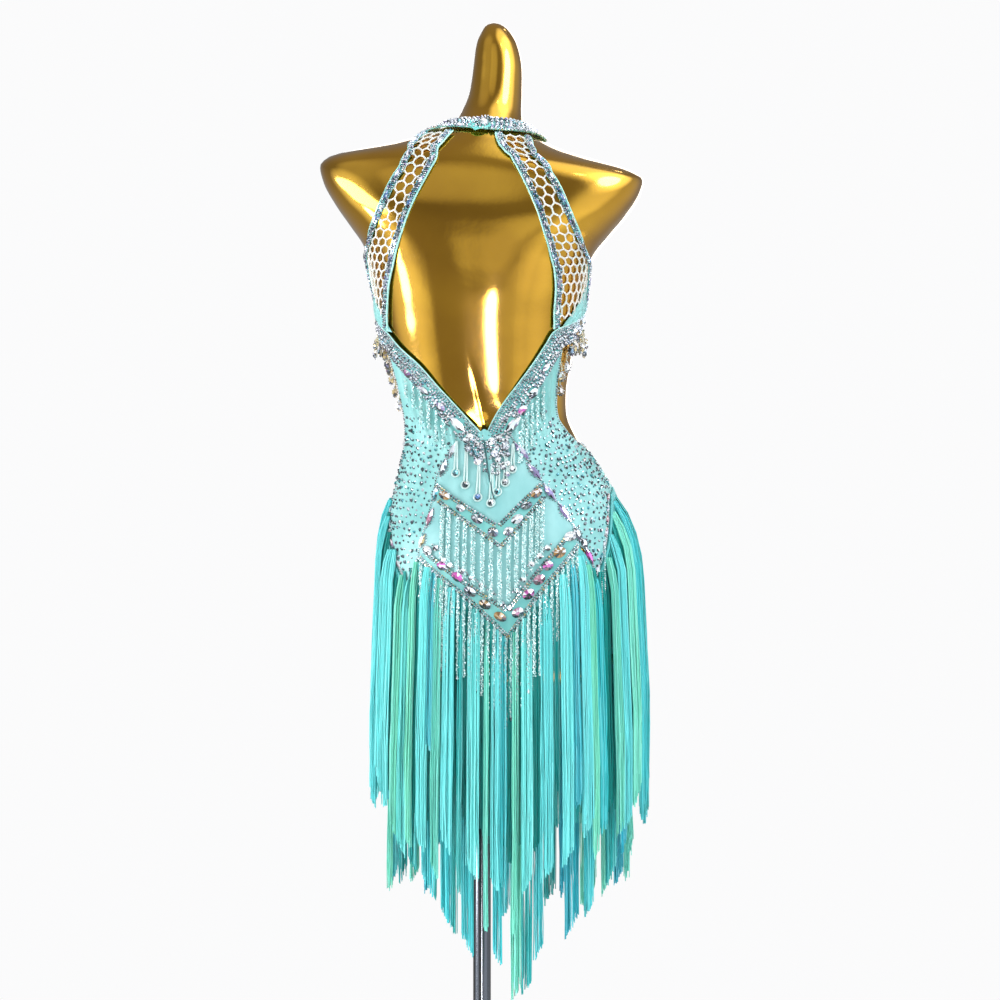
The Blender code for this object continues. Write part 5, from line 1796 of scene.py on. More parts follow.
V_STONES = table_of(
    Stone, (-48.1, 1107, 15, 10.4, -39, Tint.PINK), (-37.3, 1085, 20, 9.4, -41, Tint.CLEAR),
    (-26.6, 1063, 15, 10.7, -46, Tint.LILAC), (-16.8, 1040, 29, 11.5, -49, Tint.CLEAR),
    (37.4, 1078, 16, 10.7, 46, Tint.CLEAR), (29, 1056, 14, 10.5, 40, Tint.PINK),
    (20, 1036, 29, 11.5, 38, Tint.CLEAR), (-9, 1003, 17, 7.4, -66, Tint.TEAL),
    (46, 1112, 16, 8.5, 52, Tint.SMOKE), (-55, 1128, 13, 8, -48, Tint.SMOKE))
V_CLUSTER = ((-9.9, 1023), (-6.3, 1013), (-12.4, 1007), (3.6, 1016), (9.2, 1020), (5.4, 1006), (11.2, 1008),
             (4.2, 991), (10.8, 997), (-7.5, 990), (6.5, 981), (9.4, 986), (3.6, 1000), (-13.0, 1019),
             (8.0, 972))


class Drop(NamedTuple):
    """A hanging string of beads: where it starts, how low it reaches and its end stone."""
    angle: float
    top: float
    bottom: float
    tint: Tint


V_DROPS = table_of(
    Drop, (-19.4, 1018, 984, Tint.AQUA), (-12.9, 1014, 969, Tint.SMOKE), (-6.8, 990, 953, Tint.BLUE),
    (0.6, 986, 946, Tint.CLEAR), (5.4, 996, 960, Tint.AQUA), (17.2, 1014, 989, Tint.CLEAR),
    (11, 1003, 972, Tint.CLEAR))
SIDE_DROPS = table_of(
    Drop, (-47, 1094, 1062, Tint.CLEAR), (-41.5, 1084, 1040, Tint.CLEAR), (-36, 1072, 1034, Tint.CLEAR),
    (-31, 1060, 1018, Tint.CLEAR), (-26.5, 1046, 1010, Tint.CLEAR), (-53.5, 1103, 1075, Tint.AQUA),
    (24, 1026, 990, Tint.CLEAR), (28.5, 1042, 992, Tint.CLEAR), (33, 1052, 1002, Tint.CLEAR),
    (37.5, 1064, 1012, Tint.CLEAR), (42, 1076, 1030, Tint.CLEAR), (47, 1086, 1046, Tint.AQUA))


BUST_DROPS = table_of(
    Drop, (80, 1176, 0, Tint.CHAMPAGNE), (76, 1163, 0, Tint.BRONZE), (86, 1158, 0, Tint.SMOKE),
    (72.5, 1139, 0, Tint.SMOKE), (79, 1142, 0, Tint.CHAMPAGNE), (64, 1106, 0, Tint.CHAMPAGNE),
    (64.5, 1088, 0, Tint.BRONZE), (70, 1118, 0, Tint.CLEAR), (-94, 1136, 0, Tint.CHAMPAGNE),
    (-91, 1117, 0, Tint.BRONZE), (-84, 1124, 0, Tint.SMOKE), (-86, 1088, 0, Tint.CHAMPAGNE),
    (-78, 1070, 0, Tint.CLEAR), (-80, 1104, 0, Tint.CHAMPAGNE), (-98, 1150, 0, Tint.CLEAR))


@dataclass
class VBand:
    """The heavily stoned V that runs from the zip round under each arm to the front."""
    width: float = 24.0
    layer: float = 3.5
    thick: float = 1.2
    mitre: float = 23.0
    seam: float = 0.4

    def path(self, side: int) -> Path:
        """The band's top edge on one side."""
        return Path([(side * p.angle + float(strap_set(p.angle, p.height)), p.height) for p in V_EDGE])

    def build(self) -> None:
        """Build both halves and their stones."""
        for side, label in ((-1, "left"), (1, "right")):
            self.build_half(side, label)
        big, oval = Setting(Cut.NAVETTE, 41), Setting(Cut.OVAL, 42)
        top = self.layer + self.thick
        for stone in V_STONES:
            held = big if stone.length > 1.6 * stone.width else oval
            held.on_body(stone.angle, stone.height, top, stone.turn, (stone.length, stone.width, 4.2),
                         stone.tint)
        rng = np.random.default_rng(45)
        for k, (angle, height) in enumerate(V_CLUSTER):
            size = 7.6 + 2.4 * (k % 3 == 0)
            oval.on_body(angle, height, top + 0.4, 20.0 * k, (size, size * 0.94, 4.2),
                         Tint.SILVER if k % 4 == 2 else Tint.CLEAR)
        seeds = Setting(Cut.CHATON, 48)
        angle, height = rng.uniform(-15.0, 14.0, 420), rng.uniform(972.0, 1024.0, 420)
        kept = (np.abs(angle) < 15.5 * np.clip((height - 962.0) / 52.0, 0, 1)) & (np.abs(angle + 1.6) > 1.5)
        angle, height = angle[kept], height[kept]
        level, _, facing = BODY.directions(angle, height)
        seeds.strew((BODY.off(angle, height, top - 0.6), facing, level), rng, (1.0, 1.0, 0.6), V_MIX,
                    (2.6, 4.8))
        seeds.make("v_cluster_seed_stones")
        big.make("v_long_stones")
        oval.make("v_round_stones")
        self.build_drops()

    def build_half(self, side: int, label: str) -> None:
        """One half of the band, cut at a slant at the zip.

        Args:
            side: -1 for the left and 1 for the right.
            label: The side's name.
        """
        path = self.path(side)
        apex = float(np.interp(0.0, side * path.angle, path.run))
        start = apex + 3.0
        end = path.length - 0.3
        count = round((end - start) / 5.0)
        near, far = -side * self.seam, -side * self.width
        outline = [(x, near) for x in np.linspace(start, end, count)]
        outline += [(x, far) for x in np.linspace(start - self.mitre, end, count)[::-1]]
        cloth = cloth_shell(f"v_band_{label}_cloth", outline, 5.0, path.beside, self.layer, self.thick,
                            BAND_CLOTH)
        show(cloth, "bead_band", f"v_band_{label}")
        rng = np.random.default_rng(50 + side)
        top = self.layer + self.thick
        taken = [(s.angle, s.height, (s.length + s.width) * 0.19) for s in V_STONES]
        angle, height, reach = np.array(taken + [(*place, 3.4) for place in V_CLUSTER]).T
        taken = BODY.point(angle, height)
        small, middle, large = (Setting(cut, seed + side) for cut, seed in (
            (Cut.ROUND, 43), (Cut.CHATON, 46), (Cut.OVAL, 49)))
        for k, (aside, size) in enumerate(((1.7, 2.3), (4.0, 2.6), (6.8, 3.1), (10.2, 3.8), (14.2, 4.6),
                                           (18.6, 4.8), (22.6, 4.4), (25.4, 3.2))):
            along = np.arange(start - self.mitre * aside / self.width + 1.2, end, size + 0.15)
            along = along + rng.uniform(-0.3, 0.3, len(along))
            across = aside + rng.uniform(-0.45, 0.45, len(along)) * (1 if k else 0.3)
            spots = path.frame_at(along, -side * across, top)
            apart = np.linalg.norm(spots[0][:, None] - taken[None], axis=2)
            clear = (apart > reach[None] + size * 0.3 + top * 0.4).all(axis=1)
            scale = rng.uniform(0.8, 1.2, (len(along), 1)) * (size, size, size * 0.55)
            (small if size < 3.2 else middle).add(*(spot[clear] for spot in spots), scale[clear],
                                                  mixed(rng, int(clear.sum()), V_MIX))
        along = np.arange(start + 30.0, end - 6.0, 24.0)
        along = along[np.abs(np.interp(along, path.run, side * path.angle)) > 58.0]
        large.strew(path.frame_at(along, -side * 13.5, top), rng, (12.0, 8.5, 4.0),
                    ((Tint.CLEAR, 4), (Tint.PINK, 1), (Tint.LILAC, 1), (Tint.SMOKE, 1)))
        small.make(f"v_band_{label}_small_stones")
        middle.make(f"v_band_{label}_stones")
        large.make(f"v_band_{label}_large_stones")
        line = path.frame_at(np.linspace(start, end, 160), -side * 0.2, self.layer + 0.9)[0]
        run_cord(f"v_piping_{label}", [line], 1.4, PIPING, "aqua_cloth")

    def build_drops(self) -> None:
        """Strings of beads and cord loops with a stone in their ring under the V, and haloed drops on the
        bust, sides and front.
        """
        lines, loops, small = [], [], Setting(Cut.ROUND, 61)
        ends, eyes = Setting(Cut.DROP, 62), Setting(Cut.CHATON, 65)
        rng = np.random.default_rng(60)
        for drop in SIDE_DROPS:
            lines += Chevrons.rope(hang(drop.angle, drop.top, drop.bottom, 5.2, 10), 2, 1.3, 13.0)
        for drop in V_DROPS:
            loop, centre, facing = self.loop(drop)
            loops.append(loop)
            eyes.add(centre, facing, (0.0, 0.0, 1.0), (8.6, 7.6, 3.6), drop.tint)
        eyes.make("v_loop_eyes", finish=DARK_CRYSTAL)
        run_cord("v_cord_loops", loops, 2.3, PEARL_CORD, "crystal", 8)
        string_beads("v_bead_strings", lines, 2.0, 3.2, 0.8, Tint.PEARL, 63)
        bust_lines = []
        for drop in BUST_DROPS:
            bust_lines.append(hang(drop.angle, drop.top + 13.0, drop.top, 6.0, 4))
            turn = math.radians(drop.angle)
            self.haloed(ends, small, bust_lines[-1][-1] - (0, 0, 5.0), drop.tint, rng,
                        np.array([math.sin(turn) * 0.6, -math.cos(turn) - 0.5, 0.0]))
        for side in (-1, 1):
            path = self.path(side)
            apex = float(np.interp(58.0, side * path.angle, path.run))
            for k, along in enumerate(np.arange(apex + 34.0, path.length - 4.0, 17.0)):
                base, facing, _ = path.frame_at(along, -side * 23.5, 4.6)
                long, tint = ((12.0, Tint.CHAMPAGNE), (22.0, Tint.SMOKE), (16.0, Tint.CHAMPAGNE))[k % 3]
                lean = facing * (1.0, 1.0, 0.0)
                bust_lines.append(np.array([base + lean * (2.5 + 2.0 * t) - (0, 0, long * t)
                                            for t in np.linspace(0, 1, 6)]))
                self.haloed(ends, small, bust_lines[-1][-1] - (0, 0, 5.5), tint, rng, facing)
        string_beads("bust_bead_strings", bust_lines, 2.1, 2.7, 0.3, Tint.CHAMPAGNE, 64)
        ends.make("hanging_drops")
        small.make("drop_halos")

    @staticmethod
    def loop(drop: Drop) -> tuple[np.ndarray, np.ndarray, np.ndarray]:
        """A teardrop loop of cord with a ring at its foot.

        Args:
            drop: Where the loop starts, how low it reaches and its stone.

        Returns:
            Its points, the middle of the ring, and the way that it faces.
        """
        long, ring = drop.top - drop.bottom + 7.0, 4.9
        down = np.linspace(0.0, long - ring * 0.9, 12)
        turn = np.radians(np.linspace(-150.0, 150.0, 15))
        across = np.concatenate([-0.9 - 1.2 * down / long, np.sin(turn) * ring,
                                 (0.9 + 1.2 * down / long)[::-1]])
        fall = np.concatenate([down, long + np.cos(turn) * ring, down[::-1]])
        line = hang(drop.angle, drop.top, drop.top - long - ring, 4.4, 12)
        level, _, facing = BODY.directions(drop.angle, drop.bottom)
        spine = np.stack([np.interp(drop.top - fall, line[::-1, 2], line[::-1, k]) for k in (0, 1)], axis=1)
        points = np.column_stack([spine + level[None, :2] * across[:, None], drop.top - fall])
        middle = np.array([*(np.interp(drop.bottom - 7.0, line[::-1, 2], line[::-1, k]) for k in (0, 1)),
                           drop.bottom - 7.0])
        return points, middle, facing * (1.0, 1.0, 0.0)

    @staticmethod
    def haloed(ends: Setting, small: Setting, centre: np.ndarray, tint: Tint, rng: np.random.Generator,
               facing: np.ndarray) -> None:
        """A pear-cut drop inside a ring of small stones.

        Args:
            ends: The drops so far.
            small: The small stones so far.
            centre: The drop's middle.
            tint: The drop's colour.
            rng: The piece's random numbers.
            facing: Which way it faces, more or less.
        """
        facing = facing * (1, 1, 0) / np.hypot(*facing[:2])
        side = np.cross((0, 0, 1), facing)
        ends.add(centre, facing, (0.0, 0.0, 1.0), (12.5, 9.0, 4.4), tint)
        turns = round_turns(11)
        narrow = np.where(np.sin(turns) > 0, 1 - 0.35 * np.sin(turns)**2, 1.0)
        spots = centre + side * (np.cos(turns) * 5.3 * narrow)[:, None]
        spots = spots + np.array([0, 0, 1.0]) * (np.sin(turns) * 6.6)[:, None] + facing * 0.4
        small.strew((spots, facing, side), rng, (2.2, 2.2, 1.6),
                    ((Tint.CHAMPAGNE, 4), (Tint.SMOKE, 2), (Tint.SILVER, 1)))


# ---------------------------------------------------------------- the panels

class Fold(NamedTuple):
    """A soft fold from one place to another: its half-width and its height, less than 0 for a trough."""
    start: Place
    end: Place
    half_width: float
    rise: float


def fold_relief(folds: Sequence[Fold]) -> Callable:
    """The height of folds at angles and heights, fading at their ends.

    Args:
        folds: The folds.

    Returns:
        A function of angles and heights.
    """
    def relief(angle: np.ndarray, height: np.ndarray) -> np.ndarray:
        """Sum of the folds.

        Args:
            angle: Degrees round the body.
            height: Millimetres above the floor.

        Returns:
            The height at each place.
        """
        total = np.zeros(np.shape(angle))
        for fold in folds:
            start = np.array([fold.start.angle * FLAT_PER_DEGREE, fold.start.height])
            along = np.array([fold.end.angle * FLAT_PER_DEGREE, fold.end.height]) - start
            spot = np.stack([np.asarray(angle) * FLAT_PER_DEGREE, height], axis=-1) - start
            t = (spot @ along) / (along @ along)
            aside = (spot[..., 0] * along[1] - spot[..., 1] * along[0]) / math.hypot(*along)
            fade = np.clip(np.sin(np.clip(t, 0, 1) * math.pi), 0, 1)**0.6
            total = total + fold.rise * np.exp(-(aside / fold.half_width)**2) * fade
        return total
    return relief


def wrapped_seam(side: int, drop: float, low: float, high: float,
                 spacing: float = 6.0) -> list[tuple[float, float]]:
    """Places a distance below the V's top edge, from one angle to another.

    Args:
        side: -1 for the left and 1 for the right.
        drop: How far below the edge.
        low: The first angle.
        high: The last angle.
        spacing: The spacing of the places.

    Returns:
        The places.
    """
    path = VBand().path(side)
    path = Path(path.places, 1.1)
    along = np.arange(0, path.length, spacing)
    angle, height = path.beside(along, -side * drop)
    keep = (side * angle >= low) & (side * angle <= high)
    return list(zip(angle[keep].tolist(), height[keep].tolist()))


def side_of(rows: Sequence[SidePair], side: int, shift: float = 0.0) -> list[tuple[float, float]]:
    """The places of a left and right table on one side, moved out by a shift."""
    return [(side * ((row.right if side > 0 else row.left) + shift / FLAT_PER_DEGREE), row.height)
            for row in rows]


def mirrored(line: Places) -> list[tuple[float, float]]:
    """The same line on the other side of the front, run the other way."""
    return [(360 - angle, height) for angle, height in line[::-1]]


@dataclass
class Panel:
    """One cut piece of cloth on the body."""
    name: str
    node: str
    corners: Places
    flat: tuple[float, float]
    area: float
    layer: float = 1.1
    finish: Finish = JERSEY
    slot: str = "aqua_cloth"
    folds: Sequence[Fold] = ()
    grid: float = 5.0
    thick: float = 1.0
    rests_on: Sequence[str] = ("form_torso",)
    carries: Sequence[object] = ()

    def build(self) -> bpy.types.Object:
        """Cut the panel and lay it on the body.

        Returns:
            The finished piece.
        """
        cloth = cloth_shell(self.name, flat_outline(self.corners, self.grid), self.grid, unrolled, self.layer,
                            self.thick, self.finish, fold_relief(self.folds))
        return show(cloth, self.slot, *([self.node] if self.node else []))


SEAM_STONES = table_of(
    Stone, (-22.2, 1008, 24, 6.5, -118, Tint.SILVER), (-28.3, 986, 23, 7.4, -108, Tint.SMOKE),
    (-32.2, 955, 20, 7, -97, Tint.TEAL), (-34.4, 924, 25, 6.3, -107, Tint.ROSE),
    (-37.7, 896, 17, 5.6, -114, Tint.CHAMPAGNE), (20, 1002, 30, 7.8, -69, Tint.LILAC),
    (22.9, 975, 27, 7.6, -67, Tint.LILAC), (28, 947, 26, 7.2, -66, Tint.LILAC),
    (33.6, 921, 26, 7.6, -66, Tint.LILAC), (38.6, 893, 18, 9, -74, Tint.SMOKE),
    (43.7, 864, 25, 7.2, -69, Tint.PINK), (41.6, 881, 13, 8, -64, Tint.SMOKE),
    (-42.5, 856, 24, 5.6, -122, Tint.ROSE))


@dataclass
class BackBodice:
    """Centre back, side backs, zip, and the stones on them."""
    v_drop: float = 5.0
    seam: float = 0.4

    def build(self) -> None:
        """Build the panels, then what is sewn on them."""
        flanks = {side: wrapped_seam(side, self.v_drop, 1.0,
                                     side * side_of(HEX_SEAM, side, -self.seam / 2)[0][0] + 1.0)
                  + side_of(HEX_SEAM, side, -self.seam / 2) for side in (1, -1)}
        low = [(p.angle, p.height + self.seam / 2) for p in CHEVRON_LOWER_LOW[::-1]]
        centre = flanks[1] + low + flanks[-1][::-1]
        folds = [Fold(Place(-13, 1024), Place(-15, 985), 3.2, 1.0),
                 Fold(Place(10, 1020), Place(12, 975), 3.0, 0.9),
                 Fold(Place(-24, 985), Place(-28, 930), 5.0, -0.7),
                 Fold(Place(20, 975), Place(27, 925), 5.0, -0.7)]
        Panel("centre_back_cloth", "centre_back", centre, (0.213, 0.285), 0.0327, finish=PALE_CLOTH,
              folds=folds).build()
        for side, label in ((-1, "left"), (1, "right")):
            self.build_side(side, label)
        self.build_zip()
        self.build_navettes()

    def side_outline(self, side: int) -> list[tuple[float, float]]:
        """The cut of one side back.

        Args:
            side: -1 for the left and 1 for the right.

        Returns:
            Its corners.
        """
        seam = side_of(HEX_SEAM, side, self.seam / 2)
        waist = CUT_OUT_RIGHT if side > 0 else CUT_OUT_LEFT
        top = wrapped_seam(side, self.v_drop, side * seam[0][0] + 1.5, waist[0].angle - 0.5)
        edge = [(side * p.angle, p.height) for p in waist]
        return top + edge + side_of([*HIP_EDGE[::-1], HIP_POINT], side) + seam[::-1]

    def build_side(self, side: int, label: str) -> None:
        """One side back with its gathers under the V and its scattered stones.

        Args:
            side: -1 for the left and 1 for the right.
            label: The side's name.
        """
        gathers = (
            (22.5, 1066, 998, 4.2), (27.5, 1080, 1002, 3.4), (32.0, 1092, 1006, 4.8),
            (37.0, 1102, 1010, 3.8), (42.0, 1114, 1014, 5.0), (47.0, 1124, 1026, 3.6),
            (52.0, 1132, 1030, 4.4), (57.0, 1138, 1044, 3.4))
        folds = [Fold(Place(side * a, top), Place(side * (a - 2.0), low), 2.3, rise * 1.2)
                 for a, top, low, rise in gathers]
        folds.append(Fold(Place(side * 50, 940), Place(side * 36, 1000), 9.0, -0.7))
        outline = self.side_outline(side)
        Panel(f"side_back_{label}_cloth", f"side_back_{label}", outline,
              (0.118, 0.310) if side < 0 else (0.141, 0.309), 0.0232, folds=folds, grid=3.2).build()
        self.scatter(side, label, outline)
        self.border(side, label)

    def scatter(self, side: int, label: str, outline: Places) -> None:
        """Stones in slanted, slightly curved rows over a side back.

        Args:
            side: -1 for the left and 1 for the right.
            label: The side's name.
            outline: The side back's edge.
        """
        rng = np.random.default_rng(70 + side)
        edge = flat_outline(outline, 8.0)
        rows, columns = np.meshgrid(np.arange(-40, 60), np.arange(-40, 60), indexing="ij")
        pitch = 8.6 if side < 0 else 8.0
        u = side * 95.0 + columns * pitch + rows * pitch * 0.45
        v = 940.0 + rows * pitch * 0.92 + 3.2 * np.sin(u / 23.0) + columns * 1.4 * side
        flat = np.stack([u.ravel(), v.ravel()], axis=1) + rng.uniform(-2.4, 2.4, (rows.size, 2))
        low = 1062.0 if side < 0 else 1050.0
        flat = flat[inside_outline(flat, edge, 3.6) & (flat[:, 1] < low + rng.uniform(-25, 10, len(flat)))]
        angle, height = flat[:, 0] / FLAT_PER_DEGREE, flat[:, 1]
        level, rising, facing = BODY.directions(angle, height)
        size = rng.choice([3.3, 4.2, 5.0, 6.0], len(flat), p=[0.25, 0.33, 0.28, 0.14])[:, None]
        stones = Setting(Cut.ROUND, 71 + side)
        lie = np.radians(rng.normal(70.0 * side, 30.0, len(flat)))[:, None]
        stones.add(BODY.off(angle, height, 2.0), facing, level * np.cos(lie) + rising * np.sin(lie),
                   size * (1.1, 0.78, 0.45), mixed(rng, len(flat), BACK_MIX))
        stones.make(f"side_back_{label}_stones", finish=DARK_CRYSTAL)

    def border(self, side: int, label: str) -> None:
        """Long stones along the hip edge and small ones along every edge of a side back.

        Args:
            side: -1 for the left and 1 for the right.
            label: The side's name.
        """
        rng = np.random.default_rng(80 + side)
        long, small = Setting(Cut.NAVETTE, 81 + side), Setting(Cut.ROUND, 83 + side)
        hip = side_of([*HIP_EDGE[-2::-1], HIP_POINT], side)
        path = Path(hip, 2.0)
        for along in np.arange(9.0, path.length - 5.0, 17.5):
            long.strew(path.frame_at(along, -side * 3.6, 2.0), rng, (15.5, 5.2, 2.8),
                       ((Tint.CLEAR, 3), (Tint.ROSE, 1), (Tint.SMOKE, 2), (Tint.TEAL, 1)))
        long.make(f"hip_edge_{label}_navettes")
        waist = CUT_OUT_RIGHT if side > 0 else CUT_OUT_LEFT
        seam = side_of([HIP_POINT, *HEX_SEAM[::-1]], side)
        for line, inner in (([(side * p.angle, p.height) for p in waist[:-1]], 1), (hip, 1), (seam, -1)):
            path = Path(line, 2.0)
            inset = (2.0 if side * (line[-1][1] - line[0][1]) > 0 else -2.0) * inner
            small.strew(path.frame_at(np.arange(1.5, path.length - 1.0, 3.0), inset, 2.0), rng,
                        (2.6, 2.6, 1.6), V_MIX)
        small.make(f"side_back_{label}_edge_stones")

    def build_zip(self) -> None:
        """The closed zip: two folded edges that meet over the dark teeth."""
        top, bottom, half = 1021.5, 944.0, 4.6
        outline = [BODY.walk(middle, height, half * side, 0) for middle, height, side in (
            (-1.2, top, -1), (-1.2, top, 1), (-0.9, bottom, 1), (-0.9, bottom, -1))]
        Panel("zip_placket", "zip_tape", outline, (0.012, 0.077), 0.00088, 3.1, PALE_CLOTH, "bead_band",
              [Fold(Place(-1.3, 1020), Place(-1.2, 941), 1.1, -0.9)], 2.0, 1.1,
              rests_on=("centre_back_cloth",)).build()
        heights = np.linspace(1024.0, 943.0, 30)
        middle = np.interp(heights, [943, 980, 1024], [-0.9, -2.5, -1.2])
        run_cord("zip_teeth_line", [BODY.off(middle, heights, 4.6)], 1.7, ZIP, "bead_band")
        edges = [BODY.off(middle + turn, heights, 4.1) for turn in (-0.95, 0.95)]
        run_cord("zip_folded_edges", edges, 1.5, SatinPiping("placket_edge", (0.20, 0.56, 0.55)), "bead_band")
        tip = [(-4.4, 1025.5), (-0.6, 1031.5), (0.5, 1032.2), (1.6, 1031.5), (5.2, 1025.5), (3.0, 1018.5),
               (-3.4, 1018.5)]
        Panel("zip_top_fold", "", tip, (0.020, 0.014), 0.00017, 5.2, JERSEY, "aqua_cloth",
              [Fold(Place(-1.0, 1034), Place(-1.4, 1018), 0.9, -1.0)], 1.6, 1.0,
              rests_on=("v_band_left_cloth", "v_band_right_cloth")).build()

    def build_navettes(self) -> None:
        """Long stones in silver settings down the two seams of the centre back."""
        long, chain = Setting(Cut.NAVETTE, 91), Setting(Cut.ROUND, 92)
        rng = np.random.default_rng(90)
        for stone in SEAM_STONES:
            length, width = stone.length * 0.98, stone.width * 1.3
            long.on_body(stone.angle, stone.height, 2.6, stone.turn, (length, width, 3.8), stone.tint)
            turns, lie = round_turns(18), math.radians(stone.turn)
            along = np.cos(turns) * (length / 2 + 1.0)
            aside = np.sin(turns) * (1 - 0.62 * np.cos(turns)**2) * (width / 2 + 1.3)
            angle, height = BODY.walk(stone.angle, stone.height,
                                      along * math.cos(lie) - aside * math.sin(lie),
                                      along * math.sin(lie) + aside * math.cos(lie), 1)
            level, _, facing = BODY.directions(angle, height)
            chain.strew((BODY.off(angle, height, 2.2), facing, level), rng, (1.9, 1.9, 1.4),
                        ((Tint.CLEAR, 1), (Tint.SILVER, 2), (Tint.SMOKE, 3)))
        long.make("seam_navettes", finish=FOILED_CRYSTAL)
        chain.make("seam_navette_settings")
        heights = np.linspace(1000.0, 750.0, 36)
        run_cord("side_seam_cords", [BODY.off(np.full(len(heights), side * 90.0), heights, 1.7)
                                     for side in (-1, 1)],
                 3.2, PIPING, "aqua_cloth")


# ---------------------------------------------------------------- the chevrons and the bead strings

CHEVRON_OVALS = table_of(
    Stone, (-26.4, 950, 17, 9.8, -33, Tint.BRONZE), (-17.6, 933, 13, 9.1, -36, Tint.SILVER),
    (-9.4, 918, 17, 10.4, -37, Tint.SMOKE), (-1.9, 901, 14, 11.6, -38, Tint.SMOKE),
    (5.3, 901, 13, 10.4, 36, Tint.SILVER), (9.8, 915, 16, 11.0, 30, Tint.SILVER),
    (15.0, 931, 15, 9.8, 23, Tint.SMOKE), (21.0, 946, 16, 11.0, 34, Tint.BRONZE),
    (-34.2, 883, 15, 10.4, -33, Tint.CLEAR), (-26.6, 863, 13, 10.4, -28, Tint.PINK),
    (-19.1, 849, 15, 11.1, -32, Tint.PINK), (-13.5, 830, 17, 11.1, -36, Tint.SMOKE),
    (-6.9, 813, 16, 11.1, -35, Tint.BRONZE), (0.0, 797, 17, 11.1, -33, Tint.BRONZE),
    (8.2, 801, 16, 11.7, 37, Tint.ROSE), (13.2, 823, 16, 12.3, 37, Tint.PINK),
    (18.2, 840, 16, 11.7, 31, Tint.ROSE), (22.4, 856, 14, 11.1, 24, Tint.PINK),
    (28.2, 871, 17, 12.4, 26, Tint.BRONZE), (34.2, 890, 17, 11.7, 20, Tint.SILVER))
CLEAR_ROW = ((-29.9, 887), (-25.7, 871), (-22.8, 865), (-16.6, 857), (-12.6, 848), (-8.1, 839), (-3.7, 828),
             (0.8, 814), (4.4, 808), (7.8, 830), (11.1, 843), (15.0, 861), (18.8, 870), (22.8, 879))


def rung(line: Places, angle: float) -> float:
    """Height of a line of places at an angle."""
    return float(np.interp(angle, [p[0] for p in line], [p[1] for p in line]))


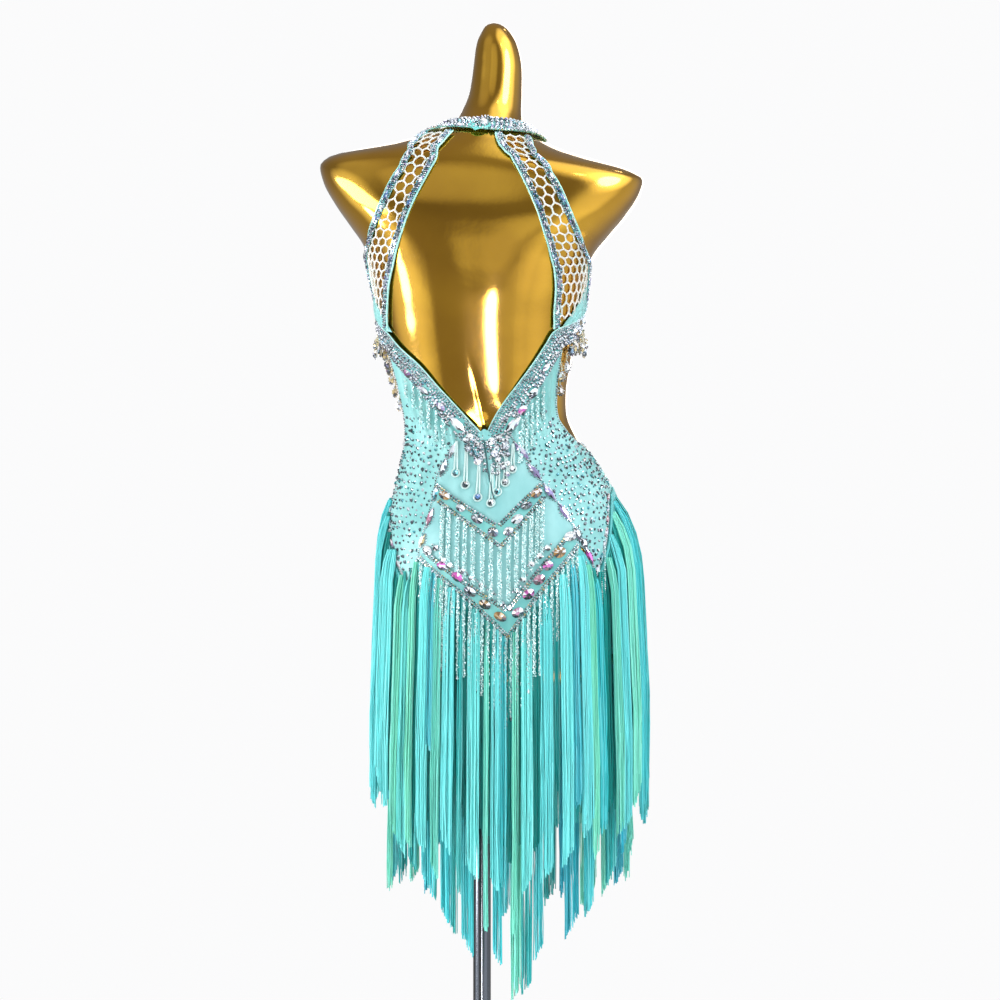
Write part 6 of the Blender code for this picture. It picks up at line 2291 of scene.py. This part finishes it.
@dataclass
class Chevrons:
    """The two stoned chevrons, the bead strings between them and the curtain of strings below."""
    layer: float = 3.1
    thick: float = 1.2

    def build(self) -> None:
        """Build the bands, their chains and stones, then the strings."""
        rng = np.random.default_rng(100)
        chain = Setting(Cut.CHATON, 101)
        bands = (("chevron_upper", CHEVRON_UPPER_TOP, CHEVRON_UPPER_LOW, 0.0046, 0.176),
                 ("chevron_lower", CHEVRON_LOWER_TOP, CHEVRON_LOWER_LOW, 0.0072, 0.265))
        for name, top, low, area, length in bands:
            Panel(f"{name}_cloth", name, [*top, *low[::-1]], (area / length * 1.02, length), area, self.layer,
                  BAND_CLOTH, "bead_band", grid=4.0, thick=self.thick,
                  rests_on=("centre_back_cloth",)).build()
            for line, inset in ((top, -1.6), (low, 1.6)):
                for half in (line[:3], line[2:]):
                    path = Path(half, 4.3)
                    for aside, size in ((inset, 3.9), (inset * 3.0, 2.6)):
                        spots = path.frame_at(np.arange(1.0, path.length, size + 0.5), aside, 4.2)
                        chain.strew(spots, rng, (size, size, size * 0.6), (
                            (Tint.CHAMPAGNE, 3), (Tint.SILVER, 2), (Tint.CLEAR, 1.5), (Tint.SMOKE, 3)))
        ovals, halo = Setting(Cut.OVAL, 102), Setting(Cut.ROUND, 103)
        for stone in CHEVRON_OVALS:
            ovals.on_body(stone.angle, stone.height, self.layer + self.thick, stone.turn,
                          (stone.length * 1.05, stone.width * 1.05, 4.8), stone.tint)
        for angle, height in CLEAR_ROW:
            ovals.on_body(angle, height - 1.5, 4.0, 40.0 if angle < 3 else -40.0, (8.6, 7.6, 4.0), Tint.CLEAR)
            for step in (-5.4, 5.4):
                halo.on_body(angle + step / 3.0, height + (3.0 if step * (angle - 3) > 0 else -3.5), 4.0, 0.0,
                             (3.2, 3.2, 2.0), Tint.SILVER)
        chain.make("chevron_chains", finish=FOILED_CRYSTAL)
        ovals.make("chevron_ovals", finish=FOILED_CRYSTAL)
        halo.make("chevron_accents")
        self.build_ropes()
        self.build_curtain()

    def build_ropes(self) -> None:
        """Twisted ropes of beads that hang from the upper chevron to the lower one."""
        lines = []
        for angle in (-27.6, -24.0, -19.2, -15.4, -11.4, -6.9, -3.0, 1.0, 5.4, 9.4, 13.4, 17.3, 20.8, 24.0):
            top, bottom = rung(CHEVRON_UPPER_LOW, angle) + 2.0, rung(CHEVRON_LOWER_TOP, angle) + 1.0
            lines += self.rope(hang(angle, top, bottom, 3.8, 16), 3, 2.1, 12.0)
        string_beads("rope_beads", lines, 1.9, 2.9, 0.45, Tint.PEARL, 104)

    @staticmethod
    def rope(line: np.ndarray, plies: int, radius: float = 1.5, pitch: float = 17.0) -> list[np.ndarray]:
        """Strings wound round a line.

        Args:
            line: The line's points.
            plies: How many strings.
            radius: How far each is from the middle.
            pitch: The length of one turn.

        Returns:
            The points of each string.
        """
        run = np.concatenate([[0], np.cumsum(np.linalg.norm(np.diff(line, axis=0), axis=1))])
        fine = np.linspace(0, run[-1], max(4, int(run[-1] / 2.0)))
        middle = np.stack([np.interp(fine, run, line[:, k]) for k in range(3)], axis=1)
        found = []
        for ply in range(plies):
            turn = fine / pitch * 2 * math.pi + ply * 2 * math.pi / plies
            found.append(middle + np.stack([np.cos(turn) * radius, np.sin(turn) * radius * 0.7 - radius * 0.3,
                                            np.zeros(len(fine))], axis=1))
        return found

    def build_curtain(self) -> None:
        """The curtain of strings under the lower chevron, long thin strings and small end stones."""
        rng = np.random.default_rng(110)
        tips = ((-39.5, 742), (-28, 738), (-20, 726), (-14, 716), (-7, 694), (0, 676), (4, 664), (8, 682),
                (12, 700), (20, 742), (30, 790), (39.5, 832))
        lines, thin, ends = [], [], Setting(Cut.DROP, 111)
        for k, angle in enumerate(np.arange(-38.6, 38.8, 2.75)):
            top = rung(CHEVRON_LOWER_LOW, angle) + 2.5
            bottom = rung(tips, angle) + rng.uniform(-5, 5) - (14 if k % 3 == 0 else 0)
            line = self.swing(angle, top, bottom, 4.6, 9.5 if bottom > FORM_FOOT else 12.5)
            lines += self.rope(line, 2, 1.3, 14.0)
            if k % 3 == 1:
                ends.strew((line[-1] - (0, 0, 4.0), (0, -1, 0), (0, 0, 1)), rng, (9.0, 5.4, 3.4),
                           ((Tint.CLEAR, 3), (Tint.SMOKE, 1)))
        string_beads("curtain_beads", lines, 2.15, 2.8, 0.75, Tint.PEARL, 112)
        for angle, root, bottom in ((-43.8, 830, 688), (-31.0, 842, 664), (-26.5, 845, 618),
                                    (-15.0, 800, 640), (2.5, 765, 604), (15.5, 800, 633), (33.0, 860, 700),
                                    (42.5, 860, 655), (46.0, 850, 690), (53.0, 852, 655), (57.5, 885, 700)):
            thin.append(self.swing(angle, root, bottom, 5.0, 13.5))
        for side, angle, root in ((-1, 46.5, 838), (1, 48.0, 838), (1, 50.5, 850), (-1, 49.5, 848),
                                  (-1, 44.0, 846), (1, 45.0, 850)):
            thin.append(self.swing(side * angle, root, root - rng.uniform(34, 60), 4.6, 8.0))
        string_beads("thin_bead_strings", thin, 2.7, 2.6, 0.35, Tint.PEARL, 113)
        ends.make("curtain_drops")

    @staticmethod
    def swing(angle: float, top: float, bottom: float, start: float, out: float) -> np.ndarray:
        """Points of a string that comes off the cloth and lies on the fringe.

        Args:
            angle: Degrees round the body.
            top: The height that it starts from.
            bottom: The height of its lower end.
            start: How far out it starts.
            out: How far out it hangs.

        Returns:
            The points.
        """
        points = hang(angle, top, bottom, start, 18)
        points[:, 1] -= (out - start) * np.clip((top - np.linspace(top, bottom, 18)) / 26.0, 0, 1)
        return points


# ---------------------------------------------------------------- the front

@dataclass
class FrontBodice:
    """The halter bodice over the bust and the lower front, plain but for rows of stones."""
    neck: Neckband = field(default_factory=Neckband)

    def build(self) -> None:
        """Build both sheets and their stones."""
        top = [(a, float(BODY.walk(float(a), self.neck.line(a), 0.0, -3.5)[1]))
               for a in (227, 215, 200, 180, 160, 145, 133)]
        half = [*FRONT_ARMHOLE[1:], *((a, h - 4.6) for a, h in wrapped_seam(1, 0.0, 101.0, 179.0))]
        upper = top + half + mirrored(half)
        folds = []
        for side in (-1, 1):
            folds += [Fold(Place(180 + side * (180 - a), 1398), Place(180 + side * (186 - a), 1285),
                           3.0, rise)
                      for a, rise in ((146, 1.5), (152, 1.1), (158, 1.6), (164, 1.0))]
            folds += [Fold(Place(180 + side * 62, 1188), Place(180 + side * 42, 1222), 4.0, 0.9),
                      Fold(Place(180 + side * 18, 1170), Place(180 + side * 26, 1215), 4.0, 0.8)]
        Panel("bodice_front_cloth", "bodice_front", upper, (0.470, 0.268), 0.0805, 1.5, folds=folds,
              thick=1.2).build()
        half = [*((a, h - 5.8) for a, h in wrapped_seam(1, 0.0, 123.0, 179.0)[::-1]),
                *((180 - a, h) for a, h in CUT_OUT[1:-1]), (90.4, 999), *FRONT_FRINGE_LINE]
        lower = half + mirrored(half)[1:-1]
        folds = [Fold(Place(180 + s * a, 1120), Place(180 + s * (a + 8), 1010), 5.0, -0.7)
                 for s in (-1, 1) for a in (12, 30, 48)]
        Panel("front_panel_cloth", "front_panel", lower, (0.370, 0.334), 0.0850, 1.2, folds=folds,
              thick=1.2).build()
        self.scatter(upper, lower)

    def scatter(self, upper: Places, lower: Places) -> None:
        """Stones down the neckline, along the hips and sparsely over the front.

        Args:
            upper: The bodice's edge.
            lower: The front panel's edge.
        """
        rng = np.random.default_rng(120)
        small, long = Setting(Cut.ROUND, 121), Setting(Cut.NAVETTE, 122)
        for outline, layer, low in ((upper, 2.7, 1150.0), (lower, 2.4, 800.0)):
            edge = flat_outline(outline, 8.0)
            flat = np.stack([rng.uniform(90 * 2.3, 270 * 2.3, 2600), rng.uniform(low, 1400, 2600)], axis=1)
            keep = []
            for spot in flat:
                if all((spot[0] - k[0])**2 + (spot[1] - k[1])**2 > 90 for k in keep[-260:]):
                    keep.append(spot)
            flat = np.array(keep)
            middle = np.abs(flat[:, 0] / FLAT_PER_DEGREE - 180)
            where = (flat[:, 1] < 985 - middle * 0.4) if low < 900 else (middle < 16) | (flat[:, 1] < 1196)
            flat = flat[inside_outline(flat, edge, 4.0) & where]
            angle, height = unrolled(*flat.T)
            level, _, facing = BODY.directions(angle, height)
            size = rng.choice([2.4, 3.0, 3.8], len(flat))[:, None]
            small.add(BODY.off(angle, height, layer), facing, level, size * (1.0, 1.0, 0.5),
                      mixed(rng, len(flat), BACK_MIX))
        for side in (-1, 1):
            for line, inset, layer in ((FRONT_ARMHOLE[1:], 2.4, 2.7), (CUT_OUT[1:-1], 2.2, 2.4),
                                       (FRONT_FRINGE_LINE, 2.4, 2.4)):
                places = [(180 + side * (max(p.angle, 180 - p.angle) - 180), p.height) for p in line]
                path = Path(places, layer)
                if line != FRONT_FRINGE_LINE and places[-1][1] < places[0][1]:
                    inset = -inset
                small.strew(path.frame_at(np.arange(1.5, path.length - 1.0, 3.1), inset * side, layer), rng,
                            (2.7, 2.7, 1.6), V_MIX)
        path = Path([(180.0, 1398.0), (180.0, 1300.0), (180.0, 1160.0)], 2.7)
        for along in np.arange(12.0, path.length - 8.0, 22.0):
            long.add(*path.frame_at(along, 0.0, 2.7), (16.0, 6.4, 3.2), Tint.CLEAR)
        small.make("front_small_stones")
        long.make("front_long_stones")


# ---------------------------------------------------------------- the skirt

class HankRun(NamedTuple):
    """A run of hanks from one angle to another, and the node that it stands for."""
    node: str
    low: float
    high: float
    front: bool


TOP_RUNS = table_of(
    HankRun, ('fringe_hip_left', -89.4, -46.7, False), ('fringe_back_left', -46.3, 3.3, False),
    ('fringe_back_right', 3.7, 47.7, False), ('fringe_hip_right', 48.1, 89.4, False),
    ('fringe_front_right', 90.7, 179.8, True), ('fringe_front_left', 180.2, 269.3, True))
UNDER_RUNS = table_of(
    HankRun, ('fringe_under_back_left', -89.8, -0.2, False), ('fringe_under_back_right', 0.2, 89.8, False),
    ('fringe_under_front_right', 90.2, 179.8, True), ('fringe_under_front_left', 180.2, 269.8, True))


def back_fringe_line() -> list[tuple[float, float]]:
    """Where the top fringe starts behind: under the hip points and the lower chevron."""
    hips = [*HIP_EDGE[::-1], HIP_POINT]
    return [*side_of(hips, -1), *CHEVRON_LOWER_LOW, *side_of(hips[::-1], 1)]


def front_fringe_line() -> list[tuple[float, float]]:
    """Where the top fringe starts in front."""
    return [*FRONT_FRINGE_LINE, *mirrored(FRONT_FRINGE_LINE)[1:]]


class Dye(Enum):
    """Colours of the hanks, as places on the yarn's ramp."""
    # DEEP is painted shade: the dark teal of the shadow between the hanks.
    DEEP = 0.0
    TEAL = 0.2
    AQUA = 0.4
    PALE = 0.6
    MINT = 0.8
    BLUE = 1.0


class Hank(NamedTuple):
    """One hank: the middle and width of its angle, the height of its tips and its dye."""
    angle: float
    width: float
    tip: float
    dye: Dye


class Lay(NamedTuple):
    """How one layer of hanks lies: its spread and flare, thickness, strands per degree, and gaps and dyes."""
    start: float
    spread: float
    flare: float
    depth: float
    strands: float
    widths: tuple[float, float]
    gaps: tuple[float, float]
    dyes: tuple[Dye, ...]
    tips: str


FACE = Lay(
    5.2, 9.5, 10.0, 4.0, 6.0, (3.2, 7.0), (0.4, 1.6),
    (Dye.PALE, Dye.PALE, Dye.PALE, Dye.MINT, Dye.AQUA, Dye.TEAL, Dye.PALE, Dye.BLUE, Dye.MINT), "outer")
# The middle layer: deep-teal hanks behind the gaps of the face layer, which stand in for the shadow between
# the hanks as painted shade and hide the form behind them.
SHADE = Lay(3.6, 5.5, 6.5, 2.4, 3.6, (6.5, 9.5), (0.2, 0.8),
            (Dye.DEEP, Dye.DEEP, Dye.DEEP, Dye.TEAL), "middle")
BASE = Lay(3.4, 3.2, 6.0, 4.0, 5.6, (6.0, 11.0), (2.0, 4.0),
           (Dye.AQUA, Dye.BLUE, Dye.TEAL, Dye.AQUA, Dye.MINT), "under")
BACK_HANKS = {
    "outer": table_of(
        Hank, (-85.5, 6, 548, Dye.AQUA), (-75.5, 12, 546, Dye.PALE), (-61.2, 13, 544, Dye.PALE),
        (-50.8, 4.8, 514, Dye.MINT), (-45.2, 7.0, 488, Dye.PALE), (-40.6, 3.3, 500, Dye.MINT),
        (-33.9, 5.2, 494, Dye.PALE), (-30.6, 2.7, 624, Dye.BLUE), (-27.6, 3.9, 462, Dye.MINT),
        (-22.3, 4.8, 494, Dye.PALE), (-17.2, 1.9, 448, Dye.TEAL), (-11.7, 5.4, 464, Dye.PALE),
        (-6.0, 1.8, 400, Dye.MINT), (-2.1, 3.6, 448, Dye.PALE), (1.2, 3.0, 451, Dye.AQUA),
        (7.0, 2.6, 396, Dye.MINT), (12.0, 4.8, 448, Dye.PALE), (20.6, 5.2, 462, Dye.PALE),
        (29.6, 5.3, 481, Dye.PALE), (34.0, 3.0, 552, Dye.BLUE), (38.1, 4.6, 514, Dye.PALE),
        (42.1, 3.2, 488, Dye.MINT), (46.0, 4.3, 520, Dye.AQUA), (55.3, 4.6, 514, Dye.MINT),
        (61.2, 6.4, 526, Dye.PALE), (68.9, 7.6, 552, Dye.MINT), (78.4, 10, 533, Dye.AQUA),
        (86.6, 5.0, 537, Dye.TEAL)),
    "under": table_of(
        Hank, (-80.5, 16, 548, Dye.BLUE), (-61.0, 17, 490, Dye.AQUA), (-47.5, 6.0, 468, Dye.TEAL),
        (-36.6, 8.5, 432, Dye.AQUA), (-32.4, 2.0, 432, Dye.TEAL), (-26.6, 6.0, 398, Dye.AQUA),
        (-22.4, 2.4, 388, Dye.TEAL), (-16.3, 6.2, 364, Dye.AQUA), (-2.1, 6.0, 351, Dye.AQUA),
        (7.2, 5.0, 308, Dye.MINT), (12.2, 4.8, 318, Dye.TEAL), (17.6, 4.4, 360, Dye.AQUA),
        (33.9, 7.7, 386, Dye.BLUE), (43.7, 6.2, 414, Dye.AQUA), (58.9, 9.3, 452, Dye.TEAL),
        (72.0, 9.0, 490, Dye.BLUE), (84.0, 9.0, 536, Dye.TEAL)),
}


def cut_hanks(run: HankRun, lay: Lay, seed: int) -> list[Hank]:
    """The hanks of a run: the ones listed behind, and the same kind in front and between.

    Args:
        run: The run of hanks.
        lay: How this layer lies.
        seed: The layer's random seed.

    Returns:
        The hanks, in order round the body.
    """
    rng = np.random.default_rng(seed)
    if not run.front and lay.tips in BACK_HANKS:
        return [h for h in BACK_HANKS[lay.tips] if run.low <= h.angle <= run.high]
    found, angle = [], run.low
    while angle < run.high - 1.5:
        width = min(float(rng.uniform(*lay.widths)), run.high - angle)
        if run.high - angle - width < 2.4:
            width = run.high - angle
        middle = angle + width / 2
        at = [float(np.interp((middle + 180.0) % 360.0 - 180.0, [t.angle for t in TIPS], column))
              for column in ([t.outer for t in TIPS], [t.under for t in TIPS])]
        tip = {"outer": at[0] + rng.uniform(-30, 30), "under": at[1] + rng.uniform(-24, 24),
               "middle": at[0] + rng.uniform(14, 40)}[lay.tips]
        found.append(Hank(middle, width, tip, lay.dyes[rng.integers(len(lay.dyes))]))
        angle += width + float(rng.uniform(*lay.gaps))
    return found


@dataclass
class Skirt:
    """The yokes, the tapes and the layered hanks of fringe."""
    hem: float = 743.0
    tape: float = 8.0
    thickness: float = 1.4
    levels: int = 12

    def build(self) -> None:
        """Build the yokes and every run of hanks, each with its tape."""
        back, front = back_fringe_line(), front_fringe_line()
        hem_line = [(-200.0, self.hem + self.tape + 1.5), (400.0, self.hem + self.tape + 1.5)]
        made: dict[bool, list[bpy.types.Object]] = {True: [], False: []}
        for number, run in enumerate(TOP_RUNS):
            line = front if run.front else back
            pieces = [self.tape_strip(f"{run.node}_tape", line, run)]
            face = self.hanks(run, line, FACE, 200 + number)
            shade = self.hanks(run, line, SHADE, 230 + number)
            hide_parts(run.node)
            made[run.front] += [*pieces, face, shade]
        for number, run in enumerate(UNDER_RUNS):
            tape = self.tape_strip(f"{run.node}_tape", hem_line, run)
            face = self.hanks(run, hem_line, BASE, 260 + number)
            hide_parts(run.node)
            made[run.front] += [tape, face]
        for name, line, low, high, flat, area, with_pieces in (
                ("yoke_back", back, -89.6, 89.6, (0.420, 0.204), 0.0500, made[False]),
                ("yoke_front", front, 90.4, 269.6, (0.384, 0.204), 0.0540, made[True])):
            top = [(low, rung(line, low) - 0.8)] + [(a, h - 0.8) for a, h in line if low < a < high]
            top += [(high, rung(line, high) - 0.8)]
            Panel(f"{name}_cloth", name, top + [(high, self.hem), (low, self.hem)], flat, area, 1.4,
                  Jersey("yoke_jersey", (0.05, 0.42, 0.40), (0.02, 0.27, 0.26)), grid=7.0, thick=1.2,
                  carries=with_pieces).build()

    def tape_strip(self, name: str, line: Places, run: HankRun) -> bpy.types.Object:
        """The woven tape that a run of hanks is sewn to.

        Args:
            name: The piece's name.
            line: The line that the run is sewn along.
            run: The run of hanks.

        Returns:
            The finished piece.
        """
        angles = np.linspace(run.low, run.high, max(6, round((run.high - run.low) / 3)))
        upper = [(a * FLAT_PER_DEGREE, rung(line, a) - 1.2) for a in angles]
        lower = [(x, h - self.tape) for x, h in upper[::-1]]
        cloth = cloth_shell(name, upper + lower, 6.0, unrolled, 3.6, 1.2,
                            Jersey("tape_cloth", (0.10, 0.55, 0.55), (0.05, 0.40, 0.40)))
        return show(cloth, "fringe_yarn")

    def drape(self, angle: float, root: float, heights: np.ndarray,
              lay: Lay) -> tuple[np.ndarray, np.ndarray]:
        """The line of a hank that slides over the hips and then hangs straight.

        Args:
            angle: The hank's angle.
            root: The height that it is sewn at.
            heights: The heights of its points.
            lay: How this layer lies.

        Returns:
            The hank's points, and the way that it faces on the level.
        """
        flat = BODY.directions(np.array([angle]), np.array([min(root, 860.0)]))[2][0, :2]
        flat = flat / np.linalg.norm(flat)
        points = []
        for height in heights:
            levels = np.linspace(min(root, max(height, FORM_FOOT)), root, 24)
            here = BODY.point(np.full(24, angle), levels)
            widest = here[int(np.argmax(np.hypot(here[:, 0] - 33.0, here[:, 1] + 3.0)))]
            drop = root - height
            out = lay.start + lay.spread * min(1.0, drop / 40.0)
            out += lay.flare * min(1.0, max(0.0, (drop - 40.0) / 210.0))
            out *= 1.0 - 0.28 * max(0.0, -math.sin(math.radians(angle)))
            points.append((*(widest[:2] + flat * out), height))
        return np.array(points), flat

    def hanks(self, run: HankRun, line: Places, lay: Lay, seed: int) -> bpy.types.Object:
        """One layer of hanks along a run.

        Args:
            run: The run of hanks.
            line: The line that the run is sewn along.
            lay: How this layer lies.
            seed: The layer's random seed.

        Returns:
            The finished piece.
        """
        rng = np.random.default_rng(seed)
        lines, rows = [], {"across": [], "deep": [], "free": [], "hue": [], "slant": [], "strands": []}
        for hank in cut_hanks(run, lay, seed):
            low, high = max(hank.angle - hank.width / 2, run.low), min(hank.angle + hank.width / 2, run.high)
            root = rung(line, hank.angle) - 3.0
            wrapped = (hank.angle + 180.0) % 360.0 - 180.0
            heights = root - (root - hank.tip) * np.linspace(0, 1, self.levels)**1.25
            points, flat = self.drape(hank.angle, root, heights, lay)
            sides = [self.drape(angle, root, heights, lay)[0] for angle in (high, low)]
            half = np.linalg.norm(sides[0] - sides[1], axis=1) / 2
            drop, count = root - heights, len(points)
            gather = 0.72 + 0.28 * np.clip(drop / 26.0, 0, 1)**0.6
            taper = 1.0 - 0.10 * np.clip((drop - 200.0) / 260.0, 0, 1)
            swell = 0.9 + 0.5 * np.exp(-((drop - 14) / 16)**2)
            puff = min(lay.depth, 1.6 + half[-1] * 0.55) * swell * gather
            lines.append(points)
            rows["across"].append(np.array([-flat[1], flat[0], 0.0])[None] * (half * gather * taper)[:, None])
            rows["deep"].append(np.array([flat[0], flat[1], 0.0])[None] * puff[:, None])
            rows["free"].append(np.clip(drop / 240.0, 0, 1)**1.3)
            rows["hue"].append(np.full(count, np.clip(hank.dye.value + rng.uniform(-0.05, 0.05), 0, 1)))
            longer = -1.0 if (wrapped > 6.0) == (abs(wrapped) < 90.0 or wrapped < 0) else 1.0
            lean = rng.uniform(2.2, 3.6) * half[-1] / max(root - hank.tip, 60.0)
            rows["slant"].append(np.full(count, longer * lean))
            rows["strands"].append(np.full(count, round((high - low) * lay.strands + 5) + 0.3))
        mesh = line_mesh(run.node, lines)
        for key, values in rows.items():
            vector = key in ("across", "deep")
            layer = mesh.attributes.new(key, "FLOAT_VECTOR" if vector else "FLOAT", "POINT")
            numbers = np.concatenate(values) * (MM if vector else 1.0)
            layer.data.foreach_set("vector" if vector else "value", numbers.astype(np.float32).ravel())
        piece = hank_tree().run(f"{run.node}_{lay.tips}_strands", mesh, finish=FRINGE.material(),
                                thickness=self.thickness * MM, ragged=0.05, wave=0.008, seed=seed)
        return show(piece, "fringe_yarn")


# ---------------------------------------------------------------- the studio

@dataclass(frozen=True)
class SoftBox:
    """A soft rectangular light that faces the dress, placed by direction in degrees, 0 being behind it."""
    name: str
    azimuth: float
    elevation: float
    wide: float
    tall: float
    radiance: float
    distance: float = 3.4
    soft: bool = True
    gloss: bool = True
    round: bool = False
    aim: float = 1.15

    def hang(self) -> None:
        """Make the light."""
        turn, lift = math.radians(self.azimuth), math.radians(self.elevation)
        away = Vector((math.sin(turn) * math.cos(lift), -math.cos(turn) * math.cos(lift), math.sin(lift)))
        light = bpy.data.lights.new(self.name, "AREA")
        light.shape = "ELLIPSE" if self.round else "RECTANGLE"
        light.color = (1.0, 1.0, 1.0) if self.soft else (1.0, 1.0, 1.08)
        light.size, light.size_y = (2 * self.distance * math.tan(math.radians(d / 2))
                                    for d in (self.wide, self.tall))
        light.energy = self.radiance * math.pi * light.size * light.size_y
        lamp = bpy.data.objects.new(self.name, light)
        lamp.location = away * self.distance + Vector((0, 0, self.aim))
        lamp.rotation_euler = (-away).to_track_quat("-Z", "Y").to_euler()
        lamp.visible_camera, lamp.visible_diffuse, lamp.visible_glossy = False, self.soft, self.gloss
        bpy.context.collection.objects.link(lamp)


class Lobe(NamedTuple):
    """A soft glow of the room: its direction, its outer and inner radius in degrees, and its gain."""
    azimuth: float
    elevation: float
    outer: float
    inner: float
    gain: float


SOFT_BOXES = (
    SoftBox("back_light", 1.5, -21.0, 13.0, 20.0, 12.0, 4.6, gloss=False),
    SoftBox("left_light", -68.0, -3.0, 62.0, 33.0, 5.0, gloss=False),
    SoftBox("right_light", 62.0, 33.0, 44.0, 22.0, 5.0, gloss=False),
    SoftBox("high_light", 88.0, 66.0, 56.0, 20.0, 4.0, gloss=False),
    SoftBox("front_light", 176.0, 14.0, 32.0, 34.0, 2.6),
    SoftBox("spine_card", 2.9, -27.0, 8.8, 21.0, 26.0, 4.6, False, True, True),
    SoftBox("left_card", -62.0, 2.5, 52.0, 22.0, 9.0, 3.4, False, True, True),
    SoftBox("left_low_card", -65.0, -15.5, 14.0, 10.0, 18.0, 3.4, False, True, True),
    SoftBox("neck_card", 60.0, 33.0, 26.0, 26.0, 12.0, 3.4, False, True, True),
    SoftBox("high_card", 88.0, 66.0, 60.0, 18.0, 9.0, 3.4, False, True, True),
)
LOBES = table_of(
    Lobe, (80, -6, 72, 15, 0.45), (-13, 36, 19, 3, 0.40), (3, -3, 16, 3, 0.50), (22, -22, 18, 3, 0.34),
    (-48, -24, 14, 3, 0.30), (70, 34, 36, 14, 1.9), (64, 60, 32, 14, 1.5), (48, 0, 36, 12, 0.62),
    (-66, -4, 38, 14, 0.95), (-55, 40, 30, 8, 0.30))


@dataclass
class Studio:
    """Plain pale floor, soft lights and the camera."""
    azimuth: float = 5.0
    distance: float = 4.0
    middle: float = 0.9425
    aside: float = 0.0234
    lens: float = 36.0 * 4.0 / 1.3

    def build(self) -> None:
        """Build the set, light it and place the camera."""
        self.floor()
        self.world()
        for lamp in SOFT_BOXES:
            lamp.hang()
        self.camera()
        bpy.context.scene.view_settings.view_transform = "Standard"

    @staticmethod
    def floor() -> None:
        """A round pale floor in an open pale room."""
        mesh = bpy.data.meshes.new("floor")
        radii, sides = (0.25, 0.8, 1.2, 1.6), 96
        vertices = [(r * math.cos(t), r * math.sin(t), -0.0005) for r in radii for t in round_turns(sides)]
        mesh.from_pydata(vertices, [], [face[::-1] for face in loft_faces(len(radii), sides)[:-1]])
        mesh.materials.append(PaleFloor().material())
        floor = bpy.data.objects.new("floor", mesh)
        bpy.context.collection.objects.link(floor)

    @staticmethod
    def world() -> None:
        """Near-white to the eye, and graded for light and reflections."""
        world = bpy.data.worlds.new("pale_room")
        bpy.context.scene.world = world
        world.use_nodes = True
        book = NodeBook(world.node_tree)
        book.tree.nodes.clear()
        where = book.add("ShaderNodeTexCoord", output="Generated")
        height = book.add("ShaderNodeSeparateXYZ", [where], output="Z")
        graded = book.add("ShaderNodeValToRGB", [height * 0.5 + 0.5], stops=(
            (0.0, (0.42, 0.42, 0.42)), (0.34, (0.36, 0.36, 0.36)), (0.50, (0.31, 0.31, 0.31)),
            (0.62, (0.25, 0.25, 0.25)), (0.80, (0.28, 0.28, 0.28)), (1.0, (0.40, 0.40, 0.40))))
        for lobe in LOBES:
            turn, lift = math.radians(lobe.azimuth), math.radians(lobe.elevation)
            toward = (math.sin(turn) * math.cos(lift), -math.cos(turn) * math.cos(lift), math.sin(lift))
            near = book.add("ShaderNodeVectorMath", [where, toward], operation="DOT_PRODUCT", output="Value")
            outer, inner = (math.cos(math.radians(d)) for d in (lobe.outer, lobe.inner))
            glow = near.smooth(outer, inner) * lobe.gain
            cool = book.add("ShaderNodeMix", [glow, (0.0, 0.0, 0.0, 1.0), (1.0, 1.15, 1.45, 1.0)],
                            data_type="RGBA", clamp_factor=False)
            graded = book.add("ShaderNodeMix", [1.0, graded, cool], data_type="RGBA", blend_type="ADD")
        rays = book.add("ShaderNodeLightPath", output="Is Camera Ray")
        soft = book.add("ShaderNodeMix", [rays.output("Is Glossy Ray"), (0.575, 0.575, 0.585, 1.0), graded],
                        data_type="RGBA")
        colour = book.add("ShaderNodeMix", [rays, soft, (0.965, 0.965, 0.97, 1.0)], data_type="RGBA")
        shine = book.add("ShaderNodeBackground", {"Color": colour, "Strength": 1.0})
        book.add("ShaderNodeOutputWorld", {"Surface": shine})

    def camera(self) -> None:
        """The camera, level and behind the dress."""
        turn = math.radians(self.azimuth)
        right = Vector((math.cos(turn), math.sin(turn), 0.0))
        forward = Vector((-math.sin(turn), math.cos(turn), 0.0))
        data = bpy.data.cameras.new("camera")
        data.sensor_width, data.lens, data.clip_end = 36.0, self.lens, 60.0
        camera = bpy.data.objects.new("camera", data)
        camera.location = right * self.aside - forward * self.distance + Vector((0, 0, self.middle))
        camera.rotation_euler = forward.to_track_quat("-Z", "Y").to_euler()
        bpy.context.collection.objects.link(camera)
        bpy.context.scene.camera = camera


def main() -> None:
    """Build every sub-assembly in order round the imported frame."""
    logging.basicConfig(level=logging.INFO, format="%(name)s %(message)s")
    for part in (DressForm(), Stand(), Neckband(), BackStrap(-1, "left"), BackStrap(1, "right"), BackBodice(),
                 VBand(), Chevrons(), FrontBodice(), Skirt(), Studio()):
        started = time.time()
        part.build()
        log.info("%s took %.1f s", type(part).__name__, time.time() - started)


if __name__ == "__main__":
    main()
